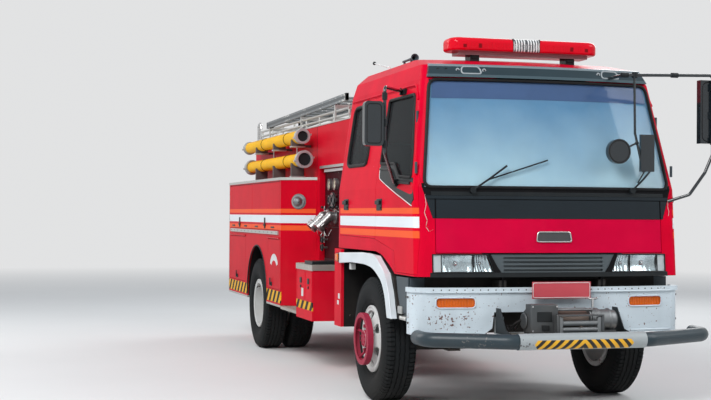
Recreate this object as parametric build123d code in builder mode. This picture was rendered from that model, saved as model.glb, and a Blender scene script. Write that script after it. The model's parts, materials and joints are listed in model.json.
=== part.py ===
from build123d import *
import os

os.makedirs("parts", exist_ok=True)

# Layout: millimetres, ground at Z = 0, the front faces -Y, the driver sits at -X
wheelbase = 4630
front_overhang = 1700
rear_overhang = 1800
rear_step_depth = 60
bar_radius = 62
front_axle_y = -(wheelbase + rear_overhang + rear_step_depth - front_overhang - bar_radius) / 2
rear_axle_y = front_axle_y + wheelbase
body_rear_y = rear_axle_y + rear_overhang
bar_y = front_axle_y - front_overhang

# Tyres, rims and axles
tyre_radius = 524
tyre_half_width = 139
bead_radius = 256
bead_half_width = 100
flange_radius = 283
flange_width = 12
barrel_thickness = 16
front_wheel_x = 1037
rear_outer_x = 1059
twin_spacing = 318
rear_inner_x = rear_outer_x - twin_spacing
kingpin_x = 860
kingpin_radius = 20
spindle_radius = 35
rear_spindle_radius = 45
running_gap = 0.05

# Frame rails, springs and power unit
rail_x = 425
rail_width = 75
rail_bottom = 660
rail_top = 900
rail_web = 10
spring_width = 72
spring_thickness = 55

# Cab hull, side positions measured from the front axle
cab_bottom = 1100
cab_belt = 1800
cab_drip = 2668
cab_shoulder = 2790
cab_top = 2870
cab_wall = 35
cab_corner = 80
cab_half = 1130
cab_sections = (
    # height, half width, front middle, front side, rear
    (cab_bottom, cab_half, -1205, -1150, 1230),
    (cab_belt, 1128, -1170, -1092, 1230),
    (cab_drip, 1001, -958, -883, 1225),
    (cab_shoulder, 968, -880, -800, 1195),
    (cab_top, 890, -520, -420, 1110),
)
door_gap = 6
cab_hinge_y = front_axle_y - 1150
cab_hinge_z = 1050
glass_outer = 10
glass_thickness = 8

# Locker body
body_half = 1200
body_floor = 580
body_top = 1950
locker_front_y = front_axle_y + 3350
bay_rear_y = front_axle_y + 3120
bay_front_y = front_axle_y + 1450
bay_half = 790
upper_half = 850
upper_bottom = 2067
upper_top = 2530
arch_radius = 564
arch_centre_z = 649
locker_depth = 480
tunnel_half = 570
door_panel = 25
trim_height = 30

# Bumper and front bar
bumper_half = 1160
bumper_bottom = 650
bumper_top = 1017
bumper_wall = 35
bar_z = 640
bar_right_end = -1130
bar_left_end = 1225
bar_tube_radius = bar_radius - 6
sleeve_half = 520
tray_half = 480
tray_top = 660
beam_size = 60


def block(x_limits, y_limits, z_limits, mode=Mode.ADD):
    """Add or cut a block given by its limits along the three axes."""
    middle = [(limits[0] + limits[1]) / 2 for limits in (x_limits, y_limits, z_limits)]
    size = [abs(limits[1] - limits[0]) for limits in (x_limits, y_limits, z_limits)]
    with Locations(tuple(middle)):
        Box(size[0], size[1], size[2], mode=mode)


def side_prism(points, x_limits, mode=Mode.ADD, inset=0):
    """Extrude an outline of (y, z) points, seen from the side, across a width."""
    with BuildSketch(Plane.YZ.offset(x_limits[0])) as outline:
        with BuildLine():
            Polyline(*points, close=True)
        make_face()
        if inset:
            offset(amount=-inset, kind=Kind.INTERSECTION, mode=Mode.REPLACE)
    extrude(outline.sketch, amount=x_limits[1] - x_limits[0], mode=mode)


def plan_prism(points, z_limits, mode=Mode.ADD):
    """Extrude an outline of (x, y) points, seen from above, up a height."""
    with BuildSketch(Plane.XY.offset(z_limits[0])) as outline:
        with BuildLine():
            Polyline(*points, close=True)
        make_face()
    extrude(outline.sketch, amount=z_limits[1] - z_limits[0], mode=mode)


def front_prism(points, y_limits, mode=Mode.ADD):
    """Extrude an outline of (x, z) points, seen from the front, along the length."""
    with BuildSketch(Plane(origin=(0, y_limits[0], 0), x_dir=(1, 0, 0), z_dir=(0, -1, 0))) as outline:
        with BuildLine():
            Polyline(*points, close=True)
        make_face()
    extrude(outline.sketch, amount=y_limits[0] - y_limits[1], mode=mode)


def rod(start, end, radius, mode=Mode.ADD):
    """Add or cut a round bar between two points."""
    run = Vector(*end) - Vector(*start)
    with BuildSketch(Plane(origin=start, z_dir=run)) as outline:
        Circle(radius)
    extrude(outline.sketch, amount=run.length, mode=mode)


def ring(start, end, outer, inner, mode=Mode.ADD):
    """Add a round sleeve between two points."""
    run = Vector(*end) - Vector(*start)
    with BuildSketch(Plane(origin=start, z_dir=run)) as outline:
        Circle(outer)
        Circle(inner, mode=Mode.SUBTRACT)
    extrude(outline.sketch, amount=run.length, mode=mode)


def lathe(points, y, z, mode=Mode.ADD):
    """Turn an outline of (x, radius) points about a cross axle line."""
    with BuildSketch(Plane(origin=(0, y, z), x_dir=(1, 0, 0), z_dir=(0, -1, 0))) as outline:
        with BuildLine():
            Polyline(*points, close=True)
        make_face()
    revolve(outline.sketch, axis=Axis((0, y, z), (1, 0, 0)), mode=mode)


def cab_row(height):
    """Blend the cab section table at a height between its rows."""
    for low, high in zip(cab_sections, cab_sections[1:]):
        if height <= high[0]:
            break
    share = (height - low[0]) / (high[0] - low[0])
    return [a + (b - a) * share for a, b in zip(low, high)]


def cab_loft(inset, top, mode=Mode.ADD):
    """Raise the cab's rounded plan outline, moved in by an inset, up to a height."""
    outlines = []
    heights = [row[0] for row in cab_sections[:-1] if row[0] < top - 1] + [top]
    for height in heights:
        _, half, middle, side, rear = cab_row(height)
        half, rear = half - inset, front_axle_y + rear - inset
        middle, side = front_axle_y + middle + inset, front_axle_y + side + inset
        turn = cab_corner * 0.293
        with BuildSketch(Plane.XY.offset(height)) as outline:
            with BuildLine():
                ThreePointArc((cab_corner - half, side), (0, middle), (half - cab_corner, side))
                ThreePointArc((half - cab_corner, side), (half - turn, side + turn),
                              (half, side + cab_corner))
                Line((half, side + cab_corner), (half, rear - cab_corner))
                ThreePointArc((half, rear - cab_corner), (half - turn, rear - turn),
                              (half - cab_corner, rear))
                Line((half - cab_corner, rear), (cab_corner - half, rear))
                ThreePointArc((cab_corner - half, rear), (turn - half, rear - turn),
                              (-half, rear - cab_corner))
                Line((-half, rear - cab_corner), (-half, side + cab_corner))
                ThreePointArc((-half, side + cab_corner), (turn - half, side + turn),
                              (cab_corner - half, side))
            make_face()
        outlines.append(outline.sketch)
    loft(outlines, ruled=True, mode=mode)


def from_axle(points):
    """Move side-view points measured from the front axle to their place."""
    return [(front_axle_y + y, z) for y, z in points]


# Ladder frame with cross members, spring hangers, the fuel tank and the air tanks
frame_front_y = front_axle_y - 1080
frame_rear_y = body_rear_y - 150
tank_x = 490
with BuildPart() as chassis_frame:
    for side in (-1, 1):
        outer, inner = side * (rail_x + rail_width / 2), side * (rail_x - rail_width / 2)
        block((outer, inner), (frame_front_y, frame_rear_y), (rail_bottom, rail_top))
        block((outer - side * rail_web, inner - side), (frame_front_y - 1, frame_rear_y + 1),
              (rail_bottom + rail_web, rail_top - rail_web), mode=Mode.SUBTRACT)
    for setback in (-1040, 1400, 2400, 3900, 5300, 6100):
        member_y = front_axle_y + setback
        block((rail_web - rail_x - rail_width / 2, rail_x + rail_width / 2 - rail_web),
              (member_y - 40, member_y + 40), (rail_top - 90, rail_top - rail_web))
    for side in (-1, 1):
        for setback in (-690, 690):
            block((side * (rail_x - 30), side * (rail_x + 30)),
                  (front_axle_y + setback - 30, front_axle_y + setback + 30), (600, rail_bottom))
        for setback in (-740, 740):
            block((side * (rail_x - 30), side * (rail_x + 30)),
                  (rear_axle_y + setback - 30, rear_axle_y + setback + 30), (610, rail_bottom))
    for side in (-1, 1):
        for inner, outer in ((rail_x - 30, rail_x - 10), (rail_x + 10, rail_x + 30)):
            block((side * inner, side * outer), (cab_hinge_y - 22, frame_front_y + 60),
                  (rail_top - 20, cab_hinge_z + 22))
        rod((side * (rail_x - 30), cab_hinge_y, cab_hinge_z),
            (side * (rail_x + 30), cab_hinge_y, cab_hinge_z), 12)
        block((side * (rail_x - 35), side * (rail_x + 35)), (front_axle_y + 1050, front_axle_y + 1120),
              (rail_top, 1262))
        block((side * (rail_x - 35), side * (rail_x + 35)), (frame_rear_y, body_rear_y), (700, 860))
    tank_limits = (front_axle_y + 1240, front_axle_y + 1840)
    block((tank_x, 1010), tank_limits, (500, 880))
    for height in (690, 800):
        rod((-620, tank_limits[0], height + 20), (-620, tank_limits[1], height + 20), 50)
    for bracket_y in (tank_limits[0] + 100, tank_limits[1] - 100):
        block((rail_x, tank_x), (bracket_y - 20, bracket_y + 20), (rail_bottom + 20, rail_top - 60))
        block((-620, -rail_x), (bracket_y - 20, bracket_y + 20), (rail_bottom + 20, rail_top - 60))
    block((-body_half + 30, body_half - 30), (body_rear_y, body_rear_y + rear_step_depth), (600, 690))
    block((10 - tunnel_half, tunnel_half - 10), (body_rear_y - 12, body_rear_y), (640, 880))
chassis_frame.part.label = "chassis_frame"
export_step(chassis_frame.part, "parts/chassis_frame.step")

# Engine and gearbox as one plain mass between the rails
with BuildPart() as engine_block:
    block((-300, 300), (front_axle_y - 250, front_axle_y + 700), (690, 1215))
    block((-190, 190), (front_axle_y + 700, front_axle_y + 1300), (640, 800))
engine_block.part.label = "engine_block"
export_step(engine_block.part, "parts/engine_block.step")

# Axles, springs and shaft
eye_half = 60
eye_radius = 48
beam_end_x = kingpin_x - 78
with BuildPart() as running_gear:
    beam_top = tyre_radius - 9
    block((-beam_end_x, beam_end_x), (front_axle_y - 55, front_axle_y + 55),
          (beam_top - 90, beam_top))
    for side in (-1, 1):
        block((side * (kingpin_x - 90), side * kingpin_x), (front_axle_y - 40, front_axle_y + 40),
              (tyre_radius - eye_half, tyre_radius + eye_half))
        rod((side * kingpin_x, front_axle_y, tyre_radius - eye_half),
            (side * kingpin_x, front_axle_y, tyre_radius + eye_half), eye_radius)
        rod((side * kingpin_x, front_axle_y, tyre_radius - eye_half - 1),
            (side * kingpin_x, front_axle_y, tyre_radius + eye_half + 1),
            kingpin_radius + running_gap, mode=Mode.SUBTRACT)
        spring = from_axle(((-660, 600), (-660, 655), (0, beam_top + spring_thickness), (660, 655),
                            (660, 600), (0, beam_top)))
        side_prism(spring, (side * rail_x - spring_width / 2, side * rail_x + spring_width / 2))
    rod((-560, rear_axle_y, tyre_radius), (560, rear_axle_y, tyre_radius), 75)
    with Locations((0, rear_axle_y, tyre_radius)):
        Sphere(205)
    pad_top = tyre_radius + 75
    for side in (-1, 1):
        rod((side * 560, rear_axle_y, tyre_radius), (side * 1000, rear_axle_y, tyre_radius),
            rear_spindle_radius)
        block((side * rail_x - 45, side * rail_x + 45), (rear_axle_y - 70, rear_axle_y + 70),
              (tyre_radius, pad_top))
        block((side * rail_x - spring_width / 2, side * rail_x + spring_width / 2),
              (rear_axle_y - 710, rear_axle_y + 710), (pad_top, pad_top + 50))
    rod((0, front_axle_y + 1310, 720), (0, rear_axle_y - 150, 560), 45)
running_gear.part.label = "running_gear"
export_step(running_gear.part, "parts/running_gear.step")

# Steering knuckles with their pins and spindles
for side_name, side in (("right", -1), ("left", 1)):
    with BuildPart() as knuckle:
        for low in (tyre_radius - eye_half - 40, tyre_radius + eye_half + 5):
            block((side * (kingpin_x - 45), side * (kingpin_x + 80)),
                  (front_axle_y - 50, front_axle_y + 50), (low, low + 35))
        rod((side * kingpin_x, front_axle_y, tyre_radius - eye_half - 20),
            (side * kingpin_x, front_axle_y, tyre_radius + eye_half + 20), kingpin_radius)
        block((side * (kingpin_x + 55), side * (kingpin_x + 80)),
              (front_axle_y - 60, front_axle_y + 60),
              (tyre_radius - eye_half - 40, tyre_radius + eye_half + 40))
        rod((side * (kingpin_x + 80), front_axle_y, tyre_radius),
            (side * (front_wheel_x + 90), front_axle_y, tyre_radius), spindle_radius)
    knuckle.part.label = f"knuckle_{side_name}"
    export_step(knuckle.part, f"parts/knuckle_{side_name}.step")


def tyre(centre_x, axle_y):
    """Turn one tyre with rounded sidewalls about its axle line."""
    bead, wide = bead_half_width, tyre_half_width
    with BuildSketch(Plane(origin=(centre_x, axle_y, tyre_radius), x_dir=(1, 0, 0),
                           z_dir=(0, -1, 0))) as outline:
        with BuildLine():
            Line((-bead, bead_radius), (bead, bead_radius))
            Line((bead, bead_radius), (bead, flange_radius + 3))
            ThreePointArc((bead, flange_radius + 3), (wide, 385), (wide - 15, 500))
            Line((wide - 15, 500), (bead, tyre_radius))
            Line((bead, tyre_radius), (-bead, tyre_radius))
            Line((-bead, tyre_radius), (15 - wide, 500))
            ThreePointArc((15 - wide, 500), (-wide, 385), (-bead, flange_radius + 3))
            Line((-bead, flange_radius + 3), (-bead, bead_radius))
        make_face()
    revolve(outline.sketch, axis=Axis((0, axle_y, tyre_radius), (1, 0, 0)))


def barrel(centre_x, axle_y):
    """Turn one rim barrel with its two flanges."""
    edge = bead_half_width + flange_width
    inner = bead_radius - barrel_thickness
    lathe(((centre_x - edge, inner), (centre_x - edge, flange_radius),
           (centre_x - bead_half_width, flange_radius), (centre_x - bead_half_width, bead_radius),
           (centre_x + bead_half_width, bead_radius), (centre_x + bead_half_width, flange_radius),
           (centre_x + edge, flange_radius), (centre_x + edge, inner)), axle_y, tyre_radius)


# Front wheels: rim, disc bulging outboard with hand holes, hub, and a guard ring on stays
hub_face = 135
disc_thickness = 14
hub_radius = 100
hand_holes = 6
hand_hole_radius = 43
hand_hole_circle = 195
guard_radius = 220
guard_width = 50
guard_face = hub_face + 73
guard_stays = 5
for side_name, side in (("right", -1), ("left", 1)):
    hub_x = side * (front_wheel_x + hub_face)
    guard_x = side * (front_wheel_x + guard_face)
    with BuildPart() as front_wheel:
        barrel(side * front_wheel_x, front_axle_y)
        rim_x = side * (front_wheel_x + bead_half_width - 30)
        lathe(((rim_x, bead_radius - 8), (rim_x + side * disc_thickness, bead_radius - 8), (hub_x, 150),
               (hub_x, hub_radius - 10), (hub_x - side * disc_thickness, hub_radius - 10),
               (hub_x - side * disc_thickness, 146), (rim_x, bead_radius - 18)),
              front_axle_y, tyre_radius)
        lathe(((side * (front_wheel_x - 52), spindle_radius + running_gap),
               (side * (front_wheel_x - 52), hub_radius), (hub_x - side * 6, hub_radius),
               (hub_x - side * 6, 78), (hub_x + side * 48, 70), (hub_x + side * 48, 0),
               (side * (front_wheel_x + 95), 0),
               (side * (front_wheel_x + 95), spindle_radius + running_gap)),
              front_axle_y, tyre_radius)
        with Locations(Location((hub_x, front_axle_y, tyre_radius), (0, side * 90, 0))):
            with PolarLocations(hand_hole_circle, hand_holes):
                Cylinder(hand_hole_radius, 2 * (hub_face - bead_half_width + 40), mode=Mode.SUBTRACT)
        lathe(((guard_x - side * guard_width, guard_radius - 8), (guard_x - side * guard_width, guard_radius),
               (guard_x, guard_radius), (guard_x, guard_radius - 36),
               (guard_x - side * 6, guard_radius - 36), (guard_x - side * 6, guard_radius - 8)),
              front_axle_y, tyre_radius)
        for stay in range(guard_stays):
            reach = Vector(0, 1, 0).rotate(Axis.X, stay * 360 / guard_stays + 90)
            hub_end = Vector(hub_x - side * 8, front_axle_y, tyre_radius) + reach * 130
            guard_end = Vector(guard_x - side * guard_width / 2, front_axle_y, tyre_radius) \
                + reach * (guard_radius - 4)
            rod(tuple(hub_end), tuple(guard_end), 9)
    front_wheel.part.label = f"wheel_front_{side_name}"
    export_step(front_wheel.part, f"parts/wheel_front_{side_name}.step")
    with BuildPart() as front_tyre:
        tyre(side * front_wheel_x, front_axle_y)
    front_tyre.part.label = f"tyre_front_{side_name}"
    export_step(front_tyre.part, f"parts/tyre_front_{side_name}.step")

# Rear wheels: two rims back to back on one hub, and the twin tyres
for side_name, side in (("right", -1), ("left", 1)):
    twin_middle = side * (rear_outer_x + rear_inner_x) / 2
    with BuildPart() as rear_wheel:
        for centre in (rear_outer_x, rear_inner_x):
            barrel(side * centre, rear_axle_y)
        for toward, centre in ((1, rear_outer_x), (-1, rear_inner_x)):
            edge = side * (centre - toward * (bead_half_width + flange_width))
            face = twin_middle
            step = side * toward * 16
            lathe(((face, rear_spindle_radius + running_gap), (face, 170), (edge, bead_radius - 8),
                   (edge + step, bead_radius - 8), (face + step, 160),
                   (face + step, rear_spindle_radius + running_gap)), rear_axle_y, tyre_radius)
        hub_in, hub_out = twin_middle - side * 250, twin_middle + side * 130
        lathe(((hub_in, rear_spindle_radius + running_gap), (hub_in, 115), (hub_out, 100),
               (hub_out, 0), (side * 1004, 0), (side * 1004, rear_spindle_radius + running_gap)),
              rear_axle_y, tyre_radius)
    rear_wheel.part.label = f"wheel_rear_{side_name}"
    export_step(rear_wheel.part, f"parts/wheel_rear_{side_name}.step")
    with BuildPart() as rear_tyre:
        for centre in (rear_outer_x, rear_inner_x):
            tyre(side * centre, rear_axle_y)
    rear_tyre.part.label = f"tyre_rear_{side_name}"
    export_step(rear_tyre.part, f"parts/tyre_rear_{side_name}.step")


def bumper_plan(inset, z_limits, mode=Mode.ADD):
    """Raise the bumper's bowed plan outline, moved in by an inset."""
    half, side_y, middle_y = bumper_half - inset, -1140 + inset, -1225 + inset
    back = front_axle_y - 965 + (1 if inset else 0)
    corner = 100
    turn = corner * 0.293
    with BuildSketch(Plane.XY.offset(z_limits[0])) as outline:
        with BuildLine():
            ThreePointArc((corner - half, front_axle_y + side_y), (0, front_axle_y + middle_y),
                          (half - corner, front_axle_y + side_y))
            ThreePointArc((half - corner, front_axle_y + side_y),
                          (half - turn, front_axle_y + side_y + turn),
                          (half, front_axle_y + side_y + corner))
            Line((half, front_axle_y + side_y + corner), (half, back))
            Line((half, back), (-half, back))
            Line((-half, back), (-half, front_axle_y + side_y + corner))
            ThreePointArc((-half, front_axle_y + side_y + corner),
                          (turn - half, front_axle_y + side_y + turn),
                          (corner - half, front_axle_y + side_y))
        make_face()
    extrude(outline.sketch, amount=z_limits[1] - z_limits[0], mode=mode)


# Bumper with its top lip, lamp recesses and winch cut-out
lip_z = 980
lamp_x = (655, 970)
lamp_z = (858, 940)
with BuildPart() as bumper:
    bumper_plan(0, (lip_z, bumper_top))
    bumper_plan(12, (bumper_bottom, lip_z))
    bumper_plan(bumper_wall, (bumper_bottom - 1, bumper_top + 1), mode=Mode.SUBTRACT)
    front_prism(((-590, bumper_bottom - 1), (-520, 700), (-505, 825), (505, 825), (520, 700),
                 (590, bumper_bottom - 1)),
                (front_axle_y - 1400, front_axle_y - 1000), mode=Mode.SUBTRACT)
    for side in (-1, 1):
        block((side * lamp_x[0], side * lamp_x[1]), (front_axle_y - 1400, front_axle_y - 1000),
              lamp_z, mode=Mode.SUBTRACT)
        block((side * (rail_x - 35), side * (rail_x + 35)),
              (front_axle_y - 1190, frame_front_y), (830, rail_top - 30))
    block((-rail_x - 35, rail_x + 35), (front_axle_y - 1195, frame_front_y), (830, rail_top - 30))
bumper.part.label = "bumper"
export_step(bumper.part, "parts/bumper.step")

# Front bar: a round tube swept back at both ends, a sleeve round its middle, on two beams
with BuildPart() as bull_bar:
    with BuildLine() as bar_path:
        FilletPolyline((bar_right_end, front_axle_y - 1190, bar_z),
                       (bar_right_end, front_axle_y - 1385, bar_z),
                       (-560, bar_y, bar_z), (560, bar_y, bar_z),
                       (bar_left_end, front_axle_y - 1385, bar_z),
                       (bar_left_end, front_axle_y - 1190, bar_z), radius=140)
    with BuildSketch(Plane(origin=bar_path.line @ 0, z_dir=bar_path.line % 0)):
        Circle(bar_tube_radius)
    sweep(path=bar_path.line)
    rod((-sleeve_half, bar_y, bar_z), (sleeve_half, bar_y, bar_z), bar_radius)
    for side in (-1, 1):
        block((side * 270, side * (270 + beam_size)), (bar_y + bar_radius - 20, frame_front_y),
              (tray_top - 12 - beam_size, tray_top - 12))
    block((-tray_half, tray_half), (bar_y + bar_radius + 2, front_axle_y - 1180),
          (tray_top - 12, tray_top))
    block((-270 - beam_size - 80, 270 + beam_size + 80), (frame_front_y - 60, frame_front_y),
          (tray_top - 12 - beam_size, rail_bottom - 4))
    for side in (-1, 1):
        block((side * (rail_x - 35), side * (rail_x + 35)), (frame_front_y - 30, frame_front_y),
              (rail_bottom - 12, rail_bottom + 120))
bull_bar.part.label = "bull_bar"
export_step(bull_bar.part, "parts/bull_bar.step")

# Winch on the tray: drum, gear end, motor, control box and roller fairlead
winch_y = front_axle_y - 1440
winch_z = tray_top + 115
with BuildPart() as winch:
    rod((-170, winch_y, winch_z), (170, winch_y, winch_z), 48)
    rod((-345, winch_y, winch_z), (-170, winch_y, winch_z), 80)
    rod((170, winch_y, winch_z), (395, winch_y, winch_z), 72)
    block((-330, 380), (winch_y - 70, winch_y + 70), (tray_top, tray_top + 40))
    for end in (-230, 250):
        block((end - 40, end + 40), (winch_y - 60, winch_y + 60), (tray_top, winch_z))
    block((-150, 170), (winch_y + 75, winch_y + 145), (tray_top, tray_top + 120))
    for end in (-140, 200):
        block((end - 15, end + 15), (winch_y - 175, winch_y - 125), (tray_top, tray_top + 120))
    for low in (tray_top, tray_top + 105):
        block((-140, 200), (winch_y - 175, winch_y - 125), (low, low + 15))
winch.part.label = "winch"
export_step(winch.part, "parts/winch.step")

# White flares round the front wheels, standing out from the cab's side
flare_outer = ((930, 1225), (100, 1250), (-220, 1235), (-500, 1100), (-600, 950), (-680, 745))
flare_under = ((-662, 745), (-584, 942), (-488, 1086), (-215, 1219), (100, 1234), (930, 1210))
skirt_inner = ((-570, 745), (-500, 930), (-400, 1040), (-160, 1135), (100, 1160), (550, 1160),
               (930, 1140))
flare_x = 1190
skirt_thickness = 15
with BuildPart() as front_flares:
    for side in (-1, 1):
        side_prism(from_axle(flare_outer + flare_under),
                   (side * (cab_half + 8), side * (flare_x - skirt_thickness)))
        side_prism(from_axle(flare_outer + skirt_inner),
                   (side * (flare_x - skirt_thickness), side * flare_x))
front_flares.part.label = "front_flares"
export_step(front_flares.part, "parts/front_flares.step")

# Black liners over the front wheels, under the cab floor
liner_outer = ((930, 1208), (160, 1232), (-60, 1232), (-230, 1200), (-456, 1120), (-583, 1062),
               (-735, 745))
liner_inner = ((-715, 745), (-566, 1048), (-445, 1102), (-224, 1180), (-58, 1211), (160, 1211),
               (930, 1188))
with BuildPart() as wheel_liners:
    for side in (-1, 1):
        side_prism(from_axle(liner_outer + liner_inner), (side * 640, side * (cab_half + 8)))
        block((side * (rail_x + rail_width / 2), side * 640),
              (front_axle_y - 15, front_axle_y + 15), (rail_top - 60, rail_top - 20))
        block((side * 640, side * 660), (front_axle_y - 15, front_axle_y + 15),
              (rail_top - 60, 1220))
wheel_liners.part.label = "wheel_liners"
export_step(wheel_liners.part, "parts/wheel_liners.step")

# Entry steps between the front wheels and the bumper
entry_limits = (front_axle_y - 955, front_axle_y - 775)
with BuildPart() as entry_steps:
    for side in (-1, 1):
        block((side * 760, side * 1115), entry_limits, (775, 1085))
        block((side * 760, side * 1150), entry_limits, (750, 775))
        block((side * (rail_x + rail_width / 2), side * 760),
              (entry_limits[0] + 60, entry_limits[0] + 120), (790, 870))
entry_steps.part.label = "entry_steps"
export_step(entry_steps.part, "parts/entry_steps.step")

# Red panels behind the front wheels and side boxes between the cab and the lockers
panel_front_y = front_axle_y + 940
step_front_y = front_axle_y + 1900
step_rear_y = front_axle_y + 2580
step_top = 1020
with BuildPart() as side_boxes:
    for side in (-1, 1):
        block((side * 1140, side * 1165), (panel_front_y, front_axle_y + 1175), (546, 1262))
        block((side * 560, side * 1140), (panel_front_y, panel_front_y + 25), (546, 1262))
        block((side * (rail_x + rail_width / 2), side * 560), (panel_front_y, panel_front_y + 25),
              (rail_bottom + 40, rail_top - 40))
        block((side * 500, side * body_half), (step_front_y, step_rear_y), (520, step_top))
        block((side * (rail_x + rail_width / 2), side * 500), (step_front_y + 60, step_rear_y - 60),
              (rail_bottom + 40, rail_top - 40))
side_boxes.part.label = "side_boxes"
export_step(side_boxes.part, "parts/side_boxes.step")

# Tread plates on the side boxes and along the bay
with BuildPart() as tread_plates:
    for side in (-1, 1):
        block((side * 480, side * (body_half + 5)), (step_front_y - 10, step_rear_y + 10),
              (step_top, step_top + 55))
        block((side * 560, side * body_half), (step_rear_y, locker_front_y - 20), (545, 575))
        block((side * 500, side * 560), (step_rear_y, bay_rear_y - 140), (545, 575))
tread_plates.part.label = "tread_plates"
export_step(tread_plates.part, "parts/tread_plates.step")

# Locker body with its angled front corners, door openings and rear arch
upper_doors = ((locker_front_y + 60, front_axle_y + 4937), (front_axle_y + 4943, body_rear_y - 50))
lower_doors = ((locker_front_y + 55, front_axle_y + 4000), (front_axle_y + 5330, body_rear_y - 90))
upper_door_z = (1402, 1936)
lower_door_z = (745, 1300)
door_rebate = 25
with BuildPart() as body_shell:
    plan_prism(((-body_half, body_rear_y), (-body_half, locker_front_y), (-upper_half, bay_rear_y),
                (upper_half, bay_rear_y), (body_half, locker_front_y), (body_half, body_rear_y)),
               (body_floor, body_top))
    block((-tunnel_half, tunnel_half), (bay_rear_y - 1, body_rear_y + 1), (body_floor - 1, rail_top),
          mode=Mode.SUBTRACT)
    rod((-body_half - 1, rear_axle_y, arch_centre_z), (body_half + 1, rear_axle_y, arch_centre_z),
        arch_radius, mode=Mode.SUBTRACT)
    block((-body_half - 1, body_half + 1), (rear_axle_y - 560, rear_axle_y + 560),
          (body_floor - 1, arch_centre_z), mode=Mode.SUBTRACT)
    for side in (-1, 1):
        face, deep = side * (body_half + 1), side * (body_half - locker_depth)
        for doors, heights in ((upper_doors, upper_door_z), (lower_doors, lower_door_z)):
            for limits in doors:
                block((face, side * (body_half - door_panel)), (limits[0] - 3, limits[1] + 3),
                      (heights[0] - 3, heights[1] + 3), mode=Mode.SUBTRACT)
                block((face, deep), (limits[0] + door_rebate, limits[1] - door_rebate),
                      (heights[0] + door_rebate, heights[1] - door_rebate), mode=Mode.SUBTRACT)
body_shell.part.label = "body_shell"
export_step(body_shell.part, "parts/body_shell.step")

# Locker doors, hinged along their top edges
for side_name, side in (("right", -1), ("left", 1)):
    for name, limits, heights in (("upper_front", upper_doors[0], upper_door_z),
                                  ("upper_rear", upper_doors[1], upper_door_z),
                                  ("lower_front", lower_doors[0], lower_door_z),
                                  ("lower_rear", lower_doors[1], lower_door_z)):
        with BuildPart() as locker_door:
            block((side * (body_half - door_panel + 2), side * body_half),
                  (limits[0] + 2, limits[1] - 2), (heights[0] + 2, heights[1] - 4))
            block((side * (body_half - door_panel + 1), side * (body_half - 4)),
                  (limits[0] + 30, limits[1] - 30), (heights[0] + 30, heights[1] - 30),
                  mode=Mode.SUBTRACT)
        locker_door.part.label = f"locker_{name}_{side_name}"
        export_step(locker_door.part, f"parts/locker_{name}_{side_name}.step")

# Upper body over the bay and the lockers, with pillars and the hose bed
bed_wall = 40
with BuildPart() as upper_body:
    block((-upper_half, upper_half), (bay_rear_y - 120, body_rear_y), (body_top, upper_top))
    block((-upper_half, upper_half), (bay_front_y, bay_rear_y - 120), (upper_bottom, upper_top))
    block((bed_wall - upper_half, upper_half - bed_wall), (bay_front_y + bed_wall, body_rear_y - bed_wall),
          (upper_top - 200, upper_top + 1), mode=Mode.SUBTRACT)
    for side in (-1, 1):
        for near, far in ((bay_rear_y - 120, bay_rear_y), (bay_front_y, bay_front_y + 60)):
            block((side * bay_half, side * upper_half), (near, far), (step_top, upper_bottom))
        block((side * bay_half, side * upper_half), (bay_rear_y - 120, bay_rear_y),
              (body_floor, step_top))
upper_body.part.label = "upper_body"
export_step(upper_body.part, "parts/upper_body.step")

# Pump bay block between the pillars
with BuildPart() as pump_bay:
    block((-bay_half, bay_half), (bay_front_y, bay_rear_y - 120), (step_top + 55, upper_bottom))
    block((-bay_half, bay_half), (bay_rear_y - 120, bay_rear_y), (step_top + 55, body_top))
    block((-rail_x, rail_x), (bay_front_y + 60, bay_rear_y - 60), (rail_top, step_top + 55))
pump_bay.part.label = "pump_bay"
export_step(pump_bay.part, "parts/pump_bay.step")

# Outlets, gauges and valve wheels on both sides of the bay, and a cap on each angled panel
outlets = ((2870, 1560), (2560, 1560))
gauges = ((2730, 1893), (2500, 1893))
valve_wheels = (
    # distance behind the axle, height, rim radius, stem length
    (2520, 1730, 75, 55),
    (2690, 1730, 45, 45),
    (2890, 1310, 34, 70),
    (2890, 1225, 34, 70),
)
cap_radius = 70
cap_height = 1716
cap_depth = 32
outlet_bore = 32.5
with BuildPart() as pump_fittings:
    for side in (-1, 1):
        for setback, height in outlets:
            start = (side * bay_half, front_axle_y + setback, height)
            knee = (side * (bay_half + 60), front_axle_y + setback, height)
            end = (side * (bay_half + 190), front_axle_y + setback, height - 130)
            rod(start, knee, 48)
            rod(knee, end, 46)
            with Locations(knee):
                Sphere(50)
            rod((side * (bay_half + 150), front_axle_y + setback, height - 90), end, 60)
            rod((side * (bay_half + 158), front_axle_y + setback, height - 98), end, outlet_bore,
                mode=Mode.SUBTRACT)
        for setback, height in gauges:
            ring((side * bay_half, front_axle_y + setback, height),
                 (side * (bay_half + 35), front_axle_y + setback, height), 62, 52)
            rod((side * bay_half, front_axle_y + setback, height),
                (side * (bay_half + 22), front_axle_y + setback, height), 52)
        for setback, height, rim, stem in valve_wheels:
            rod((side * bay_half, front_axle_y + setback, height),
                (side * (bay_half + stem), front_axle_y + setback, height), rim * 0.3)
            rod((side * (bay_half + stem - 22), front_axle_y + setback, height),
                (side * (bay_half + stem), front_axle_y + setback, height), rim)
        panel_run = Vector(side * (body_half - upper_half), locker_front_y - bay_rear_y, 0)
        panel_out = Vector(side * panel_run.Y, -abs(panel_run.X), 0).normalized() * cap_depth
        cap_start = Vector(side * (body_half + upper_half) / 2, (locker_front_y + bay_rear_y) / 2,
                           cap_height)
        rod(tuple(cap_start), tuple(cap_start + panel_out), cap_radius)
pump_fittings.part.label = "pump_fittings"
export_step(pump_fittings.part, "parts/pump_fittings.step")

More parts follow.
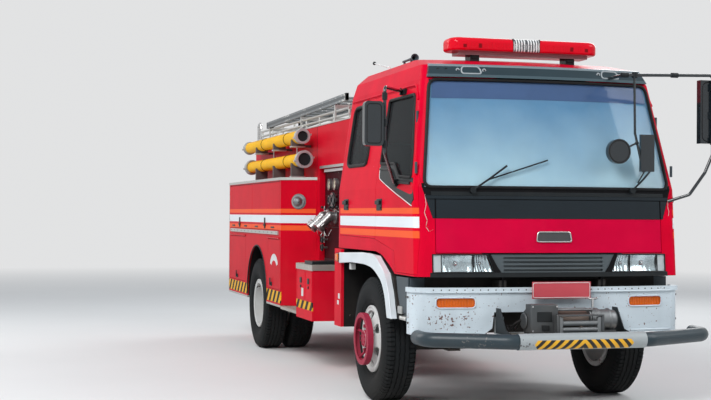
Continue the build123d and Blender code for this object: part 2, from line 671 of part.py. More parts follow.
# Bright trims round the locker body
with BuildPart() as body_trims:
    for side in (-1, 1):
        plan_prism(((side * (body_half + 8), body_rear_y), (side * (body_half + 8), locker_front_y - 6),
                    (side * upper_half, bay_rear_y - 8), (side * upper_half, bay_rear_y + 45),
                    (side * (body_half - 45), locker_front_y + 40), (side * (body_half - 45), body_rear_y)),
                   (body_top, body_top + trim_height))
        block((side * body_half, side * (body_half + 14)),
              (front_axle_y + 3450, front_axle_y + 6290), (1350, 1390))
        for limits in ((locker_front_y, rear_axle_y - 560), (rear_axle_y + 560, body_rear_y)):
            block((side * (body_half - 50), side * body_half), limits, (body_floor - 22, body_floor))
body_trims.part.label = "body_trims"
export_step(body_trims.part, "parts/body_trims.step")

# Suction hoses along the ledges, their couplings and cradles
hose_x = 1000
hose_radius = 70
hoses = (
    # start, end, height, coupling radius
    (3170, 6130, 2425, 80),
    (3080, 5980, 2172, 92),
)
with BuildPart() as suction_hoses:
    for side in (-1, 1):
        for start, end, height, _ in hoses:
            rod((side * hose_x, front_axle_y + start + 90, height),
                (side * hose_x, front_axle_y + end - 70, height), hose_radius)
suction_hoses.part.label = "suction_hoses"
export_step(suction_hoses.part, "parts/suction_hoses.step")

with BuildPart() as hose_couplings:
    for side in (-1, 1):
        for start, end, height, outer in hoses:
            for near, far, mouth in ((start, start + 90, start), (end - 70, end, end)):
                rod((side * hose_x, front_axle_y + near, height),
                    (side * hose_x, front_axle_y + far, height), outer)
                middle = (near + far) / 2
                rod((side * hose_x, front_axle_y + mouth, height),
                    (side * hose_x, front_axle_y + middle, height), outer - 22, mode=Mode.SUBTRACT)
hose_couplings.part.label = "hose_couplings"
export_step(hose_couplings.part, "parts/hose_couplings.step")

cradle_places = (3420, 4350, 5350)
saddle_half = 25
saddle_reach = 72
with BuildPart() as hose_cradles:
    for side in (-1, 1):
        for setback in cradle_places:
            band = (front_axle_y + setback - saddle_half, front_axle_y + setback + saddle_half)
            block((side * (hose_x - saddle_reach), side * (hose_x + saddle_reach)), band, (body_top, 2140))
            block((side * (hose_x - saddle_reach), side * (hose_x + saddle_reach)), band, (2315, 2400))
            block((side * upper_half, side * hose_x), band, (2315, 2340))
            for _, _, height, _ in hoses:
                rod((side * hose_x, front_axle_y + setback - 26, height),
                    (side * hose_x, front_axle_y + setback + 26, height), hose_radius,
                    mode=Mode.SUBTRACT)
hose_cradles.part.label = "hose_cradles"
export_step(hose_cradles.part, "parts/hose_cradles.step")

# Guard rails round the roof with three bearers for the ladder, which falls a little to the rear
ladder_z = 2712
ladder_fall = 0.0155
bearer_places = (2400, 3900, 5600)
rail_line_x = 825
rail_heights = (2585, 2645)
rail_limits = (front_axle_y + 1900, front_axle_y + 6150)
post_count = 8
with BuildPart() as roof_rack:
    for side in (-1, 1):
        for height in rail_heights:
            rod((side * rail_line_x, rail_limits[0], height),
                (side * rail_line_x, rail_limits[1], height), 14)
        for index in range(post_count):
            post_y = rail_limits[0] + 20 + index * (rail_limits[1] - rail_limits[0] - 40) / (post_count - 1)
            rod((side * rail_line_x, post_y, upper_top), (side * rail_line_x, post_y, rail_heights[1]), 11)
        for post_y in (body_rear_y - 190, body_rear_y - 20):
            rod((side * rail_line_x, post_y, upper_top), (side * rail_line_x, post_y, 2725), 14)
        rod((side * rail_line_x, body_rear_y - 204, 2725), (side * rail_line_x, body_rear_y - 6, 2725), 14)
    for setback in bearer_places:
        bearer = (front_axle_y + setback - 20, front_axle_y + setback + 20)
        bearer_top = ladder_z - ladder_fall * (setback - bearer_places[0] + 20)
        block((-850, 850), bearer, (bearer_top - 40, bearer_top))
        for side in (-1, 1):
            block((side * 836, side * 850), bearer, (upper_top, bearer_top - 40))
roof_rack.part.label = "roof_rack"
export_step(roof_rack.part, "parts/roof_rack.step")

# Ladder lying on the bearers
ladder_limits = (1930, 5720)
stile_places = (-845, -430)
stile_depth = 75
rung_pitch = 300
with BuildPart() as roof_ladder:
    ends = [ladder_z - ladder_fall * (limit - bearer_places[0]) for limit in ladder_limits]
    stile_outline = ((ladder_limits[0], ends[0]), (ladder_limits[1], ends[1]),
                     (ladder_limits[1], ends[1] + stile_depth), (ladder_limits[0], ends[0] + stile_depth))
    for stile in stile_places:
        side_prism(from_axle(stile_outline), (stile - 16, stile + 16))
    rungs = int((ladder_limits[1] - ladder_limits[0] - 200) / rung_pitch)
    for index in range(rungs):
        setback = ladder_limits[0] + 150 + index * rung_pitch
        rung_z = ladder_z - ladder_fall * (setback - bearer_places[0]) + stile_depth / 2
        rod((stile_places[0] + 10, front_axle_y + setback, rung_z),
            (stile_places[1] - 10, front_axle_y + setback, rung_z), 14)
roof_ladder.part.label = "roof_ladder"
export_step(roof_ladder.part, "parts/roof_ladder.step")

# Front turn lamps set in the bumper, side lamps and rear lamps
with BuildPart() as turn_lamps:
    bumper_plan(20, lamp_z)
    bumper_plan(50, (lamp_z[0] - 1, lamp_z[1] + 1), mode=Mode.SUBTRACT)
    block((-lamp_x[0], lamp_x[0]), (front_axle_y - 1400, front_axle_y - 960), lamp_z, mode=Mode.SUBTRACT)
    for side in (-1, 1):
        block((side * lamp_x[1], side * bumper_half), (front_axle_y - 1400, front_axle_y - 960), lamp_z,
              mode=Mode.SUBTRACT)

with BuildPart() as marker_lamps:
    for side in (-1, 1):
        block((side * 1165, side * 1192), (front_axle_y + 931, front_axle_y + 1020), (1150, 1222))
        block((side * 850, side * 1150), (body_rear_y, body_rear_y + 40), (760, 880))
    add(turn_lamps.part)
marker_lamps.part.label = "marker_lamps"
export_step(marker_lamps.part, "parts/marker_lamps.step")

# Cab hull: one hollow rounded shell with a stepped floor
lower_edge = ((-1500, 1000), (-1500, cab_bottom - 1), (-590, cab_bottom - 1), (-583, 1105), (-456, 1162),
              (-238, 1243), (-50, 1270), (1400, 1270), (1400, 1000))
floor_line = ((-1500, 1000), (-1500, 1140), (-625, 1140), (-480, 1200), (-260, 1283), (-60, 1310),
              (1400, 1310), (1400, 1000))
with BuildPart() as cab_void:
    cab_loft(cab_wall, cab_top - cab_wall)
    side_prism(from_axle(floor_line), (-1300, 1300), mode=Mode.SUBTRACT)

with BuildPart() as cab_hull:
    cab_loft(0, cab_top)
    side_prism(from_axle(lower_edge), (-1300, 1300), mode=Mode.SUBTRACT)
    add(cab_void.part, mode=Mode.SUBTRACT)

screen = ((-1055, 1800), (-948, 2662), (948, 2662), (1055, 1800))
lamp_outline = ((500, 1132), (1000, 1132), (1000, 1276), (556, 1276))
grille_outline = ((-440, 1128), (-478, 1180), (-530, 1276), (530, 1276), (478, 1180), (440, 1128))
front_reach = (front_axle_y - 1400, front_axle_y - 700)
lid_half = 968
lid_z = (1288, 1704)
lid_depth = 22
front_door = ((-1118, 1115), (-1114, 1374), (-1074, 1843), (-812, 2560), (-775, 2608), (-22, 2608),
              (-22, 1369), (-560, 1287), (-605, 1115))
rear_door = ((-22, 2608), (1080, 2608), (1120, 2560), (1120, 1387), (-22, 1375))
front_window = ((-968, 1875), (-925, 2070), (-770, 2530), (-735, 2550), (-95, 2550), (-80, 2535),
                (-80, 2010), (-480, 2000), (-640, 1890))
rear_window = ((345, 2020), (345, 2560), (990, 2560), (990, 2020))

with BuildPart() as lid_recess:
    cab_loft(-40, cab_drip)
    cab_loft(lid_depth + 3, cab_drip, mode=Mode.SUBTRACT)
    front_prism(((-lid_half - 6, lid_z[0] - 6), (-lid_half - 6, lid_z[1] + 6),
                 (lid_half + 6, lid_z[1] + 6), (lid_half + 6, lid_z[0] - 6)), front_reach,
                mode=Mode.INTERSECT)

door_band = ((1085, 1000), (1085, 1800), (955, 2640), (1300, 2640), (1300, 1000))
body_reach = (front_axle_y - 1500, front_axle_y + 1500)
door_openings = {}
for side in (-1, 1):
    for place, outline in (("front", front_door), ("rear", rear_door)):
        with BuildPart() as door_opening:
            side_prism(from_axle(outline), (side * 850, side * 1200))
            front_prism([(side * x, z) for x, z in door_band], body_reach, mode=Mode.INTERSECT)
        door_openings[side, place] = door_opening.part

with BuildPart() as cab_shell:
    add(cab_hull.part)
    add(lid_recess.part, mode=Mode.SUBTRACT)
    front_prism(screen, front_reach, mode=Mode.SUBTRACT)
    front_prism(grille_outline, front_reach, mode=Mode.SUBTRACT)
    for side in (-1, 1):
        front_prism([(side * x, z) for x, z in lamp_outline], front_reach, mode=Mode.SUBTRACT)
        for place in ("front", "rear"):
            add(door_openings[side, place], mode=Mode.SUBTRACT)
        lug_x = (side * (rail_x - 8), side * (rail_x + 8))
        block(lug_x, (cab_hinge_y - 20, cab_hinge_y + 20), (cab_hinge_z - 20, cab_bottom + 5))
        rod((side * (rail_x - 9), cab_hinge_y, cab_hinge_z), (side * (rail_x + 9), cab_hinge_y, cab_hinge_z),
            12 + running_gap, mode=Mode.SUBTRACT)
cab_shell.part.label = "cab_shell"
export_step(cab_shell.part, "parts/cab_shell.step")

with BuildPart() as front_lid:
    cab_loft(0, cab_drip)
    cab_loft(lid_depth, cab_drip, mode=Mode.SUBTRACT)
    front_prism(((-lid_half, lid_z[0]), (-lid_half, lid_z[1]), (lid_half, lid_z[1]),
                 (lid_half, lid_z[0])), front_reach, mode=Mode.INTERSECT)
front_lid.part.label = "front_lid"
export_step(front_lid.part, "parts/front_lid.step")

with BuildPart() as windscreen:
    cab_loft(glass_outer, cab_top)
    cab_loft(glass_outer + glass_thickness, cab_top, mode=Mode.SUBTRACT)
    front_prism(screen, front_reach, mode=Mode.INTERSECT)
windscreen.part.label = "windscreen"
export_step(windscreen.part, "parts/windscreen.step")

with BuildPart() as grille:
    cab_loft(6, cab_drip)
    cab_loft(cab_wall, cab_drip, mode=Mode.SUBTRACT)
    front_prism(grille_outline, front_reach, mode=Mode.INTERSECT)
    for slot in range(4):
        low = 1142 + slot * 32
        block((-425, 425), (front_axle_y - 1300, front_axle_y - 1168), (low, low + 18), mode=Mode.SUBTRACT)
grille.part.label = "grille"
export_step(grille.part, "parts/grille.step")

with BuildPart() as headlamps:
    cab_loft(4, cab_drip)
    cab_loft(cab_wall, cab_drip, mode=Mode.SUBTRACT)
    front_prism(((-1001, 1131), (-1001, 1277), (1001, 1277), (1001, 1131)), front_reach,
                mode=Mode.INTERSECT)
    block((-490, 490), front_reach, (1100, 1300), mode=Mode.SUBTRACT)
    for side in (-1, 1):
        front_prism([(side * x, z) for x, z in ((480, 1100), (480, 1300), (565, 1300), (556, 1276),
                                                (500, 1132), (495, 1100))], front_reach,
                    mode=Mode.SUBTRACT)
        block((side * 1000, side * 1010), front_reach, (1100, 1300), mode=Mode.SUBTRACT)
    for low in (1100, 1276):
        block((-1010, 1010), front_reach, (low, low + 32), mode=Mode.SUBTRACT)
headlamps.part.label = "headlamps"
export_step(headlamps.part, "parts/headlamps.step")

# Cab doors cut from the same hull, with their glass
for side_name, side in (("right", -1), ("left", 1)):
    for place, outline, window in (("front", front_door, front_window), ("rear", rear_door, rear_window)):
        with BuildPart() as cab_door:
            add(cab_hull.part)
            add(door_openings[side, place], mode=Mode.INTERSECT)
            side_prism(from_axle(outline), (side * 850, side * 1200), mode=Mode.INTERSECT,
                       inset=door_gap / 2)
            side_prism(from_axle(window), (side * 850, side * 1200), mode=Mode.SUBTRACT)
        cab_door.part.label = f"door_{place}_{side_name}"
        export_step(cab_door.part, f"parts/door_{place}_{side_name}.step")
        with BuildPart() as door_glass:
            cab_loft(glass_outer, cab_top)
            cab_loft(glass_outer + glass_thickness, cab_top, mode=Mode.SUBTRACT)
            side_prism(from_axle(window), (side * 850, side * 1200), mode=Mode.INTERSECT)
        door_glass.part.label = f"glass_{place}_{side_name}"
        export_step(door_glass.part, f"parts/glass_{place}_{side_name}.step")

# Roof visor across the front of the roof
with BuildPart() as visor:
    cab_loft(-25, cab_top)
    cab_loft(0, cab_top, mode=Mode.SUBTRACT)
    front_prism(((-962, 2682), (-925, 2796), (925, 2796), (962, 2682)),
                (front_axle_y - 1400, front_axle_y - 700), mode=Mode.INTERSECT)
visor.part.label = "visor"
export_step(visor.part, "parts/visor.step")

# Light bar with round ends, on a base and two feet that follow the roof
light_y = front_axle_y - 480
bar_length = 1336
bar_depth = 280
with BuildPart() as light_bar:
    block((-bar_length / 2, bar_length / 2), (light_y - bar_depth / 2, light_y + bar_depth / 2),
          (2938, 3050))
    fillet(light_bar.edges().filter_by(Axis.Z), 105)
    fillet(light_bar.faces().sort_by(Axis.Z)[-1].edges(), 42)
    fillet(light_bar.faces().sort_by(Axis.Z)[0].edges(), 22)
    block((-580, 580), (light_y - 80, light_y + 80), (2908, 2942))
    for side in (-1, 1):
        block((side * 390, side * 470), (light_y - 60, light_y + 60), (cab_top - 30, 2910))
    add(cab_hull.part, mode=Mode.SUBTRACT)
light_bar.part.label = "light_bar"
export_step(light_bar.part, "parts/light_bar.step")

# Seats: two in front and a bench behind
with BuildPart() as seats:
    for centre in (-550, 550):
        block((centre - 240, centre + 240), (front_axle_y - 420, front_axle_y + 60), (1310, 1640))
        block((centre - 230, centre + 230), (front_axle_y - 20, front_axle_y + 110), (1640, 2200))
        block((centre - 130, centre + 130), (front_axle_y + 10, front_axle_y + 90), (2200, 2380))
    block((-950, 950), (front_axle_y + 680, front_axle_y + 1160), (1310, 1680))
    block((-950, 950), (front_axle_y + 1040, front_axle_y + 1160), (1680, 2280))
seats.part.label = "seats"
export_step(seats.part, "parts/seats.step")

# Dashboard with the steering wheel on its column
wheel_centre = (-550, front_axle_y - 640, 1900)
with BuildPart() as dashboard:
    block((-1040, 1040), (front_axle_y - 1030, front_axle_y - 780), (1420, 1800))
    rod((-550, front_axle_y - 830, 1700), wheel_centre, 24)
    with Locations(Plane(origin=wheel_centre, z_dir=(0, 190, 200))):
        Torus(220, 16)
        Cylinder(50, 30)
        for turn in (0, 120, 240):
            with Locations(Location((0, 0, 0), (0, 0, turn))):
                with Locations((110, 0, 0)):
                    Box(210, 24, 10)
dashboard.part.label = "dashboard"
export_step(dashboard.part, "parts/dashboard.step")

# Mirror on the right door: arm, pole and head
with BuildPart() as mirror_right:
    arm = ((-1014, front_axle_y - 430, 2590), (-1060, front_axle_y - 500, 2596),
           (-1395, front_axle_y - 1150, 2560), (-1395, front_axle_y - 1150, 2060),
           (-1150, front_axle_y - 620, 1840), (-1113, front_axle_y - 560, 1835))
    with BuildLine() as arm_path:
        FilletPolyline(*arm, radius=40)
    with BuildSketch(Plane(origin=arm_path.line @ 0, z_dir=arm_path.line % 0)):
        Circle(13)
    sweep(path=arm_path.line)
    block((-1565, -1412), (front_axle_y - 1185, front_axle_y - 1125), (2105, 2448))
    fillet(mirror_right.edges().filter_by(Axis.Y).filter_by_position(Axis.X, -1566, -1411), 32)
    block((-1414, -1380), (front_axle_y - 1165, front_axle_y - 1135), (2260, 2310))
    add(cab_hull.part, mode=Mode.SUBTRACT)
mirror_right.part.label = "mirror_right"
export_step(mirror_right.part, "parts/mirror_right.step")

# Mirrors at the left corner: long bar with its head, and two mirrors on a drop rod
left_bar_y = front_axle_y - 1200
left_bar_x = 1400
with BuildPart() as mirror_left:
    arm = ((604, front_axle_y - 860, 2715), (604, left_bar_y, 2715), (left_bar_x, left_bar_y, 2738),
           (left_bar_x, left_bar_y, 2090), (1330, left_bar_y, 1940), (1190, left_bar_y, 1760),
           (1050, front_axle_y - 1100, 1705))
    with BuildLine() as arm_path:
        FilletPolyline(*arm, radius=30)
    with BuildSketch(Plane(origin=arm_path.line @ 0, z_dir=arm_path.line % 0)):
        Circle(13)
    sweep(path=arm_path.line)
    block((1300, 1565), (left_bar_y + 20, left_bar_y + 80), (2180, 2700))
    block((left_bar_x - 22, left_bar_x + 22), (left_bar_y, left_bar_y + 22), (2380, 2440))
    rod((690, left_bar_y, 2717), (698, left_bar_y, 2240), 10)
    rod((698, left_bar_y, 2250), (770, left_bar_y, 1950), 10)
    rod((715, left_bar_y, 2170), (552, left_bar_y, 2100), 8)
    rod((552, left_bar_y - 20, 2100), (552, left_bar_y + 25, 2100), 100)
    block((745, 865), (left_bar_y - 15, left_bar_y + 15), (1940, 2240))
    add(cab_hull.part, mode=Mode.SUBTRACT)
    add(visor.part, mode=Mode.SUBTRACT)
mirror_left.part.label = "mirror_left"
export_step(mirror_left.part, "parts/mirror_left.step")
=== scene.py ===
"""Looks of a crew-cab fire engine: finishes, glass, lamps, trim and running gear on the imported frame."""

from __future__ import annotations

import json
import logging
import math
from dataclasses import dataclass, field
from enum import Enum
from typing import Iterable, Sequence

import bmesh
import bpy
from mathutils import Matrix, Vector

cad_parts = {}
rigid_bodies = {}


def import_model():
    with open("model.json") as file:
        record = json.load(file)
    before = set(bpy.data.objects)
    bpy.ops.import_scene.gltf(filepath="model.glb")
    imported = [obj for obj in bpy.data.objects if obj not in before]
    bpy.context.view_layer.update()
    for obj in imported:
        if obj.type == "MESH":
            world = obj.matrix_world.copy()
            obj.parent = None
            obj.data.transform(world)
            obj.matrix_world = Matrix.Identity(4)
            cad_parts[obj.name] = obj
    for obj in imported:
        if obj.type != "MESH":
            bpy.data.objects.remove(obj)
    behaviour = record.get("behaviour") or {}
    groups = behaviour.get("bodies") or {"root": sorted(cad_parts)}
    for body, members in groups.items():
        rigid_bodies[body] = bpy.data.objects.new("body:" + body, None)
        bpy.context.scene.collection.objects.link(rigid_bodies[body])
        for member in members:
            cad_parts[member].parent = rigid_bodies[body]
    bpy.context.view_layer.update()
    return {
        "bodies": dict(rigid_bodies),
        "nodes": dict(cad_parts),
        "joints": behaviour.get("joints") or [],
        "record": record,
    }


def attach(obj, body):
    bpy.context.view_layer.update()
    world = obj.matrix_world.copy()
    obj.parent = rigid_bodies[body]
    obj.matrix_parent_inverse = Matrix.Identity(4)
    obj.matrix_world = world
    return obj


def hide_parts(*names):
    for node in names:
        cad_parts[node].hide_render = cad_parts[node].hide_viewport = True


LOG = logging.getLogger("fire_engine")
AXLE_Y = -2.364
WHEELBASE = 4.630
HUB_Z = 0.524
SIDES = ((-1, "right"), (1, "left"))
SPECK_FADE = 16.0
SPECK_PATCH_SCALE = 13.0
SPECK_SCALE = 60.0
SPECK_LEAN = 0.16
Point = Sequence[float]
Colour = tuple[float, float, float]


def at(x: float, y: float, z: float) -> Vector:
    """Place a point whose length is measured back from the front axle.

    Args:
        x: Distance to the vehicle's left.
        y: Distance behind the front axle.
        z: Height over the ground.

    Returns:
        The point in the frame's coordinates.
    """
    return Vector((x, AXLE_Y + y, z))


class Nodes:
    """Adds and links the nodes of one tree."""

    def __init__(self, tree: bpy.types.NodeTree) -> None:
        """Keep the tree that the nodes go into."""
        self.tree = tree

    def add(self, kind: str, inputs: dict | None = None, **settings: object) -> bpy.types.Node:
        """Add a node, set its options, and fill or link its inputs.

        Args:
            kind: The node's type name.
            inputs: Values or output sockets by input name or index.
            **settings: Properties of the node.

        Returns:
            The new node.
        """
        node = self.tree.nodes.new(kind)
        for name, value in settings.items():
            setattr(node, name, value)
        for name, value in (inputs or {}).items():
            if isinstance(value, bpy.types.NodeSocket):
                self.tree.links.new(value, node.inputs[name])
            else:
                node.inputs[name].default_value = value
        return node

    def math(self, operation: str, a: object, b: object = 0.0, clamp: bool = False) -> bpy.types.NodeSocket:
        """Add a Math node and return its output."""
        return self.add("ShaderNodeMath", {0: a, 1: b}, operation=operation, use_clamp=clamp).outputs[0]

    def mix(self, share: object, first: object, second: object) -> bpy.types.NodeSocket:
        """Mix two colours by a share and return the colour."""
        node = self.add("ShaderNodeMix", data_type="RGBA")
        for socket, value in ((node.inputs[0], share), (node.inputs[6], first), (node.inputs[7], second)):
            if isinstance(value, bpy.types.NodeSocket):
                self.tree.links.new(value, socket)
            else:
                socket.default_value = (*value, 1.0) if isinstance(value, tuple) else value
        return node.outputs[2]

    def noise(self, where: bpy.types.NodeSocket, scale: float, detail: float = 4.0,
              stretch: Point = (1, 1, 1)) -> bpy.types.NodeSocket:
        """Add a noise over stretched coordinates and return its value."""
        spread = self.add("ShaderNodeMapping", {"Vector": where, "Scale": stretch})
        return self.add("ShaderNodeTexNoise", {"Vector": spread.outputs[0], "Scale": scale,
                                               "Detail": detail}).outputs[0]

    def ramp(self, value: bpy.types.NodeSocket, low: float, high: float) -> bpy.types.NodeSocket:
        """Map a value's range from low to high onto 0 to 1, clamped."""
        node = self.add("ShaderNodeMapRange", {"Value": value, "From Min": low, "From Max": high})
        return node.outputs[0]


def new_group(name: str, inputs: Sequence[tuple[str, str, object]],
              outputs: Sequence[tuple[str, str]], kind: str = "ShaderNodeTree") -> tuple:
    """Start a node group with named inputs and outputs.

    Args:
        name: The group's name.
        inputs: Name, socket type and default of each input.
        outputs: Name and socket type of each output.
        kind: The type of the tree.

    Returns:
        The tree's node helper, its input node and its output node.
    """
    tree = bpy.data.node_groups.new(name, kind)
    for label, socket, default in inputs:
        item = tree.interface.new_socket(label, in_out="INPUT", socket_type=socket)
        if default is not None:
            item.default_value = default
    for label, socket in outputs:
        tree.interface.new_socket(label, in_out="OUTPUT", socket_type=socket)
    nodes = Nodes(tree)
    return nodes, nodes.add("NodeGroupInput"), nodes.add("NodeGroupOutput")


def weather_group() -> bpy.types.NodeTree:
    """Build the group that gives dust, chips and a fine surface height; the dust gathers towards the
    bottom, and on the bumper it is partly painted shade.

    Returns:
        The shared group.
    """
    number, vector = "NodeSocketFloat", "NodeSocketVector"
    nodes, given, result = new_group(
        "weather", (("Place", vector, None), ("Dust", number, 0.3), ("Dust Height", number, 1.0),
                    ("Chips", number, 0.1)),
        (("Dust", number), ("Chips", number), ("Height", number)))
    place = given.outputs["Place"]
    height = nodes.add("ShaderNodeSeparateXYZ", {0: place}).outputs[2]
    # How far below the dust height a point lies: the film darkens towards the bottom, as dust, and on the
    # bumper partly as painted shade.
    low = nodes.math("DIVIDE", nodes.math("SUBTRACT", given.outputs["Dust Height"], height),
                     given.outputs["Dust Height"], clamp=True)
    cloud = nodes.ramp(nodes.noise(place, 3.2, 6.0), 0.35, 0.75)
    streak = nodes.ramp(nodes.noise(place, 9.0, 5.0, (1, 1, 0.12)), 0.5, 0.8)
    film = nodes.math("ADD", nodes.math("MULTIPLY", low, nodes.math("ADD", cloud, 0.35)),
                      nodes.math("MULTIPLY", streak, 0.25))
    dust = nodes.math("MULTIPLY", film, given.outputs["Dust"], clamp=True)
    flakes = nodes.noise(place, 46.0, 7.0)
    patch = nodes.ramp(nodes.noise(place, 2.1, 3.0), 0.42, 0.72)
    edge = nodes.math("SUBTRACT", 0.80, nodes.math("MULTIPLY", given.outputs["Chips"], 0.42))
    share = nodes.math("ADD", nodes.math("MULTIPLY", flakes, 0.8), nodes.math("MULTIPLY", patch, 0.22))
    chips = nodes.ramp(nodes.math("SUBTRACT", share, edge), 0.0, 0.02)
    grain = nodes.math("ADD", nodes.noise(place, 180.0, 2.0),
                       nodes.math("MULTIPLY", nodes.noise(place, 6.0, 2.0), 2.0))
    nodes.tree.links.new(dust, result.inputs["Dust"])
    nodes.tree.links.new(chips, result.inputs["Chips"])
    nodes.tree.links.new(grain, result.inputs["Height"])
    return nodes.tree


def slanted_group() -> bpy.types.NodeTree:
    """Build the group that gives slanted warning bands along a run.

    Returns:
        The shared group.
    """
    number = "NodeSocketFloat"
    nodes, given, result = new_group(
        "slanted bands", (("Along", number, 0.0), ("Up", number, 0.0), ("Pitch", number, 0.12),
                          ("Slant", number, 1.0)), (("Band", number),))
    run = nodes.math("ADD", given.outputs["Along"],
                     nodes.math("MULTIPLY", given.outputs["Up"], given.outputs["Slant"]))
    wave = nodes.math("FRACT", nodes.math("DIVIDE", run, given.outputs["Pitch"]))
    band = nodes.math("GREATER_THAN", wave, 0.5)
    nodes.tree.links.new(band, result.inputs["Band"])
    return nodes.tree


class Pattern(Enum):
    """How a marking fills its region."""

    PLAIN = "plain"
    SLANTED_Y = "slanted along the side"
    SLANTED_X = "slanted across the front"
    SPECKS = "small chips"


@dataclass(frozen=True)
class Marking:
    """A coloured region of a painted surface, bounded by planes in (|x|, y, z)."""

    colour: Colour
    planes: tuple[tuple[float, float, float, float], ...]
    pattern: Pattern = Pattern.PLAIN
    second: Colour = (0.012, 0.012, 0.012)
    pitch: float = 0.19
    slant: float = 1.0
    one_side: int = 0


def between(low: float, high: float, axis: int) -> tuple[tuple[float, ...], ...]:
    """Return the two planes that bound a marking between two values of one axis."""
    unit = [0.0, 0.0, 0.0]
    unit[axis] = 1.0
    return ((*unit, low), (*[-part for part in unit], -high))


@dataclass(frozen=True)
class Finish:
    """A painted, plastic or metal finish with dust, chips and markings, where the bumper's dust is partly
    painted shade and the visor's markings are painted reflection.
    """

    name: str
    colour: Colour
    slot: str
    roughness: float = 0.35
    metallic: float = 0.0
    coat: float = 0.0
    sheen: float = 0.0
    specular: float = 0.5
    dust: float = 0.25
    dust_height: float = 1.3
    dust_and_shade_colour: Colour = (0.23, 0.19, 0.15)
    chips: float = 0.0
    chip_colour: Colour = (0.10, 0.035, 0.015)
    bump: float = 0.02
    variation: float = 0.12
    scale: float = 1.0
    markings: tuple[Marking, ...] = ()

    def material(self) -> bpy.types.Material:
        """Build the material once and return it."""
        found = bpy.data.materials.get(self.name)
        if found:
            return found
        made = bpy.data.materials.new(self.name)
        made.use_nodes = True
        made.diffuse_color = (*self.colour, 1.0)
        made.node_tree.nodes.clear()
        nodes = Nodes(made.node_tree)
        place = nodes.add("ShaderNodeTexCoord").outputs["Object"]
        spread = nodes.add("ShaderNodeMapping", {"Vector": place, "Scale": (self.scale,) * 3}).outputs[0]
        weather = nodes.add("ShaderNodeGroup", node_tree=bpy.data.node_groups["weather"])
        made.node_tree.links.new(spread if self.scale != 1.0 else place, weather.inputs["Place"])
        for label, value in (("Dust", self.dust), ("Dust Height", self.dust_height * self.scale),
                             ("Chips", self.chips)):
            weather.inputs[label].default_value = value
        # Random tone over the colour; on the lamp reflector it is strong and stands in for painted
        # reflections.
        tone = nodes.ramp(nodes.noise(place, 4.0 * self.scale, 5.0), 0.3, 0.7)
        deep = tuple(part * (1.0 - self.variation) for part in self.colour)
        colour = nodes.mix(tone, deep, self.colour)
        for marking in self.markings:
            colour = self._mark(nodes, place, colour, marking)
        if self.chips:
            colour = nodes.mix(weather.outputs["Chips"], colour, self.chip_colour)
        # Dust colour laid over the bottom; the bumper's bluish grey here is partly painted shade.
        colour = nodes.mix(weather.outputs["Dust"], colour, self.dust_and_shade_colour)
        rough = nodes.math("ADD", nodes.math("MULTIPLY", weather.outputs["Dust"], 0.35), self.roughness,
                           clamp=True)
        relief = nodes.add("ShaderNodeBump", {"Height": weather.outputs["Height"], "Strength": self.bump,
                                              "Distance": 0.01 / self.scale})
        shader = nodes.add("ShaderNodeBsdfPrincipled", {
            "Base Color": colour, "Roughness": rough, "Metallic": self.metallic,
            "Coat Weight": self.coat, "Coat Roughness": 0.06, "Sheen Weight": self.sheen,
            "Specular IOR Level": self.specular,
            "Normal": relief.outputs[0]})
        output = nodes.add("ShaderNodeOutputMaterial")
        made.node_tree.links.new(shader.outputs[0], output.inputs[0])
        return made

    def _mark(self, nodes: Nodes, place: bpy.types.NodeSocket, under: bpy.types.NodeSocket,
              marking: Marking) -> bpy.types.NodeSocket:
        """Lay one marking over the colour below it.

        Args:
            nodes: The material's node helper.
            place: The object coordinates.
            under: The colour below the marking.
            marking: The region and its colours.

        Returns:
            The colour with the marking on it.
        """
        parts = nodes.add("ShaderNodeSeparateXYZ", {0: place})
        across, along, up = parts.outputs
        width = nodes.math("ABSOLUTE", across)
        inside: object = 1.0
        soft = marking.pattern is Pattern.SPECKS
        if marking.one_side:
            inside = nodes.math("GREATER_THAN", nodes.math("MULTIPLY", across, marking.one_side), 0.0)
        for a, b, c, limit in marking.planes:
            total: object = None
            for factor, value in ((a, width), (b, along), (c, up)):
                if factor:
                    term = nodes.math("MULTIPLY", value, factor)
                    total = term if total is None else nodes.math("ADD", total, term)
            over = nodes.math("SUBTRACT", total, limit)
            over = nodes.math("MULTIPLY", over, SPECK_FADE,
                              clamp=True) if soft else nodes.math("GREATER_THAN", over, 0.0)
            inside = over if inside == 1.0 else nodes.math("MULTIPLY", inside, over)
        top: object = marking.colour
        if marking.pattern is Pattern.SPECKS:
            patch = nodes.ramp(nodes.noise(place, SPECK_PATCH_SCALE, 2.0), 0.42, 0.62)
            dense = nodes.math("MULTIPLY", nodes.math("MULTIPLY", inside, patch), SPECK_LEAN)
            flecks = nodes.math("ADD", nodes.noise(place, SPECK_SCALE, 5.0), dense)
            inside = nodes.math("GREATER_THAN", flecks, marking.pitch + SPECK_LEAN)
        elif marking.pattern is not Pattern.PLAIN:
            run = along if marking.pattern is Pattern.SLANTED_Y else width
            bands = nodes.add("ShaderNodeGroup", node_tree=bpy.data.node_groups["slanted bands"])
            nodes.tree.links.new(run, bands.inputs["Along"])
            nodes.tree.links.new(up, bands.inputs["Up"])
            bands.inputs["Pitch"].default_value = marking.pitch
            bands.inputs["Slant"].default_value = marking.slant
            top = nodes.mix(bands.outputs[0], marking.second, marking.colour)
        return nodes.mix(inside, under, top)


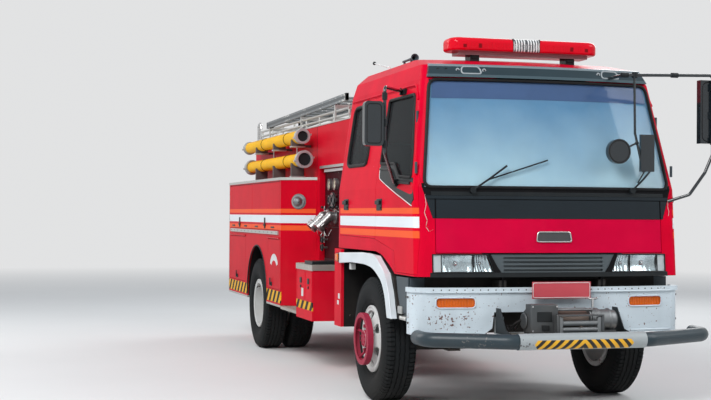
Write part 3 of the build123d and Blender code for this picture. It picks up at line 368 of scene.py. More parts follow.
@dataclass(frozen=True)
class Glass:
    """A clear or tinted glass or lens, with an optional painted reflection that is paler low down."""

    name: str
    colour: Colour
    slot: str
    roughness: float = 0.02
    index: float = 1.45
    clear: float = 1.0
    ribs: float = 0.0
    specular: float = 0.5
    painted_reflection_colour: Colour | None = None
    fade: tuple[float, float] = (1.8, 2.6)

    def material(self) -> bpy.types.Material:
        """Build the material once and return it."""
        found = bpy.data.materials.get(self.name)
        if found:
            return found
        made = bpy.data.materials.new(self.name)
        made.use_nodes = True
        made.diffuse_color = (*self.colour, 0.4)
        made.node_tree.nodes.clear()
        nodes = Nodes(made.node_tree)
        place = nodes.add("ShaderNodeTexCoord").outputs["Object"]
        smear = nodes.ramp(nodes.noise(place, 5.0, 4.0), 0.45, 0.8)
        rough = nodes.math("ADD", nodes.math("MULTIPLY", smear, 0.03), self.roughness)
        tint = nodes.mix(smear, self.colour, tuple(part * 0.9 for part in self.colour))
        # Low on the glass the colour turns to the paler painted reflection colour, fading out between the
        # fade heights.
        if self.painted_reflection_colour:
            height = nodes.add("ShaderNodeSeparateXYZ", {0: place}).outputs[2]
            cloud = nodes.math("MULTIPLY", nodes.noise(place, 1.6, 3.0), 0.5)
            share = nodes.ramp(nodes.math("ADD", height, cloud), *self.fade)
            tint = nodes.mix(share, self.painted_reflection_colour, tint)
        shader = nodes.add("ShaderNodeBsdfPrincipled", {
            "Base Color": tint, "Roughness": rough, "IOR": self.index, "Transmission Weight": self.clear,
            "Specular IOR Level": self.specular})
        if self.ribs:
            wave = nodes.add("ShaderNodeTexWave", {"Vector": place, "Scale": self.ribs},
                             bands_direction="X")
            relief = nodes.add("ShaderNodeBump", {"Height": wave.outputs[1], "Strength": 0.35,
                                                  "Distance": 0.004})
            made.node_tree.links.new(relief.outputs[0], shader.inputs["Normal"])
        output = nodes.add("ShaderNodeOutputMaterial")
        made.node_tree.links.new(shader.outputs[0], output.inputs[0])
        return made


@dataclass
class Shape:
    """Collects the solids of one piece, all of one finish, on one body."""

    name: str
    body: str
    finish: Finish | Glass
    bevel: float = 0.0
    mesh: bmesh.types.BMesh = field(default_factory=bmesh.new)

    def box(self, low: Point, high: Point, turn: Matrix | None = None) -> Shape:
        """Add a block between two corners, turned about its middle if asked."""
        middle = (Vector(low) + Vector(high)) / 2
        size = [max(abs(b - a), 1e-5) for a, b in zip(low, high)]
        place = Matrix.Translation(middle) @ (turn or Matrix.Identity(4)) @ Matrix.Diagonal((*size, 1.0))
        bmesh.ops.create_cube(self.mesh, size=1.0, matrix=place)
        return self

    def lathe(self, profile: Sequence[tuple[float, float]], centre: Point, axis: Point,
              sides: int = 40) -> Shape:
        """Turn a closed profile of (along, radius) points about an axis through a centre.

        Args:
            profile: Distances along the axis with their radii, outside first.
            centre: The point that the distances start from.
            axis: The axis direction.
            sides: How many flats the turned shape has.

        Returns:
            The shape itself.
        """
        turn = Vector(axis).normalized().to_track_quat("Z", "Y").to_matrix().to_4x4()
        place = Matrix.Translation(Vector(centre)) @ turn
        rings = []
        for along, radius in profile:
            if radius < 1e-6:
                rings.append([self.mesh.verts.new(place @ Vector((0, 0, along)))])
                continue
            rings.append([self.mesh.verts.new(place @ Vector((
                radius * math.cos(math.tau * k / sides), radius * math.sin(math.tau * k / sides), along)))
                for k in range(sides)])
        for first, second in zip(rings, rings[1:] + rings[:1]):
            for k in range(sides):
                a, b = first[k % len(first)], first[(k + 1) % len(first)]
                c, d = second[(k + 1) % len(second)], second[k % len(second)]
                corners = list(dict.fromkeys((a, b, c, d)))
                if len(corners) > 2:
                    self.mesh.faces.new(corners)
        return self

    def wavy_ring(self, centre: Point, limits: tuple[float, float], radii: tuple[float, float], steps: int,
                  swing: float) -> Shape:
        """Add a raised ring round a cross axle whose two edges run in a zigzag.

        Args:
            centre: The point on the axle that the limits start from.
            limits: The ring's two edges along the axle.
            radii: Its foot and its face.
            steps: How many zigzag steps it has, an even number.
            swing: How far each step shifts along the axle.

        Returns:
            The shape itself.
        """
        rings = []
        for k in range(steps):
            angle, shift = math.tau * k / steps, swing * (-1) ** k
            reach = Vector((0, math.cos(angle), math.sin(angle)))
            rings.append([self.mesh.verts.new(Vector(centre) + Vector((x + shift, 0, 0)) + reach * r)
                          for x, r in ((limits[0], radii[0]), (limits[0], radii[1]), (limits[1], radii[1]),
                                       (limits[1], radii[0]))])
        for here, there in zip(rings, rings[1:] + rings[:1]):
            for k in range(4):
                self.mesh.faces.new((here[k], here[(k + 1) % 4], there[(k + 1) % 4], there[k]))
        return self

    def rod(self, start: Point, end: Point, radius: float, sides: int = 20, inner: float = 0.0,
            tip: float | None = None) -> Shape:
        """Add a round bar, cone or sleeve between two points."""
        run = Vector(end) - Vector(start)
        top = radius if tip is None else tip
        if inner:
            profile = ((0, inner), (0, radius), (run.length, top), (run.length, inner))
        else:
            profile = ((0, 0), (0, radius), (run.length, top), (run.length, 0))
        return self.lathe(profile, start, run, sides)

    def tube(self, path: Sequence[Point], radius: float, sides: int = 12, closed: bool = False) -> Shape:
        """Sweep a round section along a path of points.

        Args:
            path: The points of the centre line.
            radius: The section's radius.
            sides: How many flats the section has.
            closed: Whether the path ends where it starts.

        Returns:
            The shape itself.
        """
        points = [Vector(p) for p in path]
        count = len(points)
        rings = []
        normal = None
        for k, here in enumerate(points):
            before = points[k - 1] if k or closed else here
            after = points[(k + 1) % count] if k + 1 < count or closed else here
            run = (after - before).normalized()
            if normal is None:
                normal = run.orthogonal().normalized()
            normal = (normal - run * normal.dot(run)).normalized()
            side = run.cross(normal)
            rings.append([self.mesh.verts.new(here + radius * (
                normal * math.cos(math.tau * j / sides) + side * math.sin(math.tau * j / sides)))
                for j in range(sides)])
        pairs = list(zip(rings, rings[1:])) + ([(rings[-1], rings[0])] if closed else [])
        for first, second in pairs:
            shift = 0
            if closed and first is rings[-1]:
                shift = min(range(sides), key=lambda s: (first[0].co - second[s].co).length)
            for j in range(sides):
                self.mesh.faces.new((first[j], first[(j + 1) % sides],
                                     second[(j + 1 + shift) % sides], second[(j + shift) % sides]))
        if not closed:
            self.mesh.faces.new(rings[0][::-1])
            self.mesh.faces.new(rings[-1])
        return self

    def plate(self, outline: Sequence[Point], depth: Point) -> Shape:
        """Raise a closed outline of points by a depth vector."""
        lift = Vector(depth)
        low = [self.mesh.verts.new(Vector(p)) for p in outline]
        high = [self.mesh.verts.new(Vector(p) + lift) for p in outline]
        self.mesh.faces.new(low[::-1])
        self.mesh.faces.new(high)
        for k in range(len(low)):
            n = (k + 1) % len(low)
            self.mesh.faces.new((low[k], low[n], high[n], high[k]))
        return self

    def sheet(self, rows: Sequence[Sequence[Point]], depth: Point, closed: bool = False) -> Shape:
        """Fill between rows of points and give the sheet a depth.

        Args:
            rows: Two or more rows of the same length.
            depth: The vector from the sheet's face to its back.
            closed: Whether the rows are loops.

        Returns:
            The shape itself.
        """
        lift = Vector(depth)
        fronts = [[self.mesh.verts.new(Vector(p)) for p in row] for row in rows]
        backs = [[self.mesh.verts.new(v.co + lift) for v in row] for row in fronts]
        count, spans = len(fronts[0]), range(len(fronts) - 1)
        for k in range(count if closed else count - 1):
            n = (k + 1) % count
            for j in spans:
                self.mesh.faces.new((fronts[j][k], fronts[j][n], fronts[j + 1][n], fronts[j + 1][k]))
                self.mesh.faces.new((backs[j][n], backs[j][k], backs[j + 1][k], backs[j + 1][n]))
            self.mesh.faces.new((fronts[0][n], fronts[0][k], backs[0][k], backs[0][n]))
            self.mesh.faces.new((fronts[-1][k], fronts[-1][n], backs[-1][n], backs[-1][k]))
        if not closed:
            for k in (0, -1):
                for j in spans:
                    self.mesh.faces.new((fronts[j][k], fronts[j + 1][k], backs[j + 1][k], backs[j][k]))
        return self

    def ball(self, centre: Point, radius: float, squash: Point = (1, 1, 1)) -> Shape:
        """Add a sphere, squashed along the axes if asked."""
        place = Matrix.Translation(Vector(centre)) @ Matrix.Diagonal((*squash, 1.0))
        bmesh.ops.create_uvsphere(self.mesh, u_segments=24, v_segments=14, radius=radius, matrix=place)
        return self

    def mirrored(self) -> Shape:
        """Add a copy of everything on the other side of the vehicle."""
        copy = bmesh.ops.duplicate(self.mesh,
                                   geom=self.mesh.verts[:] + self.mesh.edges[:] + self.mesh.faces[:])
        fresh = [part for part in copy["geom"] if isinstance(part, bmesh.types.BMVert)]
        bmesh.ops.transform(self.mesh, matrix=Matrix.Diagonal((-1, 1, 1, 1)), verts=fresh)
        return self

    def place(self, *replaced: str) -> bpy.types.Object:
        """Make the piece, give it its finish and let it ride on its body.

        Args:
            *replaced: CAD nodes that the piece stands for.

        Returns:
            The piece.
        """
        bmesh.ops.remove_doubles(self.mesh, verts=self.mesh.verts[:], dist=1e-6)
        bmesh.ops.recalc_face_normals(self.mesh, faces=self.mesh.faces[:])
        data = bpy.data.meshes.new(self.name)
        self.mesh.to_mesh(data)
        self.mesh.free()
        return settle(bpy.data.objects.new(self.name, data), self.body, self.finish, self.bevel, replaced)


def settle(piece: bpy.types.Object, body: str, finish: Finish | Glass, bevel: float = 0.0,
           replaced: Iterable[str] = ()) -> bpy.types.Object:
    """Link a piece, shade it, give it a finish and let it ride.

    Args:
        piece: The mesh object.
        body: The body that it rides on.
        finish: Its finish.
        bevel: The width of its rounded edges.
        replaced: CAD nodes that it stands for.

    Returns:
        The piece.
    """
    bpy.context.scene.collection.objects.link(piece)
    piece.data.shade_smooth()
    piece.data.set_sharp_from_angle(angle=math.radians(32))
    piece.data.materials.clear()
    piece.data.materials.append(finish.material())
    if bevel:
        rounded = piece.modifiers.new("rounded edges", "BEVEL")
        rounded.width, rounded.segments = bevel, 2
        rounded.limit_method, rounded.angle_limit = "ANGLE", math.radians(40)
    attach(piece, body)
    if replaced:
        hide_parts(*replaced)
    LOG.info("%s on %s", piece.name, body)
    return piece


def blocks(name: str, finish: Finish | Glass, spans: Iterable[Sequence[float]], body: str = "chassis",
           bevel: float = 0.002, both: bool = True) -> None:
    """Make one piece of blocks.

    Args:
        name: The piece's name.
        finish: Its finish.
        spans: Two x, two y behind the front axle and two z limits for each block.
        body: The body it rides on.
        bevel: The width of its rounded edges.
        both: Whether the blocks are repeated on the other side.
    """
    shape = Shape(name, body, finish, bevel)
    for x0, x1, y0, y1, z0, z1 in spans:
        shape.box(at(x0, y0, z0), at(x1, y1, z1))
    (shape.mirrored() if both else shape).place()


class Repeat(Enum):
    """The trees that repeat a small part."""

    ROW = "row of parts"
    RING = "ring of parts"
    FIELD = "field of lugs"


def _instanced(nodes: Nodes, given: bpy.types.Node, result: bpy.types.Node, points: bpy.types.NodeSocket,
               part: bpy.types.NodeSocket, turn: bpy.types.NodeSocket) -> None:
    """Put a part on points, make it real and give it its material."""
    spread = nodes.add("GeometryNodeInstanceOnPoints",
                       {"Points": points, "Instance": part, "Rotation": turn})
    real = nodes.add("GeometryNodeRealizeInstances", {0: spread.outputs[0]})
    dressed = nodes.add("GeometryNodeSetMaterial", {"Geometry": real.outputs[0],
                                                    "Material": given.outputs["Material"]})
    nodes.tree.links.new(dressed.outputs[0], result.inputs[0])


def row_tree() -> bpy.types.NodeTree:
    """Build the tree that sets turned parts, such as bolts and rungs, in a row.

    Returns:
        The tree.
    """
    vector, number = "NodeSocketVector", "NodeSocketFloat"
    nodes, given, result = new_group(
        Repeat.ROW.value, (("Start", vector, None), ("End", vector, None), ("Count", "NodeSocketInt", 4),
                           ("Radius", number, 0.01), ("Depth", number, 0.01), ("Sides", "NodeSocketInt", 8),
                           ("Turn", "NodeSocketRotation", None), ("Material", "NodeSocketMaterial", None)),
        (("Geometry", "NodeSocketGeometry"),), "GeometryNodeTree")
    line = nodes.add("GeometryNodeMeshLine", {"Count": given.outputs["Count"],
                                              "Start Location": given.outputs["Start"],
                                              "Offset": given.outputs["End"]}, mode="END_POINTS")
    part = nodes.add("GeometryNodeMeshCylinder", {"Vertices": given.outputs["Sides"],
                                                  "Radius": given.outputs["Radius"],
                                                  "Depth": given.outputs["Depth"]})
    _instanced(nodes, given, result, line.outputs[0], part.outputs[0], given.outputs["Turn"])
    return nodes.tree


def ring_tree() -> bpy.types.NodeTree:
    """Build the tree that sets blocks, such as tread lugs and ribs, round a cross axle.

    Returns:
        The tree.
    """
    vector, number = "NodeSocketVector", "NodeSocketFloat"
    nodes, given, result = new_group(Repeat.RING.value,
                                     (("Centre", vector, None), ("Circle", number, 0.5),
                                      ("Count", "NodeSocketInt", 8), ("Size", vector, None),
                                      ("Tilt", number, 0.0), ("Phase", number, 0.0),
                                      ("Material", "NodeSocketMaterial", None)),
                                     (("Geometry", "NodeSocketGeometry"),), "GeometryNodeTree")
    points = nodes.add("GeometryNodePoints", {"Count": given.outputs["Count"]})
    index = nodes.add("GeometryNodeInputIndex").outputs[0]
    share = nodes.math("DIVIDE", nodes.math("ADD", index, given.outputs["Phase"]), given.outputs["Count"])
    angle = nodes.math("MULTIPLY", share, math.tau)
    spot = nodes.add("ShaderNodeCombineXYZ", {
        "Y": nodes.math("MULTIPLY", nodes.math("COSINE", angle), given.outputs["Circle"]),
        "Z": nodes.math("MULTIPLY", nodes.math("SINE", angle), given.outputs["Circle"])})
    where = nodes.add("ShaderNodeVectorMath", {0: spot.outputs[0], 1: given.outputs["Centre"]})
    moved = nodes.add("GeometryNodeSetPosition", {"Geometry": points.outputs[0],
                                                  "Position": where.outputs[0]})
    block = nodes.add("GeometryNodeMeshCube", {"Size": given.outputs["Size"]})
    leaned = nodes.add("GeometryNodeTransform", {
        "Geometry": block.outputs[0],
        "Rotation": nodes.add("ShaderNodeCombineXYZ", {"Z": given.outputs["Tilt"]}).outputs[0]})
    turn = nodes.add("ShaderNodeCombineXYZ", {"X": angle})
    turned = nodes.add("FunctionNodeEulerToRotation", {0: turn.outputs[0]})
    _instanced(nodes, given, result, moved.outputs[0], leaned.outputs[0], turned.outputs[0])
    return nodes.tree


def field_tree() -> bpy.types.NodeTree:
    """Build the tree that sets crossed lugs over a flat plate.

    Returns:
        The tree.
    """
    vector, number = "NodeSocketVector", "NodeSocketFloat"
    nodes, given, result = new_group(
        Repeat.FIELD.value, (("Middle", vector, None), ("Width", number, 1.0), ("Length", number, 1.0),
                             ("Columns", "NodeSocketInt", 8), ("Rows", "NodeSocketInt", 8),
                             ("Size", vector, None), ("Material", "NodeSocketMaterial", None)),
        (("Geometry", "NodeSocketGeometry"),), "GeometryNodeTree")
    grid = nodes.add("GeometryNodeMeshGrid", {
        "Size X": given.outputs["Width"], "Size Y": given.outputs["Length"],
        "Vertices X": given.outputs["Columns"], "Vertices Y": given.outputs["Rows"]})
    placed = nodes.add("GeometryNodeTransform", {"Geometry": grid.outputs[0],
                                                 "Translation": given.outputs["Middle"]})
    lug = nodes.add("GeometryNodeMeshCube", {"Size": given.outputs["Size"]})
    index = nodes.add("GeometryNodeInputIndex").outputs[0]
    row = nodes.math("FLOOR", nodes.math("DIVIDE", index, given.outputs["Rows"]))
    odd = nodes.math("MODULO", nodes.math("ADD", index, row), 2.0)
    lean = nodes.math("MULTIPLY", nodes.math("SUBTRACT", odd, 0.5), math.radians(84))
    turned = nodes.add("FunctionNodeEulerToRotation", {
        0: nodes.add("ShaderNodeCombineXYZ", {"Z": lean}).outputs[0]})
    _instanced(nodes, given, result, placed.outputs[0], lug.outputs[0], turned.outputs[0])
    return nodes.tree


def repeated(name: str, kind: Repeat, body: str, finish: Finish, runs: Sequence[dict],
             bevel: float = 0.0) -> bpy.types.Object:
    """Run a repeating tree once for each set of inputs and join the results in one piece.

    Args:
        name: The piece's name.
        kind: Which tree makes it.
        body: The body that it rides on.
        finish: Its finish.
        runs: Input values by name, one set for each run.
        bevel: The width of its rounded edges.

    Returns:
        The piece.
    """
    tree = bpy.data.node_groups[kind.value]
    joined = bmesh.new()
    for values in runs:
        carrier = bpy.data.objects.new(name + "_carrier", bpy.data.meshes.new(name + "_carrier"))
        bpy.context.scene.collection.objects.link(carrier)
        maker = carrier.modifiers.new("repeat", "NODES")
        maker.node_group = tree
        for item in tree.interface.items_tree:
            if item.item_type == "SOCKET" and item.in_out == "INPUT" and item.name in values:
                maker[item.identifier] = values[item.name]
            elif item.item_type == "SOCKET" and item.name == "Material":
                maker[item.identifier] = finish.material()
        made = bpy.data.meshes.new_from_object(carrier.evaluated_get(bpy.context.evaluated_depsgraph_get()))
        joined.from_mesh(made)
        bpy.data.objects.remove(carrier)
        bpy.data.meshes.remove(made)
    data = bpy.data.meshes.new(name)
    joined.to_mesh(data)
    joined.free()
    return settle(bpy.data.objects.new(name, data), body, finish, bevel)


def bolts(name: str, body: str, finish: Finish, rows: Sequence[tuple[Point, Point, int]], facing: Point,
          radius: float = 0.009, depth: float = 0.008, sides: int = 8) -> bpy.types.Object:
    """Set rows of bolt heads that face one way."""
    turn = Vector(facing).to_track_quat("Z", "Y").to_euler()
    return repeated(name, Repeat.ROW, body, finish, [
        {"Start": tuple(start), "End": tuple(end), "Count": count, "Radius": radius, "Depth": depth,
         "Sides": sides, "Turn": tuple(turn)} for start, end, count in rows])


def arc_points(centre: Point, radius: float, first: float, last: float, count: int,
               plane: str = "yz") -> list[Vector]:
    """Return points along an arc in one of the main planes, angles in degrees."""
    middle = Vector(centre)
    spots = []
    for k in range(count):
        angle = math.radians(first + (last - first) * k / (count - 1))
        a, b = radius * math.cos(angle), radius * math.sin(angle)
        step = {"yz": (0, a, b), "xy": (a, b, 0), "xz": (a, 0, b)}[plane]
        spots.append(middle + Vector(step))
    return spots


def rounded(corners: Sequence[Point], radius: float, steps: int = 6, closed: bool = True) -> list[Vector]:
    """Round the corners of a path.

    Args:
        corners: The path's corner points.
        radius: How far from a corner its rounding starts.
        steps: How many points each rounding gets.
        closed: Whether the path is a loop.

    Returns:
        The rounded path.
    """
    points = [Vector(p) for p in corners]
    count = len(points)
    made = []
    for k, here in enumerate(points):
        if not closed and k in (0, count - 1):
            made.append(here)
            continue
        before, after = points[k - 1], points[(k + 1) % count]
        reach = min(radius, (before - here).length * 0.45, (after - here).length * 0.45)
        start = here + (before - here).normalized() * reach
        end = here + (after - here).normalized() * reach
        for j in range(steps + 1):
            t = j / steps
            made.append(start * (1 - t) ** 2 + here * 2 * t * (1 - t) + end * t ** 2)
    return made


@dataclass(frozen=True)
class CabSkin:
    """The cab's outer surface, from the same section table as its solids."""

    rows: tuple[tuple[float, ...], ...] = (
        (1.100, 1.130, -1.205, -1.150), (1.800, 1.128, -1.170, -1.092), (2.668, 1.001, -0.958, -0.883),
        (2.790, 0.968, -0.880, -0.800), (2.870, 0.890, -0.520, -0.420))
    corner: float = 0.08

    def row(self, height: float) -> list[float]:
        """Blend the table at a height."""
        pairs = list(zip(self.rows, self.rows[1:]))
        low, high = next((pair for pair in pairs if height <= pair[1][0]), pairs[-1])
        share = (height - low[0]) / (high[0] - low[0])
        return [a + (b - a) * share for a, b in zip(low, high)]

    def side(self, sign: int, y: float, z: float, proud: float = 0.0) -> Vector:
        """Return the point of the side skin at a distance behind the axle and a height."""
        return at(sign * (self.row(z)[1] + proud), y, z)

    def front(self, x: float, z: float, proud: float = 0.0) -> Vector:
        """Return the point of the front skin at a cross distance and a height."""
        _, half, middle, side = self.row(z)
        chord, rise = half - self.corner, side - middle
        bend = (chord ** 2 + rise ** 2) / (2 * rise)
        reach = abs(x)
        if reach <= chord:
            y = middle + bend - math.sqrt(bend ** 2 - reach ** 2)
        else:
            over = min((reach - chord) / self.corner, 0.999)
            y = side + self.corner * (1 - math.sqrt(1 - over ** 2))
        return at(x, y - proud, z)

    def across(self, half: float, z: float, proud: float, steps: int) -> list[Vector]:
        """Return points of the front skin at one height, evenly from side to side."""
        return [self.front(k / steps * half, z, proud) for k in range(-steps, steps + 1)]


ORANGE: Colour = (0.84, 0.105, 0.03)
STRIPE_WHITE: Colour = (0.72, 0.77, 0.80)
WARNING_YELLOW: Colour = (0.80, 0.42, 0.02)
# Near-black for the black panel beside the lid and for black bands on the red panels.
NEAR_BLACK: Colour = (0.010, 0.010, 0.011)
RUST: Colour = (0.11, 0.028, 0.012)


def stripes(inner: float) -> tuple[Marking, ...]:
    """Return the orange, white and orange stripes outside a cross distance."""
    side = ((1.0, 0.0, 0.0, inner),)
    return (Marking(ORANGE, between(1.590, 1.636, 2) + side),
            Marking(STRIPE_WHITE, between(1.480, 1.567, 2) + side),
            Marking(ORANGE, between(1.400, 1.455, 2) + side))


CAB_RED = Finish("cab red paint", (0.66, 0.002, 0.026), "red_paint", roughness=0.3, specular=0.02,
                 dust=0.04, chips=0.06, chip_colour=(0.42, 0.30, 0.27), variation=0.16,
                 markings=(Marking(NEAR_BLACK,
                                   ((0, -1, 0, 3.38), (-1, 0, 0, -1.072), (0, 0, 1, 1.555),
                                    (0, 0, -1, -1.83), (-1, 0, 0.33, -0.478))),
                           # Black on the shell below z 1.102.
                           Marking(NEAR_BLACK, ((0, 0, -1, -1.102),)),
                           # Black on the shell between the headlamps, behind the grille.
                           Marking(NEAR_BLACK,
                                   ((0, -1, 0, 3.45), (-1, 0, 0, -0.600),
                                    *between(1.090, 1.288, 2))),
                           # Black strip across the front between the screen's top and the visor.
                           Marking(NEAR_BLACK,
                                   ((0, -1, 0, 3.30), (-1, 0, 0, -0.985), *between(2.645, 2.700, 2)))))
LID_RED = Finish("lid red paint", (0.60, 0.003, 0.040), "red_paint", roughness=0.3, specular=0.02,
                 dust=0.04, chips=0.10, chip_colour=(0.50, 0.34, 0.30), markings=(
                     Marking(NEAR_BLACK, ((0, 0, 1, 1.555), (-1, 0, 0.33, -0.478))),))
DOOR_RED = Finish("door red paint", (0.68, 0.002, 0.022), "red_paint", roughness=0.3, specular=0.02,
                  dust=0.06, chips=0.06, chip_colour=(0.50, 0.34, 0.30), markings=stripes(1.0))
BODY_RED = Finish("body red paint", (0.60, 0.003, 0.018), "red_paint", roughness=0.34, specular=0.02,
                  dust=0.08, chips=0.10, chip_colour=(0.45, 0.25, 0.20),
                  # Black on the faces inward of the side, low round the rear wheel arch.
                  markings=stripes(0.86) + (Marking(NEAR_BLACK,
                                                    ((-1, 0, 0, -1.185), (0, 0, -1, -1.24),
                                                     (0, 1, 0, 1.62), (0, -1, 0, -3.02))),
                                            Marking(WARNING_YELLOW,
                                                    between(0.600, 0.730, 2) + ((1, 0, 0, 1.19),),
                                                    Pattern.SLANTED_Y),))
BOX_RED = Finish("side box red paint", (0.68, 0.003, 0.022), "red_paint", roughness=0.35,
                 specular=0.02, dust=0.12, chips=0.16, chip_colour=(0.50, 0.42, 0.38),
                 markings=(Marking(WARNING_YELLOW,
                                   between(0.620, 0.705, 2) + ((1, 0, 0, 1.19), (0, 1, 0, -0.5)),
                                   Pattern.SLANTED_Y),
                           # Black on the faces inward of the side, forward of 0.97 behind the front axle.
                           Marking(NEAR_BLACK, ((-1, 0, 0, -1.139), (0, -1, 0, 1.396)))))
UPPER_RED = Finish("upper body red paint", (0.60, 0.003, 0.018), "red_paint", roughness=0.34, specular=0.02,
                   dust=0.06, chips=0.16, chip_colour=(0.45, 0.25, 0.20))
# The pump bay's red is darkened to a near-black maroon: painted shade in the recessed bay.
BAY_SHADE_RED = Finish("bay red darkened as painted shade", (0.045, 0.005, 0.009), "dark_red_paint", roughness=0.45,
                 specular=0.03, dust=0.2, chips=0.2, chip_colour=(0.03, 0.02, 0.02))
RING_RED = Finish("worn red hub paint", (0.36, 0.020, 0.055), "dark_red_paint", roughness=0.5,
                  specular=0.12, dust=0.12, chips=0.45, chip_colour=(0.10, 0.055, 0.05), bump=0.06)
WHITE = Finish("white paint", (0.70, 0.76, 0.80), "white_paint", roughness=0.35, coat=0.1, dust=0.25,
               chips=0.06, chip_colour=(0.25, 0.16, 0.11))
RIM_WHITE = Finish("rim white paint", (0.66, 0.67, 0.66), "white_paint", roughness=0.5, dust=0.4,
                   dust_and_shade_colour=(0.16, 0.11, 0.08), chips=0.38, chip_colour=RUST, bump=0.05)
# The bumper's bluish-grey dust below z 0.95 is partly dirt and partly painted shade on its lower part.
BUMPER_WHITE = Finish("bumper white paint with painted shade low down", (0.60, 0.68, 0.73), "white_paint", roughness=0.38,
                      coat=0.1, dust=0.5, dust_height=0.95, dust_and_shade_colour=(0.16, 0.20, 0.23),
                      chips=0.12, chip_colour=RUST, bump=0.04,
                      markings=(Marking(RUST,
                                        ((1, 0, 0, 0.66), (-1, 0, 0, -1.08),
                                         *between(0.67, 0.84, 2)), Pattern.SPECKS, pitch=0.52,
                                        one_side=-1),
                                Marking(RUST, ((1, 0, 0, 1.07), *between(0.62, 1.03, 2)),
                                        Pattern.SPECKS, pitch=0.60)))
FRAME_BLACK = Finish("frame black paint", (0.010, 0.010, 0.011), "frame_paint", roughness=0.6,
                     specular=0.2, dust=0.3, chips=0.3, chip_colour=(0.05, 0.025, 0.015), bump=0.06)
IRON = Finish("engine iron", (0.055, 0.052, 0.050), "engine_iron", roughness=0.6, metallic=0.4, dust=0.5,
              chips=0.3, chip_colour=(0.07, 0.03, 0.02), bump=0.1)
BAR_DARK = Finish("bar dark grey paint", (0.016, 0.034, 0.046), "bar_paint", roughness=0.34, specular=0.3,
                  dust=0.10, chips=0.22, chip_colour=(0.10, 0.10, 0.10), bump=0.04, markings=(
                      Marking((0.34, 0.37, 0.38), ((-1, 0, 0, -0.520),)),
                      Marking(WARNING_YELLOW, ((-1, 0, 0, -0.405), (0, -1, 0, 4.04), (0, 0, 1, 0.584),
                                               (0, 0, -1, -0.654), (-1, 0, -0.8, -0.905),
                                               (-1, 0, 0.8, 0.092)), Pattern.SLANTED_X, pitch=0.074)))
BAR_GUSSET = Finish("gusset black paint", (0.012, 0.018, 0.022), "bar_paint", roughness=0.45,
                    specular=0.2, dust=0.1, chips=0.2, chip_colour=(0.05, 0.05, 0.05), bump=0.04)
TREAD = Finish("worn tread plate", (0.52, 0.49, 0.45), "tread_metal", roughness=0.42, metallic=0.8,
               dust=0.5, chips=0.4, chip_colour=(0.20, 0.15, 0.11), bump=0.08)
ALLOY = Finish("bright trim metal", (0.56, 0.56, 0.54), "tread_metal", roughness=0.34, metallic=0.85,
               dust=0.25, chips=0.2, chip_colour=(0.25, 0.22, 0.20), bump=0.04)
LADDER_METAL = Finish("weathered ladder metal", (0.20, 0.215, 0.225), "tread_metal", roughness=0.55,
                      metallic=0.6, dust=0.35, chips=0.5, chip_colour=(0.62, 0.61, 0.58), bump=0.08)
CAST = Finish("cast winch metal", (0.20, 0.215, 0.225), "cast_metal", roughness=0.42, metallic=0.7,
              dust=0.3, chips=0.3, chip_colour=(0.05, 0.045, 0.04), bump=0.08)
CHROME = Finish("worn chrome", (0.62, 0.62, 0.62), "cast_metal", roughness=0.18, metallic=1.0, dust=0.2,
                chips=0.2, chip_colour=(0.20, 0.17, 0.15), bump=0.03)
WINCH_DARK = Finish("winch dark grey", (0.075, 0.085, 0.092), "cast_metal", roughness=0.45, metallic=0.5,
                    dust=0.3, chips=0.3, chip_colour=(0.22, 0.21, 0.20), bump=0.08)
ROPE_RUST = Finish("rusty wire rope", (0.16, 0.12, 0.10), "cast_metal", roughness=0.6, metallic=0.5,
                   dust=0.3, chips=0.4, chip_colour=RUST, bump=0.1)
HOSE_YELLOW = Finish("yellow hose rubber", (0.90, 0.50, 0.008), "hose_yellow", roughness=0.4,
                     specular=0.06, dust=0.05, chips=0.06, chip_colour=(0.35, 0.18, 0.03), bump=0.05)
BLACK = Finish("black plastic", (0.010, 0.013, 0.015), "black_plastic", roughness=0.42, specular=0.2,
               dust=0.08, bump=0.05)
PANEL_BLACK = Finish("glossy panel black", (0.008, 0.014, 0.019), "black_plastic", roughness=0.18,
                     specular=0.28, dust=0.0, bump=0.0)
MIRROR_BLACK = Finish("mirror housing black", (0.012, 0.017, 0.021), "black_plastic", roughness=0.12,
                      specular=0.5, coat=0.3, dust=0.02, bump=0.01)
RUBBER = Finish("black rubber", (0.006, 0.006, 0.007), "black_plastic", roughness=0.55, specular=0.2,
                dust=0.1, bump=0.05)
GREY = Finish("grey plastic", (0.045, 0.062, 0.075), "grey_plastic", roughness=0.45, specular=0.3,
              dust=0.15, bump=0.05, chips=0.1, chip_colour=(0.14, 0.15, 0.15))
GREY_PALE = Finish("pale grey plastic", (0.30, 0.33, 0.35), "grey_plastic", roughness=0.45, dust=0.15,
                   bump=0.05)
# The pale band above z 2.772 is a painted sky reflection on the visor's top; the band below z 2.706 is
# lighter than the rest.
VISOR_GREY_WITH_PAINTED_SKY = Finish("visor grey with painted sky reflection", (0.018, 0.036, 0.046), "grey_plastic", roughness=0.22, specular=0.25,
                    dust=0.05, bump=0.01,
                    markings=(Marking((0.16, 0.20, 0.22), ((0, 0, 1, 2.772),)),
                              Marking((0.05, 0.08, 0.095), ((0, 0, -1, -2.706),))))
GRILLE_GREY = Finish("grille dark grey", (0.060, 0.078, 0.088), "grey_plastic", roughness=0.42, dust=0.2,
                     bump=0.04)
LINING = Finish("cab lining grey", (0.20, 0.20, 0.19), "grey_plastic", roughness=0.7, dust=0.1, bump=0.08)
CREAM = Finish("cream dial face", (0.62, 0.55, 0.40), "white_paint", roughness=0.4, dust=0.3,
               dust_height=2.6)
PLATE_RED = Finish("bare number plate", (0.60, 0.06, 0.085), "red_paint", roughness=0.4, dust=0.2,
                   bump=0.03)
BADGE = Finish("bare badge grey", (0.05, 0.052, 0.055), "grey_plastic", roughness=0.35, dust=0.1)
PALE = Finish("pale panel paint", (0.70, 0.71, 0.70), "white_paint", roughness=0.45, dust=0.2, bump=0.03)
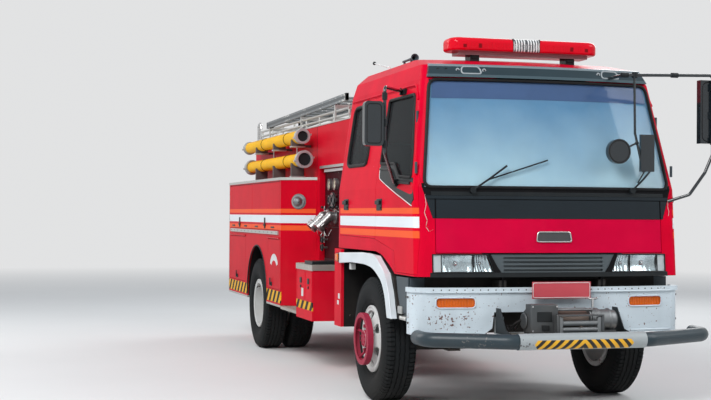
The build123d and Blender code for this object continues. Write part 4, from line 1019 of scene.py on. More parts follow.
SCRAPE = Finish("scraped pale primer", (0.56, 0.40, 0.38), "white_paint", roughness=0.6, dust=0.1,
                chips=0.5, chip_colour=(0.45, 0.02, 0.04), bump=0.05)
# The reflector's strong random tone paints dark and bright patches for the reflections of a chrome bowl:
# painted reflection.
REFLECTOR_WITH_PAINTED_GLINTS = Finish("lamp reflector with painted reflections", (0.80, 0.86, 0.88), "lamp_glass", roughness=0.20, metallic=1.0,
                   dust=0.05, variation=0.45, scale=2.0)
CLOTH = Finish("seat cloth", (0.085, 0.090, 0.095), "seat_cloth", roughness=0.9, sheen=0.3, dust=0.1,
               bump=0.25, scale=1.6)
TYRE = Finish("tyre rubber", (0.0075, 0.0095, 0.011), "tyre_rubber", roughness=0.75, specular=0.15,
              dust=0.25, dust_height=1.1, dust_and_shade_colour=(0.05, 0.043, 0.036), bump=0.10)
# The windscreen's blue is a slight real tint deepened into a painted sky reflection, and its pale cyan
# below z 2.05 is a painted reflection too.
SCREEN_GLASS = Glass("windscreen glass with painted sky reflection", (0.17, 0.38, 0.60), "clear_glass", index=1.3, clear=0.5,
                     painted_reflection_colour=(0.58, 0.82, 0.92), fade=(2.05, 2.75))
DOOR_GLASS = Glass("door window glass", (0.15, 0.17, 0.18), "clear_glass", index=1.05, clear=0.9,
                   specular=0.05)
TINT_GLASS = Glass("tinted top band", (0.10, 0.18, 0.36), "clear_glass", roughness=0.06, index=1.3,
                   clear=0.5)
LENS_CLEAR = Glass("clear lamp lens", (0.88, 0.93, 0.95), "lamp_glass", index=1.3)
LENS_RIBBED = Glass("ribbed lamp lens", (0.80, 0.86, 0.88), "lamp_glass", index=1.4, clear=0.5, ribs=60.0)
LENS_AMBER = Glass("amber lamp lens", (0.85, 0.16, 0.006), "amber_lens", roughness=0.12, clear=0.2,
                   ribs=30.0)
LENS_RED = Glass("red lamp lens", (0.72, 0.006, 0.02), "red_lens", roughness=0.10, clear=0.35, ribs=18.0)
SADDLE = Finish("saddle grey", (0.105, 0.085, 0.085), "tread_metal", roughness=0.5, specular=0.1, dust=0.3,
                bump=0.05)
BAY_STEEL = Finish("bay valve steel", (0.34, 0.34, 0.34), "cast_metal", roughness=0.32, metallic=0.85,
                   dust=0.25, chips=0.3, chip_colour=(0.06, 0.055, 0.05), bump=0.08)
CAST_PALE = Finish("pale cast alloy", (0.46, 0.48, 0.49), "cast_metal", roughness=0.35, metallic=0.6,
                   dust=0.2, chips=0.2, chip_colour=(0.24, 0.22, 0.20), bump=0.06)
ALLOY_DULL = Finish("dull shutter alloy", (0.42, 0.42, 0.41), "tread_metal", roughness=0.5,
                    metallic=0.6, dust=0.4, bump=0.04)
REAR_BOARD = Finish("rear warning board", (0.60, 0.006, 0.014), "red_paint", roughness=0.4,
                    dust=0.25, dust_height=2.0,
                    markings=(Marking((0.80, 0.50, 0.02), ((1, 0, 0, 0.80),), Pattern.SLANTED_X,
                                      (0.55, 0.006, 0.014), 0.30),))
HOSE_CANVAS = Finish("canvas hose", (0.42, 0.36, 0.27), "seat_cloth", roughness=0.9, dust=0.2, bump=0.2)
EXHAUST_RUST = Finish("rusty exhaust", (0.13, 0.065, 0.04), "engine_iron", roughness=0.75,
                      metallic=0.2, dust=0.5, chips=0.4, chip_colour=(0.20, 0.08, 0.03), bump=0.15)
BAR_RED = Finish("light bar red lens", (0.66, 0.002, 0.016), "red_lens", roughness=0.12, coat=0.1,
                 specular=0.1, dust=0.03,
                 markings=(Marking((0.20, 0.0, 0.004),
                                   (*between(2.962, 2.998, 2), *between(0.395, 0.425, 0))),
                           Marking((0.20, 0.0, 0.004),
                                   (*between(2.962, 2.990, 2), *between(0.530, 0.560, 0))),
                           Marking((0.70, 0.71, 0.70), ((-1, 0, 0, -0.118), (0, 0, 1, 2.9415)),
                                   Pattern.SLANTED_X, (0.08, 0.085, 0.09), 0.024, 0.0),
                           Marking((0.36, 0.24, 0.25), ((0, 0, -1, -2.9415),)),
                           Marking((0.016, 0.016, 0.018), ((0, 0, -1, -2.909),))))
MIRROR = Finish("mirror face", (0.55, 0.60, 0.63), "lamp_glass", roughness=0.04, metallic=1.0, dust=0.0)


def dress(nodes: dict[str, bpy.types.Object]) -> None:
    """Give every carried-over solid its finish.

    Args:
        nodes: The frame's node objects by name.
    """
    table: tuple[tuple[Finish | Glass, str],
                 ...] = ((FRAME_BLACK,
                          "chassis_frame running_gear wheel_liners knuckle_right knuckle_left"),
                         (IRON, "engine_block"), (BUMPER_WHITE, "bumper"), (BAR_DARK, "bull_bar"),
                         (WINCH_DARK, "winch"), (WHITE, "front_flares"), (GREY, "entry_steps"),
                         (VISOR_GREY_WITH_PAINTED_SKY, "visor"), (MIRROR_BLACK, "mirror_right mirror_left"),
                         (BOX_RED, "side_boxes"), (TREAD, "tread_plates"), (BODY_RED, "body_shell"),
                         (UPPER_RED, "upper_body"), (BAY_SHADE_RED, "pump_bay"), (BAY_STEEL, "pump_fittings"),
                         (ALLOY, "body_trims roof_rack"), (CAST_PALE, "hose_couplings"),
                         (SADDLE, "hose_cradles"), (HOSE_YELLOW, "suction_hoses"),
                         (LADDER_METAL, "roof_ladder"), (LENS_AMBER, "marker_lamps"),
                         (CAB_RED, "cab_shell"), (LID_RED, "front_lid"), (SCREEN_GLASS, "windscreen"),
                         (GRILLE_GREY, "grille"), (LENS_CLEAR, "headlamps"), (BAR_RED, "light_bar"),
                         (CLOTH, "seats"), (BLACK, "dashboard"),
                         (RIM_WHITE,
                          "wheel_front_right wheel_front_left wheel_rear_right wheel_rear_left"),
                         (TYRE, "tyre_front_right tyre_front_left tyre_rear_right tyre_rear_left"))
    chosen = {name: finish for finish, names in table for name in names.split()}
    for name, node in nodes.items():
        finish = chosen.get(name)
        if finish is None:
            finish = DOOR_GLASS if name.startswith("glass_") else DOOR_RED if name.startswith("door_") \
                else BODY_RED
        for slot in node.material_slots:
            slot.material = finish.material()
    LOG.info("dressed %d solids", len(nodes))


@dataclass
class CabFront:
    """Screen rubber, wipers, badge plate, visor fittings and number plate of the cab's front."""

    skin: CabSkin = field(default_factory=CabSkin)
    screen: tuple[tuple[float, float], ...] = ((-1.055, 1.800), (-0.948, 2.662), (0.948, 2.662),
                                               (1.055, 1.800))
    rubber_radius: float = 0.013
    badge: tuple[float, float, float] = (0.150, 1.375, 1.452)
    grab_places: tuple[float, ...] = (-0.60, 0.62)
    lid_half: float = 0.968
    panel_z: tuple[float, float, float] = (1.556, 1.702, 1.734)

    def outline(self, corners: Sequence[tuple[float, float]], proud: float, turn: float = 0.07,
                step: float = 0.06) -> list[Vector]:
        """Lay a rounded (x, z) outline on the front skin.

        Args:
            corners: The outline's corners.
            proud: How far it stands off the skin.
            turn: The size of its rounded corners.
            step: The greatest distance between two points.

        Returns:
            The points on the skin.
        """
        loop = rounded([(x, 0.0, z) for x, z in corners], turn)
        made: list[Vector] = []
        for here, there in zip(loop, loop[1:] + loop[:1]):
            count = max(1, int((there - here).length / step))
            made += [self.skin.front(*(here.lerp(there, k / count)).xz, proud) for k in range(count)]
        return made

    def build(self) -> None:
        """Make every piece of the front."""
        loop = self.outline(self.screen, 0.001)
        Shape("screen_rubber", "cab", RUBBER).tube(loop, self.rubber_radius, 8, closed=True).place()
        band = [self.skin.across(half, z, -0.0092, 20) for half, z in ((0.938, 2.510), (0.920, 2.650))]
        Shape("screen_tint_band", "cab", TINT_GLASS).sheet(band, (0, 0.0006, 0)).place()
        self.wipers()
        self.dark_panel()
        self.badge_plate()
        self.visor_fittings()
        self.seams()
        self.number_plate()

    def wipers(self) -> None:
        """Make the two wipers, each a pivot, an arm and a blade on the glass."""
        shape = Shape("wipers", "cab", BLACK, bevel=0.002)
        runs = (((-0.674, 1.775), (-0.385, 1.972), ((-0.53, 1.865), (-0.03, 2.022))),
                ((0.700, 1.785), (0.925, 1.985), ((0.76, 1.850), (0.945, 2.08))))
        for pivot, elbow, (blade_start, blade_end) in runs:
            base = self.skin.front(*pivot, 0.012)
            shape.rod(self.skin.front(*pivot, -0.02), self.skin.front(*pivot, 0.035), 0.024, 16)
            knee = self.skin.front(*elbow, 0.030)
            shape.tube((base, base.lerp(knee, 0.5) + Vector((0, -0.018, 0)), knee), 0.0085, 8)
            shape.tube([self.skin.front(blade_start[0] + (blade_end[0] - blade_start[0]) * k / 8,
                                        blade_start[1] + (blade_end[1] - blade_start[1]) * k / 8, 0.016)
                        for k in range(9)], 0.0065, 8)
        shape.place()

    def dark_panel(self) -> None:
        """Make the glossy black sheet on the upper part of the lid and the cab beside it."""
        low, high, top = self.panel_z
        gap, proud, depth = 0.006, 0.003, (0, 0.0024, 0)
        near = self.lid_half + gap
        heights = [low + (high - low) * k / 4 for k in range(5)]
        panel = Shape("lid_black_panel", "front_lid", PANEL_BLACK)
        panel.sheet([self.skin.across(self.lid_half - gap, z, proud, 24) for z in heights], depth).place()
        sides = Shape("cab_black_corners", "cab", PANEL_BLACK)
        sides.sheet([[self.skin.front(near + (self.panel_edge(z) - near) * k / 6, z, proud)
                      for k in range(7)] for z in heights], depth).mirrored()
        rows = [self.skin.across(self.panel_edge(z), z, proud, 24) for z in (high + gap, top)]
        sides.sheet(rows, depth).place()

    def panel_edge(self, z: float) -> float:
        """Return the black panel's cross distance at a height."""
        return 0.33 * z + 0.478

    def badge_plate(self) -> None:
        """Make the bare badge: a bright frame round a dark plate."""
        half, low, high = self.badge
        frame = Shape("badge_frame", "front_lid", CHROME, bevel=0.002)
        loop = self.outline(((-half, low), (-half + 0.012, high), (half - 0.012, high), (half, low)), 0.005,
                            0.02, 0.03)
        frame.tube(loop, 0.006, 8, closed=True).place()
        rows = [self.skin.across(half - 0.008, z, 0.004, 8) for z in (low + 0.005, high - 0.005)]
        Shape("badge_field", "front_lid", BADGE).sheet(rows, (0, 0.010, 0)).place()

    def visor_fittings(self) -> None:
        """Make the visor's grab cups with their lugs, its screws and its joint lines."""
        cups = Shape("visor_grab_cups", "cab", GREY_PALE, bevel=0.004)
        dark = Shape("visor_pockets", "cab", BLACK)
        for middle in self.grab_places:
            corners = rounded([(-0.085, 0, 2.712), (0.085, 0, 2.712), (0.070, 0, 2.772),
                               (-0.070, 0, 2.772)], 0.03)
            loop = [self.skin.front(middle + spot.x, spot.z, 0.0262) for spot in corners]
            cups.tube(loop, 0.007, 8, closed=True)
            for x in (-0.108, 0.108):
                spot = self.skin.front(middle + x, 2.742, 0.024)
                cups.rod(spot, spot + Vector((0, -0.006, 0)), 0.017, 16)
                dark.rod(spot, spot + Vector((0, -0.0072, 0)), 0.007, 10)
            rows = [[self.skin.front(middle + x, z, 0.0257) for x in (-0.07, -0.03, 0.03, 0.07)]
                    for z in (2.722, 2.764)]
            dark.sheet(rows, (0, 0.003, 0))
        for x in (-0.865, -0.80, 0.80, 0.865):
            spot = self.skin.front(x, 2.745, 0.0245)
            dark.rod(spot, spot + Vector((0, -0.002, 0)), 0.013, 16)
        for x in (-0.46, 0.46):
            rows = [[self.skin.front(x + shift, 2.690 + 0.098 * k / 6, 0.0256) for k in range(7)]
                    for shift in (-0.002, 0.002)]
            dark.sheet(rows, (0, 0.004, 0))
        dark.place()
        cups.place()

    def seams(self) -> None:
        """Make the strip under the screen and the scraped lines on the corners."""
        strip = Shape("lid_top_strip", "cab", BLACK, bevel=0.001)
        rows = [self.skin.across(1.0, z, 0.004, 24) for z in (1.735, 1.765)]
        strip.sheet(rows, (0, 0.008, 0)).place()
        scrape = Shape("corner_scrapes", "cab", SCRAPE)
        for points in (((-1.048, 1.74), (-1.040, 1.66), (-1.055, 1.60), (-1.035, 1.54), (-1.045, 1.49),
                        (-1.020, 1.45), (-0.990, 1.468)),
                       ((1.052, 1.72), (1.046, 1.66), (1.056, 1.62), (1.050, 1.585))):
            rows = [[self.skin.front(x + shift, z + shift * 0.4, 0.0009) for x, z in points]
                    for shift in (-0.0022, 0.0022)]
            scrape.sheet(rows, (0, 0.003, 0))
        scrape.place()

    def number_plate(self) -> None:
        """Make the bare number plate on its bracket over the bumper's lip."""
        plate = Shape("number_plate", "chassis", PLATE_RED, bevel=0.003)
        plate.box(at(-0.215, -1.262, 0.930), at(0.285, -1.258, 1.062)).place()
        rim = Shape("number_plate_rim", "chassis", PALE)
        loop = rounded([at(-0.207, -1.262, 0.938), at(0.277, -1.262, 0.938), at(0.277, -1.262, 1.054),
                        at(-0.207, -1.262, 1.054)], 0.015)
        rim.tube(loop, 0.0028, 6, closed=True).place()
        Shape("number_plate_bracket", "chassis", BLACK, bevel=0.002).box(
            at(-0.15, -1.258, 0.985), at(0.22, -1.218, 1.030)).place()


@dataclass
class Headlamps:
    """Two headlamps: a dark housing with bowls, a bulb in each, and a ribbed clear cover."""

    skin: CabSkin = field(default_factory=CabSkin)
    outer: float = 0.998
    splits: tuple[float, float] = (0.930, 0.672)
    low: float = 1.134
    high: float = 1.274
    slant: tuple[float, float] = (0.505, 0.557)

    def edge(self, z: float) -> float:
        """Return the slanted inner edge's cross distance at a height."""
        share = (z - self.low) / (self.high - self.low)
        return self.slant[0] + (self.slant[1] - self.slant[0]) * share

    def sheet(self, shape: Shape, left: float | None, right: float, proud: float, depth: float,
              gap: float = 0.0) -> None:
        """Add a curved sheet between two cross distances, up to the slanted edge if none is given."""
        rows = []
        for z in (self.low + gap, self.high - gap):
            start = self.edge(z) + gap if left is None else left
            rows.append([self.skin.front(start + (right - start) * k / 8, z, proud) for k in range(9)])
        shape.sheet(rows, (0, depth, 0))

    def bowl(self, shape: Shape, left: float | None, right: float) -> None:
        """Add a dished reflector with upright flutes between two cross distances."""
        rows, columns = 8, 18
        middle_z, half_z = (self.low + self.high) / 2, (self.high - self.low) / 2 - 0.006
        grid = []
        for j in range(rows + 1):
            v = 2 * j / rows - 1
            z = middle_z + v * half_z
            start = self.edge(z) + 0.006 if left is None else left
            line = []
            for k in range(columns + 1):
                h = 2 * k / columns - 1
                dish = 0.042 * max(0.0, 1 - 0.55 * h * h - 0.45 * v * v) + 0.003 * (k % 3 == 0)
                line.append(self.skin.front(start + (right - start) * k / columns, z, -0.012 - dish))
            grid.append(line)
        shape.sheet(grid, (0, 0.002, 0))

    def build(self) -> None:
        """Make both lamps."""
        housing = Shape("lamp_housings", "cab", BLACK, bevel=0.001)
        self.sheet(housing, None, self.outer, -0.062, 0.003)
        bowls = Shape("lamp_bowls", "cab", REFLECTOR_WITH_PAINTED_GLINTS)
        for left, right in ((None, self.splits[1] - 0.006),
                            (self.splits[1] + 0.006, self.splits[0] - 0.006)):
            self.bowl(bowls, left, right)
        self.sheet(bowls, self.splits[0] + 0.006, self.outer - 0.004, -0.030, 0.003, 0.006)
        bulbs = Shape("lamp_bulb_caps", "cab", CHROME)
        for centre, radius in ((0.802, 0.017), (0.606, 0.012)):
            spot = self.skin.front(centre, (self.low + self.high) / 2, -0.045)
            bulbs.rod(spot + Vector((0, 0.02, 0)), spot, radius * 0.7, 16).ball(spot, radius)
        frames = Shape("lamp_frames", "cab", BLACK, bevel=0.001)
        for x in self.splits:
            self.sheet(frames, x - 0.006, x + 0.006, -0.006, 0.040, 0.002)
        lens = Shape("lamp_covers", "cab", LENS_CLEAR)
        self.sheet(lens, None, self.splits[1] - 0.002, -0.004, 0.004)
        self.sheet(lens, self.splits[1] + 0.002, self.splits[0] - 0.002, -0.004, 0.004)
        side_lens = Shape("lamp_side_covers", "cab", LENS_RIBBED)
        self.sheet(side_lens, self.splits[0] + 0.002, self.outer, -0.004, 0.004)
        rim = Shape("lamp_rims", "cab", BLACK)
        loop = [self.skin.front(x, z, 0.0) for x,
                z in ((self.edge(self.low), self.low), (0.75, self.low), (0.90, self.low),
                      (self.outer, self.low), (self.outer, self.high), (0.90, self.high),
                      (0.75, self.high), (self.edge(self.high), self.high))]
        rim.tube(loop, 0.0065, 8, closed=True)
        for shape in (housing, bowls, bulbs, frames, side_lens, rim):
            shape.mirrored().place()
        lens.mirrored().place("headlamps")
        under = Shape("lamp_under_strip", "cab", BLACK)
        rows = [self.skin.across(1.02, z, 0.002, 20) for z in (1.098, 1.134)]
        under.sheet(rows, (0, 0.006, 0)).place()


@dataclass
class CabDoors:
    """Window rubbers, quarter panels, handles and drip rails of the four cab doors."""

    skin: CabSkin = field(default_factory=CabSkin)
    front_window: tuple[tuple[float, float], ...] = (
        (-0.968, 1.875), (-0.925, 2.070), (-0.770, 2.530), (-0.735, 2.550), (-0.095, 2.550),
        (-0.080, 2.535), (-0.080, 2.010), (-0.480, 2.000), (-0.640, 1.890))
    rear_window: tuple[tuple[float, float], ...] = ((0.345, 2.020), (0.345, 2.560), (0.990, 2.560),
                                                    (0.990, 2.020))
    quarter: tuple[tuple[float, float], ...] = (
        (-0.080, 2.000), (-0.095, 1.890), (-0.30, 1.835), (-0.49, 1.790), (-1.000, 1.660),
        (-1.052, 1.700), (-1.010, 1.872), (-0.640, 1.888), (-0.480, 1.998))

    def loop(self, sign: int, corners: Sequence[tuple[float, float]], proud: float, turn: float = 0.03,
             step: float = 0.08) -> list[Vector]:
        """Lay a rounded (y, z) outline on the side skin and return its points."""
        path = rounded([(0.0, y, z) for y, z in corners], turn)
        made: list[Vector] = []
        for here, there in zip(path, path[1:] + path[:1]):
            count = max(1, int((there - here).length / step))
            made += [self.skin.side(sign, *(here.lerp(there, k / count)).yz, proud) for k in range(count)]
        return made

    def build(self) -> None:
        """Make the fittings of all four doors."""
        for sign, side in SIDES:
            front, rear = f"cab_door_front_{side}", f"cab_door_rear_{side}"
            Shape(f"front_window_rubber_{side}", front, RUBBER).tube(
                self.loop(sign, self.front_window, 0.0), 0.014, 8, closed=True).place()
            Shape(f"rear_window_rubber_{side}", rear, RUBBER).tube(
                self.loop(sign, self.rear_window, 0.0, 0.09), 0.017, 8, closed=True).place()
            self.quarter_panel(sign, side, front)
            for body, y, z in ((front, -0.140, 1.665), (rear, 0.906, 1.670)):
                self.handle(sign, f"{body}_handle", body, y, z)
            self.trims(sign, side)

    def quarter_panel(self, sign: int, side: str, body: str) -> None:
        """Make the black panel under the front glass with its raised crease."""
        panel = Shape(f"quarter_panel_{side}", body, BLACK, bevel=0.002)
        outline = [self.skin.side(sign, y, z, 0.003) for y, z in self.quarter]
        panel.plate(outline if sign < 0 else outline[::-1], (-sign * 0.008, 0, 0)).place()
        crease = Shape(f"quarter_crease_{side}", body, BLACK)
        path = rounded([self.skin.side(sign, y, z, 0.004) for y, z in (
            (-0.10, 1.965), (-0.43, 1.955), (-0.60, 1.845), (-0.96, 1.830))], 0.06, closed=False)
        crease.tube(path, 0.012, 8).place()
        stick = Shape(f"quarter_edge_{side}", body, PALE)
        path = rounded([self.skin.side(sign, y, z, 0.002) for y, z in (
            (-0.083, 1.98), (-0.098, 1.885), (-0.49, 1.782), (-1.01, 1.652))], 0.12, closed=False)
        stick.tube(path, 0.004, 6).place()

    def handle(self, sign: int, name: str, body: str, y: float, z: float) -> None:
        """Make a pull handle: a dark pocket, a paddle and a lock."""
        shape = Shape(name, body, BLACK, bevel=0.005)
        base = self.skin.side(sign, y, z, 0.0)
        out = Vector((sign, 0, 0))
        shape.box(base + Vector((0, -0.075, -0.050)) - out * 0.006,
                  base + Vector((0, 0.075, 0.050)) + out * 0.006)
        shape.box(base + Vector((0, -0.062, 0.000)) + out * 0.006,
                  base + Vector((0, 0.062, 0.036)) + out * 0.026)
        shape.rod(base + Vector((0, -0.048, -0.026)),
                  base + Vector((0, -0.048, -0.026)) + out * 0.012, 0.011, 16)
        shape.place()

    def trims(self, sign: int, side: str) -> None:
        """Make the drip rail over the doors and the hinges at the screen pillar."""
        rail = Shape(f"drip_rail_{side}", "cab", CAB_RED)
        path = [self.skin.side(sign, y, 2.626, 0.003) for y in (-0.78, -0.4, 0.0, 0.4, 0.8, 1.12)]
        path = [self.skin.side(sign, -0.86, 2.50, 0.003)] + path
        rail.tube(rounded(path, 0.06, closed=False), 0.009, 8).place()
        hinge = Shape(f"door_hinges_{side}", "cab", GREY, bevel=0.002)
        for y, z in ((-0.895, 2.36), (-1.048, 1.95)):
            spot = self.skin.side(sign, y, z, 0.0)
            hinge.rod(spot + Vector((0, 0, -0.045)), spot + Vector((0, 0, 0.045)), 0.011, 12)
        hinge.place()


@dataclass
class FrontEnd:
    """Bumper holes and lamp bezels, the bar's bolts, and the winch with its rope and rollers."""

    half: float = 1.160
    side_y: float = -1.140
    middle_y: float = -1.225
    corner: float = 0.100
    lamp_x: tuple[float, float] = (0.655, 0.970)
    lamp_z: tuple[float, float] = (0.858, 0.940)
    bar_y: float = -1.700
    bar_z: float = 0.640
    bar_ends: tuple[float, float] = (-1.130, 1.225)
    winch_y: float = -1.440
    winch_z: float = 0.775
    rope_turns: int = 16

    def face(self, x: float, inset: float = 0.0) -> float:
        """Return how far behind the axle the bumper's face stands at a cross distance."""
        chord, rise = self.half - self.corner, self.side_y - self.middle_y
        bend = (chord ** 2 + rise ** 2) / (2 * rise)
        return self.middle_y + inset + bend - math.sqrt(bend ** 2 - min(abs(x), chord) ** 2)

    def build(self) -> None:
        """Make the pieces of the front end."""
        self.bumper_details()
        self.bar_details()
        self.winch()

    def bumper_details(self) -> None:
        """Make the lip's holes, the creases, the lamps' bezels and ribs, the side bolts and a black sheet
        behind the bumper that is painted shade under the cab.
        """
        holes = Shape("bumper_lip_holes", "chassis", FRAME_BLACK)
        for k in range(-16, 17):
            if abs(k) < 4:
                continue
            x = k * 0.062
            spot = at(x, self.face(x) - 0.0004, 0.999)
            holes.rod(spot + Vector((0, 0.004, 0)), spot, 0.0055, 10)
        holes.place()
        crease = Shape("bumper_crease", "chassis", BUMPER_WHITE)
        across = [k / 24 * 1.05 for k in range(-24, 25)]
        for run, inset, z in ((across, 0.003, 0.981), ([x for x in across if x < -0.60], 0.012, 0.668),
                              ([x for x in across if x > 0.60], 0.012, 0.668)):
            crease.tube([at(x, self.face(x) + inset, z) for x in run], 0.006, 8)
        crease.place()
        bezel = Shape("turn_lamp_bezels", "chassis", BUMPER_WHITE)
        low, high = self.lamp_z
        near, far = self.lamp_x
        for sign in (-1, 1):
            loop = rounded([(near, 0, low), (far, 0, low), (far, 0, high), (near, 0, high)], 0.035)
            path = []
            for here, there in zip(loop, loop[1:] + loop[:1]):
                count = max(1, int((there - here).length / 0.05))
                for k in range(count):
                    spot = here.lerp(there, k / count)
                    path.append(at(sign * spot.x, self.face(spot.x, 0.012) - 0.001, spot.z))
            bezel.tube(path, 0.006, 8, closed=True)
        bezel.place()
        lens = Shape("turn_lamp_ribs", "chassis", LENS_AMBER)
        for sign in (-1, 1):
            for k in range(13):
                x = sign * (near + 0.02 + k * (far - near - 0.04) / 12)
                lens.rod(at(x, self.face(x, 0.020) + 0.0005, low + 0.012),
                         at(x, self.face(x, 0.020) + 0.0005, high - 0.012), 0.003, 8)
        lens.place()
        # A plain black sheet behind the bumper under the cab's front: painted shade in the gap.
        blocks("front_gap_shade_sheet", FRAME_BLACK, [(-1.0, 1.0, -0.9605, -0.9565, 0.645, 1.092)], both=False)
        turns = [(at(s * 1.161, y, z), at(s * 1.161, y, z), 1) for s in (-1, 1)
                 for y, z in ((-1.03, 0.94), (-1.03, 0.74), (-0.985, 0.94))]
        bolts("bumper_side_bolts", "chassis", IRON, turns, (1, 0, 0), 0.010, 0.007, 6)

    def bar_details(self) -> None:
        """Make the weld rings, end caps and bolts of the front bar, and the tread tray under the winch."""
        rings = Shape("bar_weld_rings", "chassis", BAR_DARK)
        for sign in (-1, 1):
            rings.rod((sign * 0.514, AXLE_Y + self.bar_y, self.bar_z),
                      (sign * 0.5199, AXLE_Y + self.bar_y, self.bar_z), 0.0618, 40, 0.04)
        for x in self.bar_ends:
            rings.rod((x, AXLE_Y - 1.190, self.bar_z), (x, AXLE_Y - 1.183, self.bar_z), 0.057, 32)
        rings.place()
        Shape("winch_tray_plate", "chassis", TREAD, bevel=0.001).box(
            at(-0.478, -1.634, 0.6602), at(0.478, -1.200, 0.6635)).place()
        rows = [(at(s * x, -1.668, 0.690), at(s * x, -1.668, 0.690), 1) for s in (-1, 1)
                for x in (0.46, 0.49)]
        bolts("bar_bolts", "chassis", IRON, rows, (0, -0.45, 1), 0.010, 0.014, 6)
        rows = [(at(-0.44, -1.60, 0.666), at(0.44, -1.60, 0.666), 6)]
        bolts("tray_bolts", "chassis", IRON, rows, (0, 0, 1), 0.011, 0.008, 6)
        plates = Shape("bar_gussets", "chassis", BAR_GUSSET, bevel=0.002)
        for sign in (-1, 1):
            x = sign * 0.500
            plates.plate([at(x, -1.615, 0.664), at(x, -1.215, 0.664), at(x, -1.215, 0.860),
                          at(x, -1.300, 0.860), at(x, -1.420, 0.700)], (-sign * 0.008, 0, 0))
        plates.place()

    def winch(self) -> None:
        """Make the winch's housings, rope, fairlead rollers, clutch handle and leads."""
        y, z = AXLE_Y + self.winch_y, self.winch_z
        dark = Shape("winch_gear_housing", "chassis", WINCH_DARK, bevel=0.006)
        dark.box((-0.352, y - 0.115, 0.690), (-0.125, y - 0.010, 0.905))
        dark.rod((-0.352, y, z), (-0.368, y, z), 0.062, 28)
        dark.rod((-0.330, y, z), (-0.172, y, z), 0.098, 36)
        dark.place()
        face = Shape("winch_housing_plate", "chassis", BLACK, bevel=0.003)
        face.box((-0.300, y - 0.121, 0.775), (-0.178, y - 0.114, 0.850))
        face.box((-0.262, y - 0.134, 0.707), (-0.205, y - 0.114, 0.748)).place()
        rows = [((x, y - 0.120, h), (x, y - 0.120, h), 1) for x in (-0.338, -0.140) for h in (0.705, 0.890)]
        bolts("winch_housing_bolts", "chassis", CHROME, rows, (0, -1, 0), 0.008, 0.009, 6)
        bright = Shape("winch_motor", "chassis", CAST, bevel=0.002)
        profile = [(0.0, 0.040), (0.0, 0.088), (0.020, 0.094), (0.026, 0.086), (0.050, 0.086),
                   (0.056, 0.093), (0.070, 0.093), (0.076, 0.082), (0.150, 0.082), (0.156, 0.089),
                   (0.168, 0.089), (0.172, 0.080), (0.205, 0.076), (0.222, 0.055), (0.222, 0.0),
                   (0.010, 0.0)]
        bright.lathe(profile, (0.178, y, z), (1, 0, 0), 44)
        bright.place()
        flange = Shape("winch_drum_flanges", "chassis", CAST, bevel=0.002)
        for x in (-0.166, 0.160):
            flange.rod((x, y, z), (x + 0.010, y, z), 0.092, 36)
        flange.place()
        repeated("winch_rope", Repeat.ROW, "chassis", ROPE_RUST, [
            {"Start": (-0.148, y, z), "End": (0.150, y, z), "Count": self.rope_turns * 2, "Radius": 0.070,
             "Depth": 0.0075, "Sides": 28, "Turn": (0.0, math.pi / 2, 0.0)}], bevel=0.003)
        rollers = Shape("fairlead_rollers", "chassis", CAST, bevel=0.004)
        front = AXLE_Y - 1.600
        for h in (0.715, 0.765):
            rollers.rod((-0.118, front, h), (0.178, front, h), 0.021, 24)
        for x in (-0.130, 0.190):
            rollers.rod((x, front - 0.006, 0.690), (x, front - 0.006, 0.812), 0.021, 24)
        rollers.place()
        cage = Shape("fairlead_cage", "chassis", WINCH_DARK, bevel=0.003)
        for x in (-0.158, 0.214):
            cage.box((x - 0.010, front - 0.030, 0.674), (x + 0.010, front + 0.035, 0.830))
        cage.box((-0.158, front - 0.030, 0.818), (0.214, front + 0.034, 0.830))
        cage.box((-0.158, front - 0.030, 0.672), (0.214, front + 0.034, 0.684)).place()
        handle = Shape("winch_clutch_handle", "chassis", CHROME, bevel=0.001)
        handle.rod((0.215, y, 0.868), (0.215, y, 0.935), 0.009, 12)
        handle.tube(((0.175, y, 0.945), (0.190, y, 0.937), (0.240, y, 0.937), (0.255, y, 0.945)), 0.008, 8)
        handle.place()
        ties = Shape("winch_tie_bars", "chassis", CAST)
        for back, h in ((-0.055, 0.858), (0.055, 0.858), (0.075, 0.72)):
            ties.rod((-0.172, y + back, h), (0.182, y + back, h), 0.009, 12)
        ties.place()
        leads = Shape("winch_leads", "chassis", RUBBER)
        for k, x in enumerate((-0.37, -0.40, -0.43)):
            path = rounded([(-0.345, y + 0.02 + k * 0.012, z + 0.02), (x, y + 0.06, z - 0.02 - k * 0.01),
                            (x + 0.01, y + 0.16, 0.690), (x + 0.03, y + 0.235, 0.72)], 0.07, closed=False)
            leads.tube(path, 0.008, 8)
        leads.place()
        tail = Shape("rope_tail", "chassis", ROPE_RUST)
        path = rounded([(0.030, y - 0.060, z - 0.034), (0.034, front + 0.03, 0.741), (0.036, front, 0.740),
                        (0.036, front - 0.026, 0.738)], 0.02, closed=False)
        tail.tube(path, 0.006, 8)
        tail.place()


